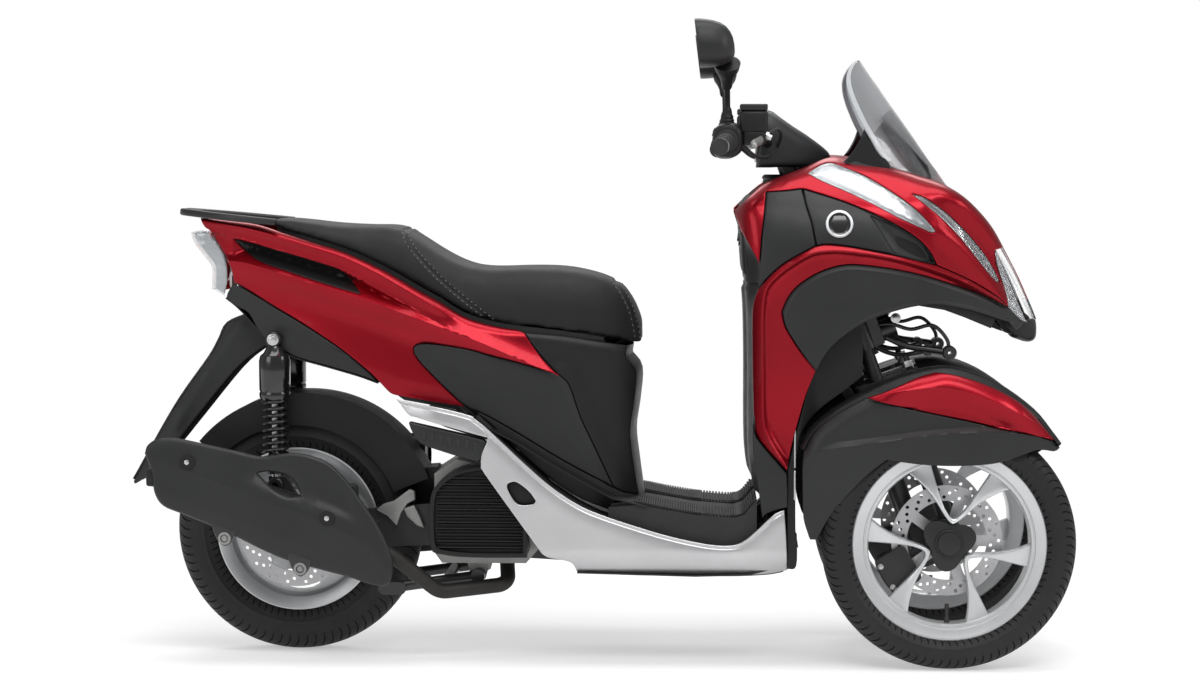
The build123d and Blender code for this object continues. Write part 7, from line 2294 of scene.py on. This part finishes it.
for p, out in with_normals(
        curve_points([(x, z, 0) for x, z in liner_curve[:-1] + [(492, 543)]], 4)):
    liner_rows.append([])
    for share in shares(37):
        sink = (33.0 + 15.0 * ease(430, 520, p.y)) * ease(1.0, 0.86, abs(share))
        half = 188.0 - 10.0 * ease(404, 450, p.x)
        liner_rows[-1].append(mm(p.x + out.x * sink, half * share, p.y + out.y * sink))
liner_back = sheet("arch_liner", liner_rows, FORWARDS)
for piece in (liner_side, liner_back):
    fit_out(piece, "chassis", "black_plastic", black_plastic)
strips = [plate("strip", [(398, low), (401.5, low), (401.5, high), (398, high)], -205.4, -202.0)
          for low, high in ((334, 392), (398, 480))]
strips += [copy_of(strip, "strip_left", mirror=True) for strip in strips]
edge_strips = join("liner_edge_strips", strips)
round_edges(edge_strips, 0.6, 2)
fit_out(edge_strips, "chassis", "bare_metal", bright_steel)
for side_name, side in sides:
    parts = []
    for line, wide in (([
            (556, 122, 664), (586, 128, 650), (624, 134, 634), (664, 140, 628), (704, 144, 622)],
            6.5), ([(552, 126, 672), (590, 136, 678), (630, 142, 668), (672, 146, 676),
            (700, 146, 650), (706, 144, 624)], 3.8),
            ([(548, 112, 640), (580, 104, 622), (612, 100, 614), (640, 104, 618), (664, 116, 624)],
            4.6)):
        parts.append(rod("link", curve_points([mm(x, side * y, z) for x, y, z in line], 6), wide,
                         12))
    parts.append(
        lathe("link_end", [(-15, 4), (-15, 12), (-12, 14), (-4, 14), (-3, 11), (3, 11), (4, 14),
                (12, 14), (15, 12), (15, 4)], mm(706, side * 144, 622), 36))
    parts.append(lathe("link_mid", [(-11, 3), (-11, 9), (-8, 11), (8, 11), (11, 9), (11, 3)],
                       mm(664, side * 132, 626), 32))
    links = join(side_name + "_upper_links", parts)
    smooth(links, 42)
    fit_out(links, side_name + "_fork", "frame_paint", frame_paint)
for number, (x, y, z) in enumerate(((500, 143, 640), (556, 143, 704), (600, 143, 690))):
    for side_name, side in sides:
        stud = bolt(side_name + "_linkage_bolt_" + str(number), mm(x, side * (y - 2), z),
                    (0, side, 0), 6.5, 5, 10)
        fit_out(stud, "chassis", "bare_metal", bright_steel)
print("lower parts done")

# %% [markdown]
# The left of the engine unit is one long drive case. Its cover bulges over the two pulleys, has
# ribs between them and bolts round its flange; the air cleaner sits above as a ribbed black box.
# Both are sheets laid over the solid case, so the relief is written as rings round the two shafts.
# %% Drive case cover and air cleaner
crank = (-217.5, 291.4)
hub = (-607.5, 251.4)


def case_hull(crank_radius, hub_radius):
    """The outline round both shafts."""
    lean = math.atan2(crank[1] - hub[1], crank[0] - hub[0])
    span = math.hypot(crank[0] - hub[0], crank[1] - hub[1])
    swing = math.acos((hub_radius - crank_radius) / span)
    front = [(crank[0] + crank_radius * cos(lean - swing + 2 * swing * k / 40),
              crank[1] + crank_radius * sin(lean - swing + 2 * swing * k / 40)) for k in range(41)]
    back = [(hub[0] + hub_radius * cos(lean + swing + (2 * pi - 2 * swing) * k / 40),
             hub[1] + hub_radius * sin(lean + swing + (2 * pi - 2 * swing) * k / 40))
            for k in range(41)]
    return front + back


def case_relief(x, z, distance):
    """Rings over the shafts and ribs between them."""
    from_crank, from_hub = math.hypot(
        x - crank[0], z - crank[1]), math.hypot(x - hub[0], z - hub[1])
    way = Vector((crank[0] - hub[0], crank[1] - hub[1])).normalized()
    across = way.x * (z - hub[1]) - way.y * (x - hub[0])
    dome = 2.0 + 7.0 * ease(8.0, 22.0, distance)
    dome += (5.0 * (1 - ease(58, 64, from_crank)) - 3.0 * (1 - ease(42, 46, from_crank))
             + 3.0 * (1 - ease(15, 18, from_crank)))
    dome += (4.5 * (1 - ease(42, 48, from_hub)) - 3.0 * (1 - ease(27, 30, from_hub))
             + 2.0 * (1 - ease(10, 12, from_hub)))
    rib_room = ease(-296, -318, x) * ease(-546, -524, x) * (1 - ease(40, 48, abs(across)))
    return dome + 2.4 * rib_room * ease(0.2, 0.8, 0.5 + 0.5 * cos(2 * pi * across / 19.0))


case_right = panel("case_pattern", case_hull(87.0, 75.0), lambda x, z: 129.0, (), 2.4, 5.0,
                   bands=(8.0, 11.0, 15.0, 19.0, 22.0), relief=case_relief, both=False, gap=0.0,
                   spacing=4.0)
case_cover = copy_of(case_right, "drive_case_cover", mirror=True)
bpy.data.objects.remove(case_right)
fit_out(case_cover, "chassis", "dark_paint", dark_paint)
flange = evenly(case_hull(81.0, 69.0), 1.0)
case_bolts = [bolt("case_bolt", mm(x, 130.5, z), LEFT, 5.0, 4.0, 7.5) for x, z in flange[20::98]]
case_screws = join("drive_case_bolts", case_bolts)
fit_out(case_screws, "chassis", "bare_metal", bright_steel)
box_outline = smooth_outline([
    (-541, 330), (-541, 330), (-450, 334), (-354, 344), (-354, 344), (-351, 390), (-356, 431),
    (-356, 431), (-440, 431), (-516, 424), (-516, 424), (-534, 380)], 4)


def box_relief(x, z, distance):
    """A soft dome with upright ribs."""
    rib = ease(0.3, 0.7, 0.5 + 0.5 * cos(2 * pi * x / 21.0)) * ease(14.0, 20.0, distance)
    return 2.0 + 8.0 * ease(0.0, 14.0, distance) + 2.0 * rib


box_right = panel("box_pattern", box_outline, lambda x, z: 139.0, (), 2.4, 4.0,
                  bands=(4.0, 8.0, 12.0, 16.0, 20.0), relief=box_relief, both=False, gap=0.0,
                  rim=2.0, spacing=4.0)
box_cover = copy_of(box_right, "air_cleaner_cover", mirror=True)
bpy.data.objects.remove(box_right)
fit_out(box_cover, "chassis", "black_plastic", black_plastic)
print("drive case", len(case_cover.data.polygons), "faces,", len(case_bolts), "bolts")

# %% [markdown]
# A two-piston brake caliper straddles each front disc behind the fork leg. Its casting has rounded
# shoulders, a bridge with two bolts, piston caps and a bleed nipple.
# %% Front calipers
for side_name, side in sides:
    body = side_name + "_fork"
    turn = radians(211)
    out, along = Vector((cos(turn), 0, sin(turn))), Vector((-sin(turn), 0, cos(turn)))
    disc_low, disc_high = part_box(side_name + "_front_disc")
    disc_y = (disc_low[1] + disc_high[1]) / 2 / MM
    middle = Vector((front_axle.x, 0.0, front_axle.z)) / MM

    def at(across, round_way, depth):
        """A place on the caliper, from the axle outwards, along its arc and off the disc."""
        p = middle + out * across + along * round_way
        return mm(p.x, disc_y + side * depth, p.z)

    shape = smooth_outline([(80, -37), (80, -37), (100, -40), (130, -41), (146, -30), (149, 0),
                            (146, 30), (130, 41), (100, 40), (80, 37), (80, 37), (88, 0)], 3)
    casting_rings = [ring_of([at(a, b, depth) for a, b in shape]) for depth in (-26, -13)]
    casting = bridge("casting", casting_rings)
    round_edges(casting, 4.0, 3)
    caps = []
    for b in (-19, 19):
        caps.append(
            bridge("cap", [ring_of([at(112 + r * cos(t), b + r * sin(t), d) for t in turns(28)])
                    for r, d in ((15, -24), (15, -29), (12, -31.5), (11, -29.5), (5, -29.5))]))
    nipple = bridge(
        "nipple", [ring_of([at(138 + r * cos(t), 30 + r * sin(t), d) for t in turns(12)])
            for r, d in ((4, -25), (4, -33), (2.6, -34), (2.6, -40))])
    outer_shape = smooth_outline([(126, -36), (126, -36), (140, -34), (147, -22), (149, 0),
                                  (147, 22), (140, 34), (126, 36), (126, 36)], 3)
    shoulder = bridge(
        "shoulder", [ring_of([at(a, b, depth) for a, b in outer_shape]) for depth in (-14, 16)])
    round_edges(shoulder, 3.0, 3)
    screws = [bolt("screw", at(139, b, 17.0), (0, side, 0), 4.6, 3.0, 6.0) for b in (-24, 24)]
    for piece in (casting, shoulder, nipple, *caps):
        smooth(piece, 35)
    caliper = join(side_name + "_caliper_casting", [casting, shoulder, nipple, *caps])
    fit_out(caliper, body, "dark_paint", dark_paint)
    heads = join(side_name + "_caliper_bolts", screws)
    fit_out(heads, body, "bare_metal", bright_steel)
print("calipers done")
# %% [markdown]
# ## Seat
# The seat is a stepped cushion: a low rider's place, a step, and a thin passenger place that runs
# out under the grab rail. It is lofted from cross sections whose top edge is well rounded, then
# blown up slightly by a cloth simulation, as foam fills its cover. The seams come after that.
# %% Cushion form
seat_crest = line_through([(-662, 880), (-640, 882.5), (-600, 880), (-540, 873), (-500, 870),
                           (-450, 868), (-415, 868), (-390, 864), (-370, 853), (-345, 837),
                           (-310, 815), (-275, 797), (-240, 786), (-200, 783), (-120, 785),
                           (-60, 783), (-10, 774), (30, 761), (58, 741), (78, 714), (92, 680),
                           (99, 645)])
seat_half = line_through([(-662, 84), (-620, 104), (-540, 123), (-440, 133), (-330, 137),
                          (-240, 140), (-140, 143), (-60, 138), (0, 124), (45, 104), (75, 82),
                          (99, 58)])


def seat_floor(x):
    """Height of the seat's lower lip above the body."""
    return (max(seat_edge(x) + 5.0, 633.0 + 0.05 * max(0.0, 60.0 - x)) if x > -600 else seat_edge(x)
            + 3.0)


seat_rings = []
for x in [-661, -652, -640] + list(range(-620, 40, 20)) + [45, 58, 70, 80, 88, 94, 98]:
    low, high, half = seat_floor(x), seat_crest(x), seat_half(x)
    tall = max(high - low, 3.0)
    soft = min(1.0, tall / 60.0)
    right = [(0, low + 0.12 * tall), (0.5 * half, low + 0.12 * tall),
             (half - 16, low + 0.08 * tall), (half - 6, low), (half - 0.5, low + 0.05 * tall),
             (half + 1.5, low + 0.16 * tall), (half, low + 0.34 * tall),
             (half - 5, low + 0.56 * tall), (half - 13, low + 0.75 * tall),
             (half - 26 * soft - 4, low + 0.9 * tall), (half - 48, low + 0.975 * tall),
             (0.36 * half, high), (0, high - 0.8)]
    ring = right + [(-y, z) for y, z in right[-2:0:-1]]
    seat_rings.append(
        ring_of([mm(x, -p.x, p.y) for p in curve_points([(y, z, 0.0) for y, z in ring], 2,
                closed=True)]))
seat = bridge("seat_cushion_cover", seat_rings)
edit(seat, (bpy.ops.mesh.quads_convert_to_tris, {}))
apply_modifier(seat, "REMESH", mode="VOXEL", voxel_size=0.006)
most_swell = 0.004
before = [vertex.co.copy() for vertex in seat.data.vertices]
only(seat)
bpy.ops.object.modifier_add(type="CLOTH")
cloth = seat.modifiers[-1]
cloth.settings.quality = 3
cloth.settings.use_pressure = True
cloth.settings.uniform_pressure_force = 4.0
cloth.settings.effector_weights.gravity = 0.0
for number in range(1, 21):
    scene.frame_set(number)
swollen = seat.evaluated_get(bpy.context.evaluated_depsgraph_get())
after = [vertex.co.copy() for vertex in swollen.data.vertices]
seat.modifiers.remove(cloth)
scene.frame_set(1)
for vertex, a, b in zip(seat.data.vertices, before, after):
    step = b - a
    vertex.co = a + step * min(1.0, most_swell / max(step.length, 1e-6))
apply_modifier(seat, "SMOOTH", factor=0.5, iterations=6)
apply_modifier(seat, "SUBSURF", levels=1, render_levels=1)
print("seat", len(seat.data.polygons), "faces, simulated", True)

# %% [markdown]
# A rubber lip stands on the body under the seat's edge, so no light shows through between the two.
# %% Seal under the seat
seal_rings = []
for x in range(-640, 21, 10):
    low, high = (seat_edge(x) - 14.0, seat_floor(x)
                 + min(2.5, 0.02 * (seat_crest(x) - seat_floor(x))))
    outer = seat_half(x) - 12.0
    seal_rings.append([mm(x, -outer, low), mm(x, -outer, high), mm(x, 2.5 - outer, high),
                       mm(x, 2.5 - outer, low)])
seal = lofted("seat_seal", seal_rings)
seal = join("seat_seal", [seal, copy_of(seal, "seat_seal_left", mirror=True)])
fit_out(seal, "chassis", "rubber", soft_rubber)

# %% [markdown]
# Two seams cross the seat: one down the step between the two places, one round the nose. Each is a
# groove pressed into the cover with a row of grey stitches on either side.
# %% Seams and stitches
step_seam = run([(-384, 885), (-383, 866), (-370, 838), (-348, 810), (-320, 780), (-290, 752),
                 (-250, 720), (-215, 693), (-178, 664), (-150, 645)])
nose_seam = run([(30, 780), (42, 757), (58, 734), (74, 700), (83, 665), (87, 640), (88, 625)])
seam_places = evenly(step_seam, 0.5, False) + evenly(nose_seam, 0.5, False)
seam_tree = KDTree(len(seam_places))
for number, (x, z) in enumerate(seam_places):
    seam_tree.insert((x, z, 0.0), number)
seam_tree.balance()
groove_depth, bead_height = 0.0022, 0.0007
for vertex in seat.data.vertices:
    p = (vertex.co.x / MM, vertex.co.z / MM)
    near = seam_tree.find((p[0], p[1], 0.0))[2]
    if near < 9.0 and p[1] > seat_floor(p[0]) + 6.0:
        vertex.co -= vertex.normal * groove_depth * (1.0 - ease(0.0, 4.5, near))
        vertex.co += vertex.normal * bead_height * (1.0 - ease(0.0, 4.0, abs(near - 6.0)))
smooth(seat, 60)
fit_out(seat, "seat", "seat_cover", seat_cloth, "seat_cushion")


def on_seat(p, way):
    """Where a ray meets the seat, with the surface's direction there."""
    hit, place, normal, face = seat.ray_cast(p, way)
    return (place, normal) if hit else None


def stitch_row(seam, offset):
    """Places along a seam line, up one side and over the top, at a distance beside it."""
    line = rows_beside(evenly(seam, 2.0, False), (offset,))[0]
    places = []
    for x, z in line:
        got = on_seat(mm(x, -300, z), Vector((0, 1, 0)))
        if got and z > seat_floor(x) + 5.0 and abs(got[0].y) > 0.03:
            places.append(got)
    rim = min(places, key=lambda got: abs(got[0].y)) if places else None
    places = places[::-1] if places and places[0] is rim else places
    across = [got for got in (on_seat(mm(rim[0].x / MM, y, 1200), Vector((0, 0, -1)))
                              for y in range(int(rim[0].y / MM) + 2, 1, 2)) if got]
    half_row = places + across
    return (half_row + [(Vector((a.x, -a.y, a.z)), Vector((n.x, -n.y, n.z)))
                        for a, n in half_row[::-1]])


one_stitch = rod("one_stitch", [mm(0, -0.25, -2.0), mm(0, 0.25, -1.2), mm(0, 0.3, 1.2),
                                mm(0, -0.25, 2.0)], [0.3, 0.62, 0.62, 0.3], 6)
stitches = []
stitch_gap, stitch_length = 0.0055, 0.0038
for seam in (step_seam, nose_seam):
    for offset in (-5.0, 5.0):
        row = stitch_row(seam, offset)
        walked, last = 0.0, row[0][0]
        start = None
        for place, normal in row:
            walked += (place - last).length
            last = place
            if start is None and walked > stitch_gap:
                start = (place, normal)
                walked = 0.0
            elif start is not None and walked > stitch_length:
                middle = (start[0] + place) / 2 + normal * 0.0003
                across = (place - start[0]).normalized().cross(normal).normalized()
                turn = Matrix((
                    across, normal, (place - start[0]).normalized())).transposed().to_4x4()
                one = copy_of(one_stitch, "stitch")
                one.data.transform(Matrix.Translation(middle) @ turn)
                stitches.append(one)
                start = None
                walked = 0.0
bpy.data.objects.remove(one_stitch)
stitching = join("seat_stitching", stitches)
smooth(stitching, 60)
fit_out(stitching, "seat", "seat_cover", seat_thread)
print("stitches", len(stitches))
# %% [markdown]
# ## Studio
# The scooter stands on a pale floor, lit by large soft lamps, so paint shows long gentle
# highlights and the floor takes a soft shadow. The floor and the world show white to the camera
# and to reflections by a glow of their own, and stay a plain level for lighting. Near the scooter
# the floor keeps enough of its own shade for the shadow to show.
# %% Floor, light and world
def flat_light(name, place, aim, size, power, size_y=None):
    """A rectangular soft lamp that faces a point."""
    bpy.ops.object.light_add(type="AREA", location=place)
    lamp = bpy.context.object
    lamp.name = name
    lamp.data.shape = "RECTANGLE"
    lamp.data.size = size
    lamp.data.size_y = size_y or size
    lamp.data.energy = power
    direction = Vector(aim) - Vector(place)
    lamp.rotation_euler = direction.to_track_quat("-Z", "Y").to_euler()
    return lamp


bpy.ops.object.select_all(action="DESELECT")
bpy.ops.mesh.primitive_plane_add(size=60.0, location=(0.0, 0.0, 0.0))
floor = bpy.context.object
floor.name = "studio_floor"
floor_look = bpy.data.materials.new("studio_floor")
floor_look.use_nodes = True
floor_tree = floor_look.node_tree
floor_shader = floor_tree.nodes["Principled BSDF"]
floor_shader.inputs["Roughness"].default_value = 0.75
floor_shader.inputs["Specular IOR Level"].default_value = 0.1
floor_place = floor_tree.nodes.new("ShaderNodeTexCoord").outputs["Object"]
floor_rays = floor_tree.nodes.new("ShaderNodeLightPath")
shown = math_node(floor_tree, "MAXIMUM", floor_rays.outputs["Is Camera Ray"],
                  floor_rays.outputs["Is Glossy Ray"])
shown = math_node(floor_tree, "MAXIMUM", shown, floor_rays.outputs["Is Transmission Ray"])
reach = floor_tree.nodes.new("ShaderNodeVectorMath")
reach.operation = "LENGTH"
floor_tree.links.new(floor_place, reach.inputs[0])
far_out = map_range(floor_tree, reach.outputs["Value"], 1.0, 2.1, 0.0, 1.0)
ground = blend_colour(floor_tree, math_node(floor_tree, "MULTIPLY", far_out, shown),
                      (0.66, 0.66, 0.66), (0, 0, 0))
floor_tree.links.new(ground, floor_shader.inputs["Base Color"])
glow = blend_colour(floor_tree, far_out, (0.42, 0.42, 0.42), (1.0, 1.0, 1.0))
floor_tree.links.new(glow, floor_shader.inputs["Emission Color"])
floor_tree.links.new(shown, floor_shader.inputs["Emission Strength"])
floor.data.materials.append(floor_look)

world = bpy.data.worlds.new("studio")
world.use_nodes = True
scene.world = world
world_tree = world.node_tree
backdrop = world_tree.nodes["Background"]
paths = world_tree.nodes.new("ShaderNodeLightPath")
seen = math_node(world_tree, "MAXIMUM", paths.outputs["Is Camera Ray"],
                 paths.outputs["Is Transmission Ray"])
tint = blend_colour(world_tree, seen, (0.78, 0.78, 0.78), (1.0, 1.0, 1.0))
world_tree.links.new(tint, backdrop.inputs["Color"])
level = map_range(world_tree, seen, 0.0, 1.0, 0.42, 1.0)
world_tree.links.new(level, backdrop.inputs["Strength"])
flat_light("key", (1.2, -4.4, 5.4), (0.0, 0.0, 0.4), 4.2, 175, 2.2)
flat_light("fill", (-4.2, -4.4, 2.6), (0.0, 0.0, 0.5), 3.2, 60, 2.4)
flat_light("rim", (0.0, 4.5, 4.6), (0.0, 0.0, 0.5), 5.0, 110, 2.0)
flat_light("overhead", (0.1, -0.5, 4.4), (0.0, 0.1, 0.6), 4.6, 95, 1.8)
flat_light("front", (5.0, -1.6, 3.0), (0.3, 0.0, 0.5), 2.6, 60, 2.2)

# %% [markdown]
# The camera stands well back at axle-to-seat height, a touch above the middle, and looks almost
# square at the right side, slightly down and slightly from the front. A long lens keeps the wheels
# round.
# %% Camera
bpy.ops.object.camera_add(location=(0.2188, -5.564, 0.9788))
camera = bpy.context.object
camera.name = "side_camera"
camera.data.sensor_width = 36.0
camera.data.lens = 81.94
aim_yaw, aim_pitch = -0.0378, 0.0605
aim = Vector((sin(aim_yaw) * cos(aim_pitch), cos(aim_yaw) * cos(aim_pitch), -sin(aim_pitch)))
camera.rotation_euler = aim.to_track_quat("-Z", "Y").to_euler()
scene.camera = camera
print("camera aims along", tuple(round(v, 3) for v in aim))

# %% [markdown]
# The last step clears the selection and updates the scene.
# %% Final update
bpy.ops.object.select_all(action="DESELECT")
bpy.context.view_layer.update()
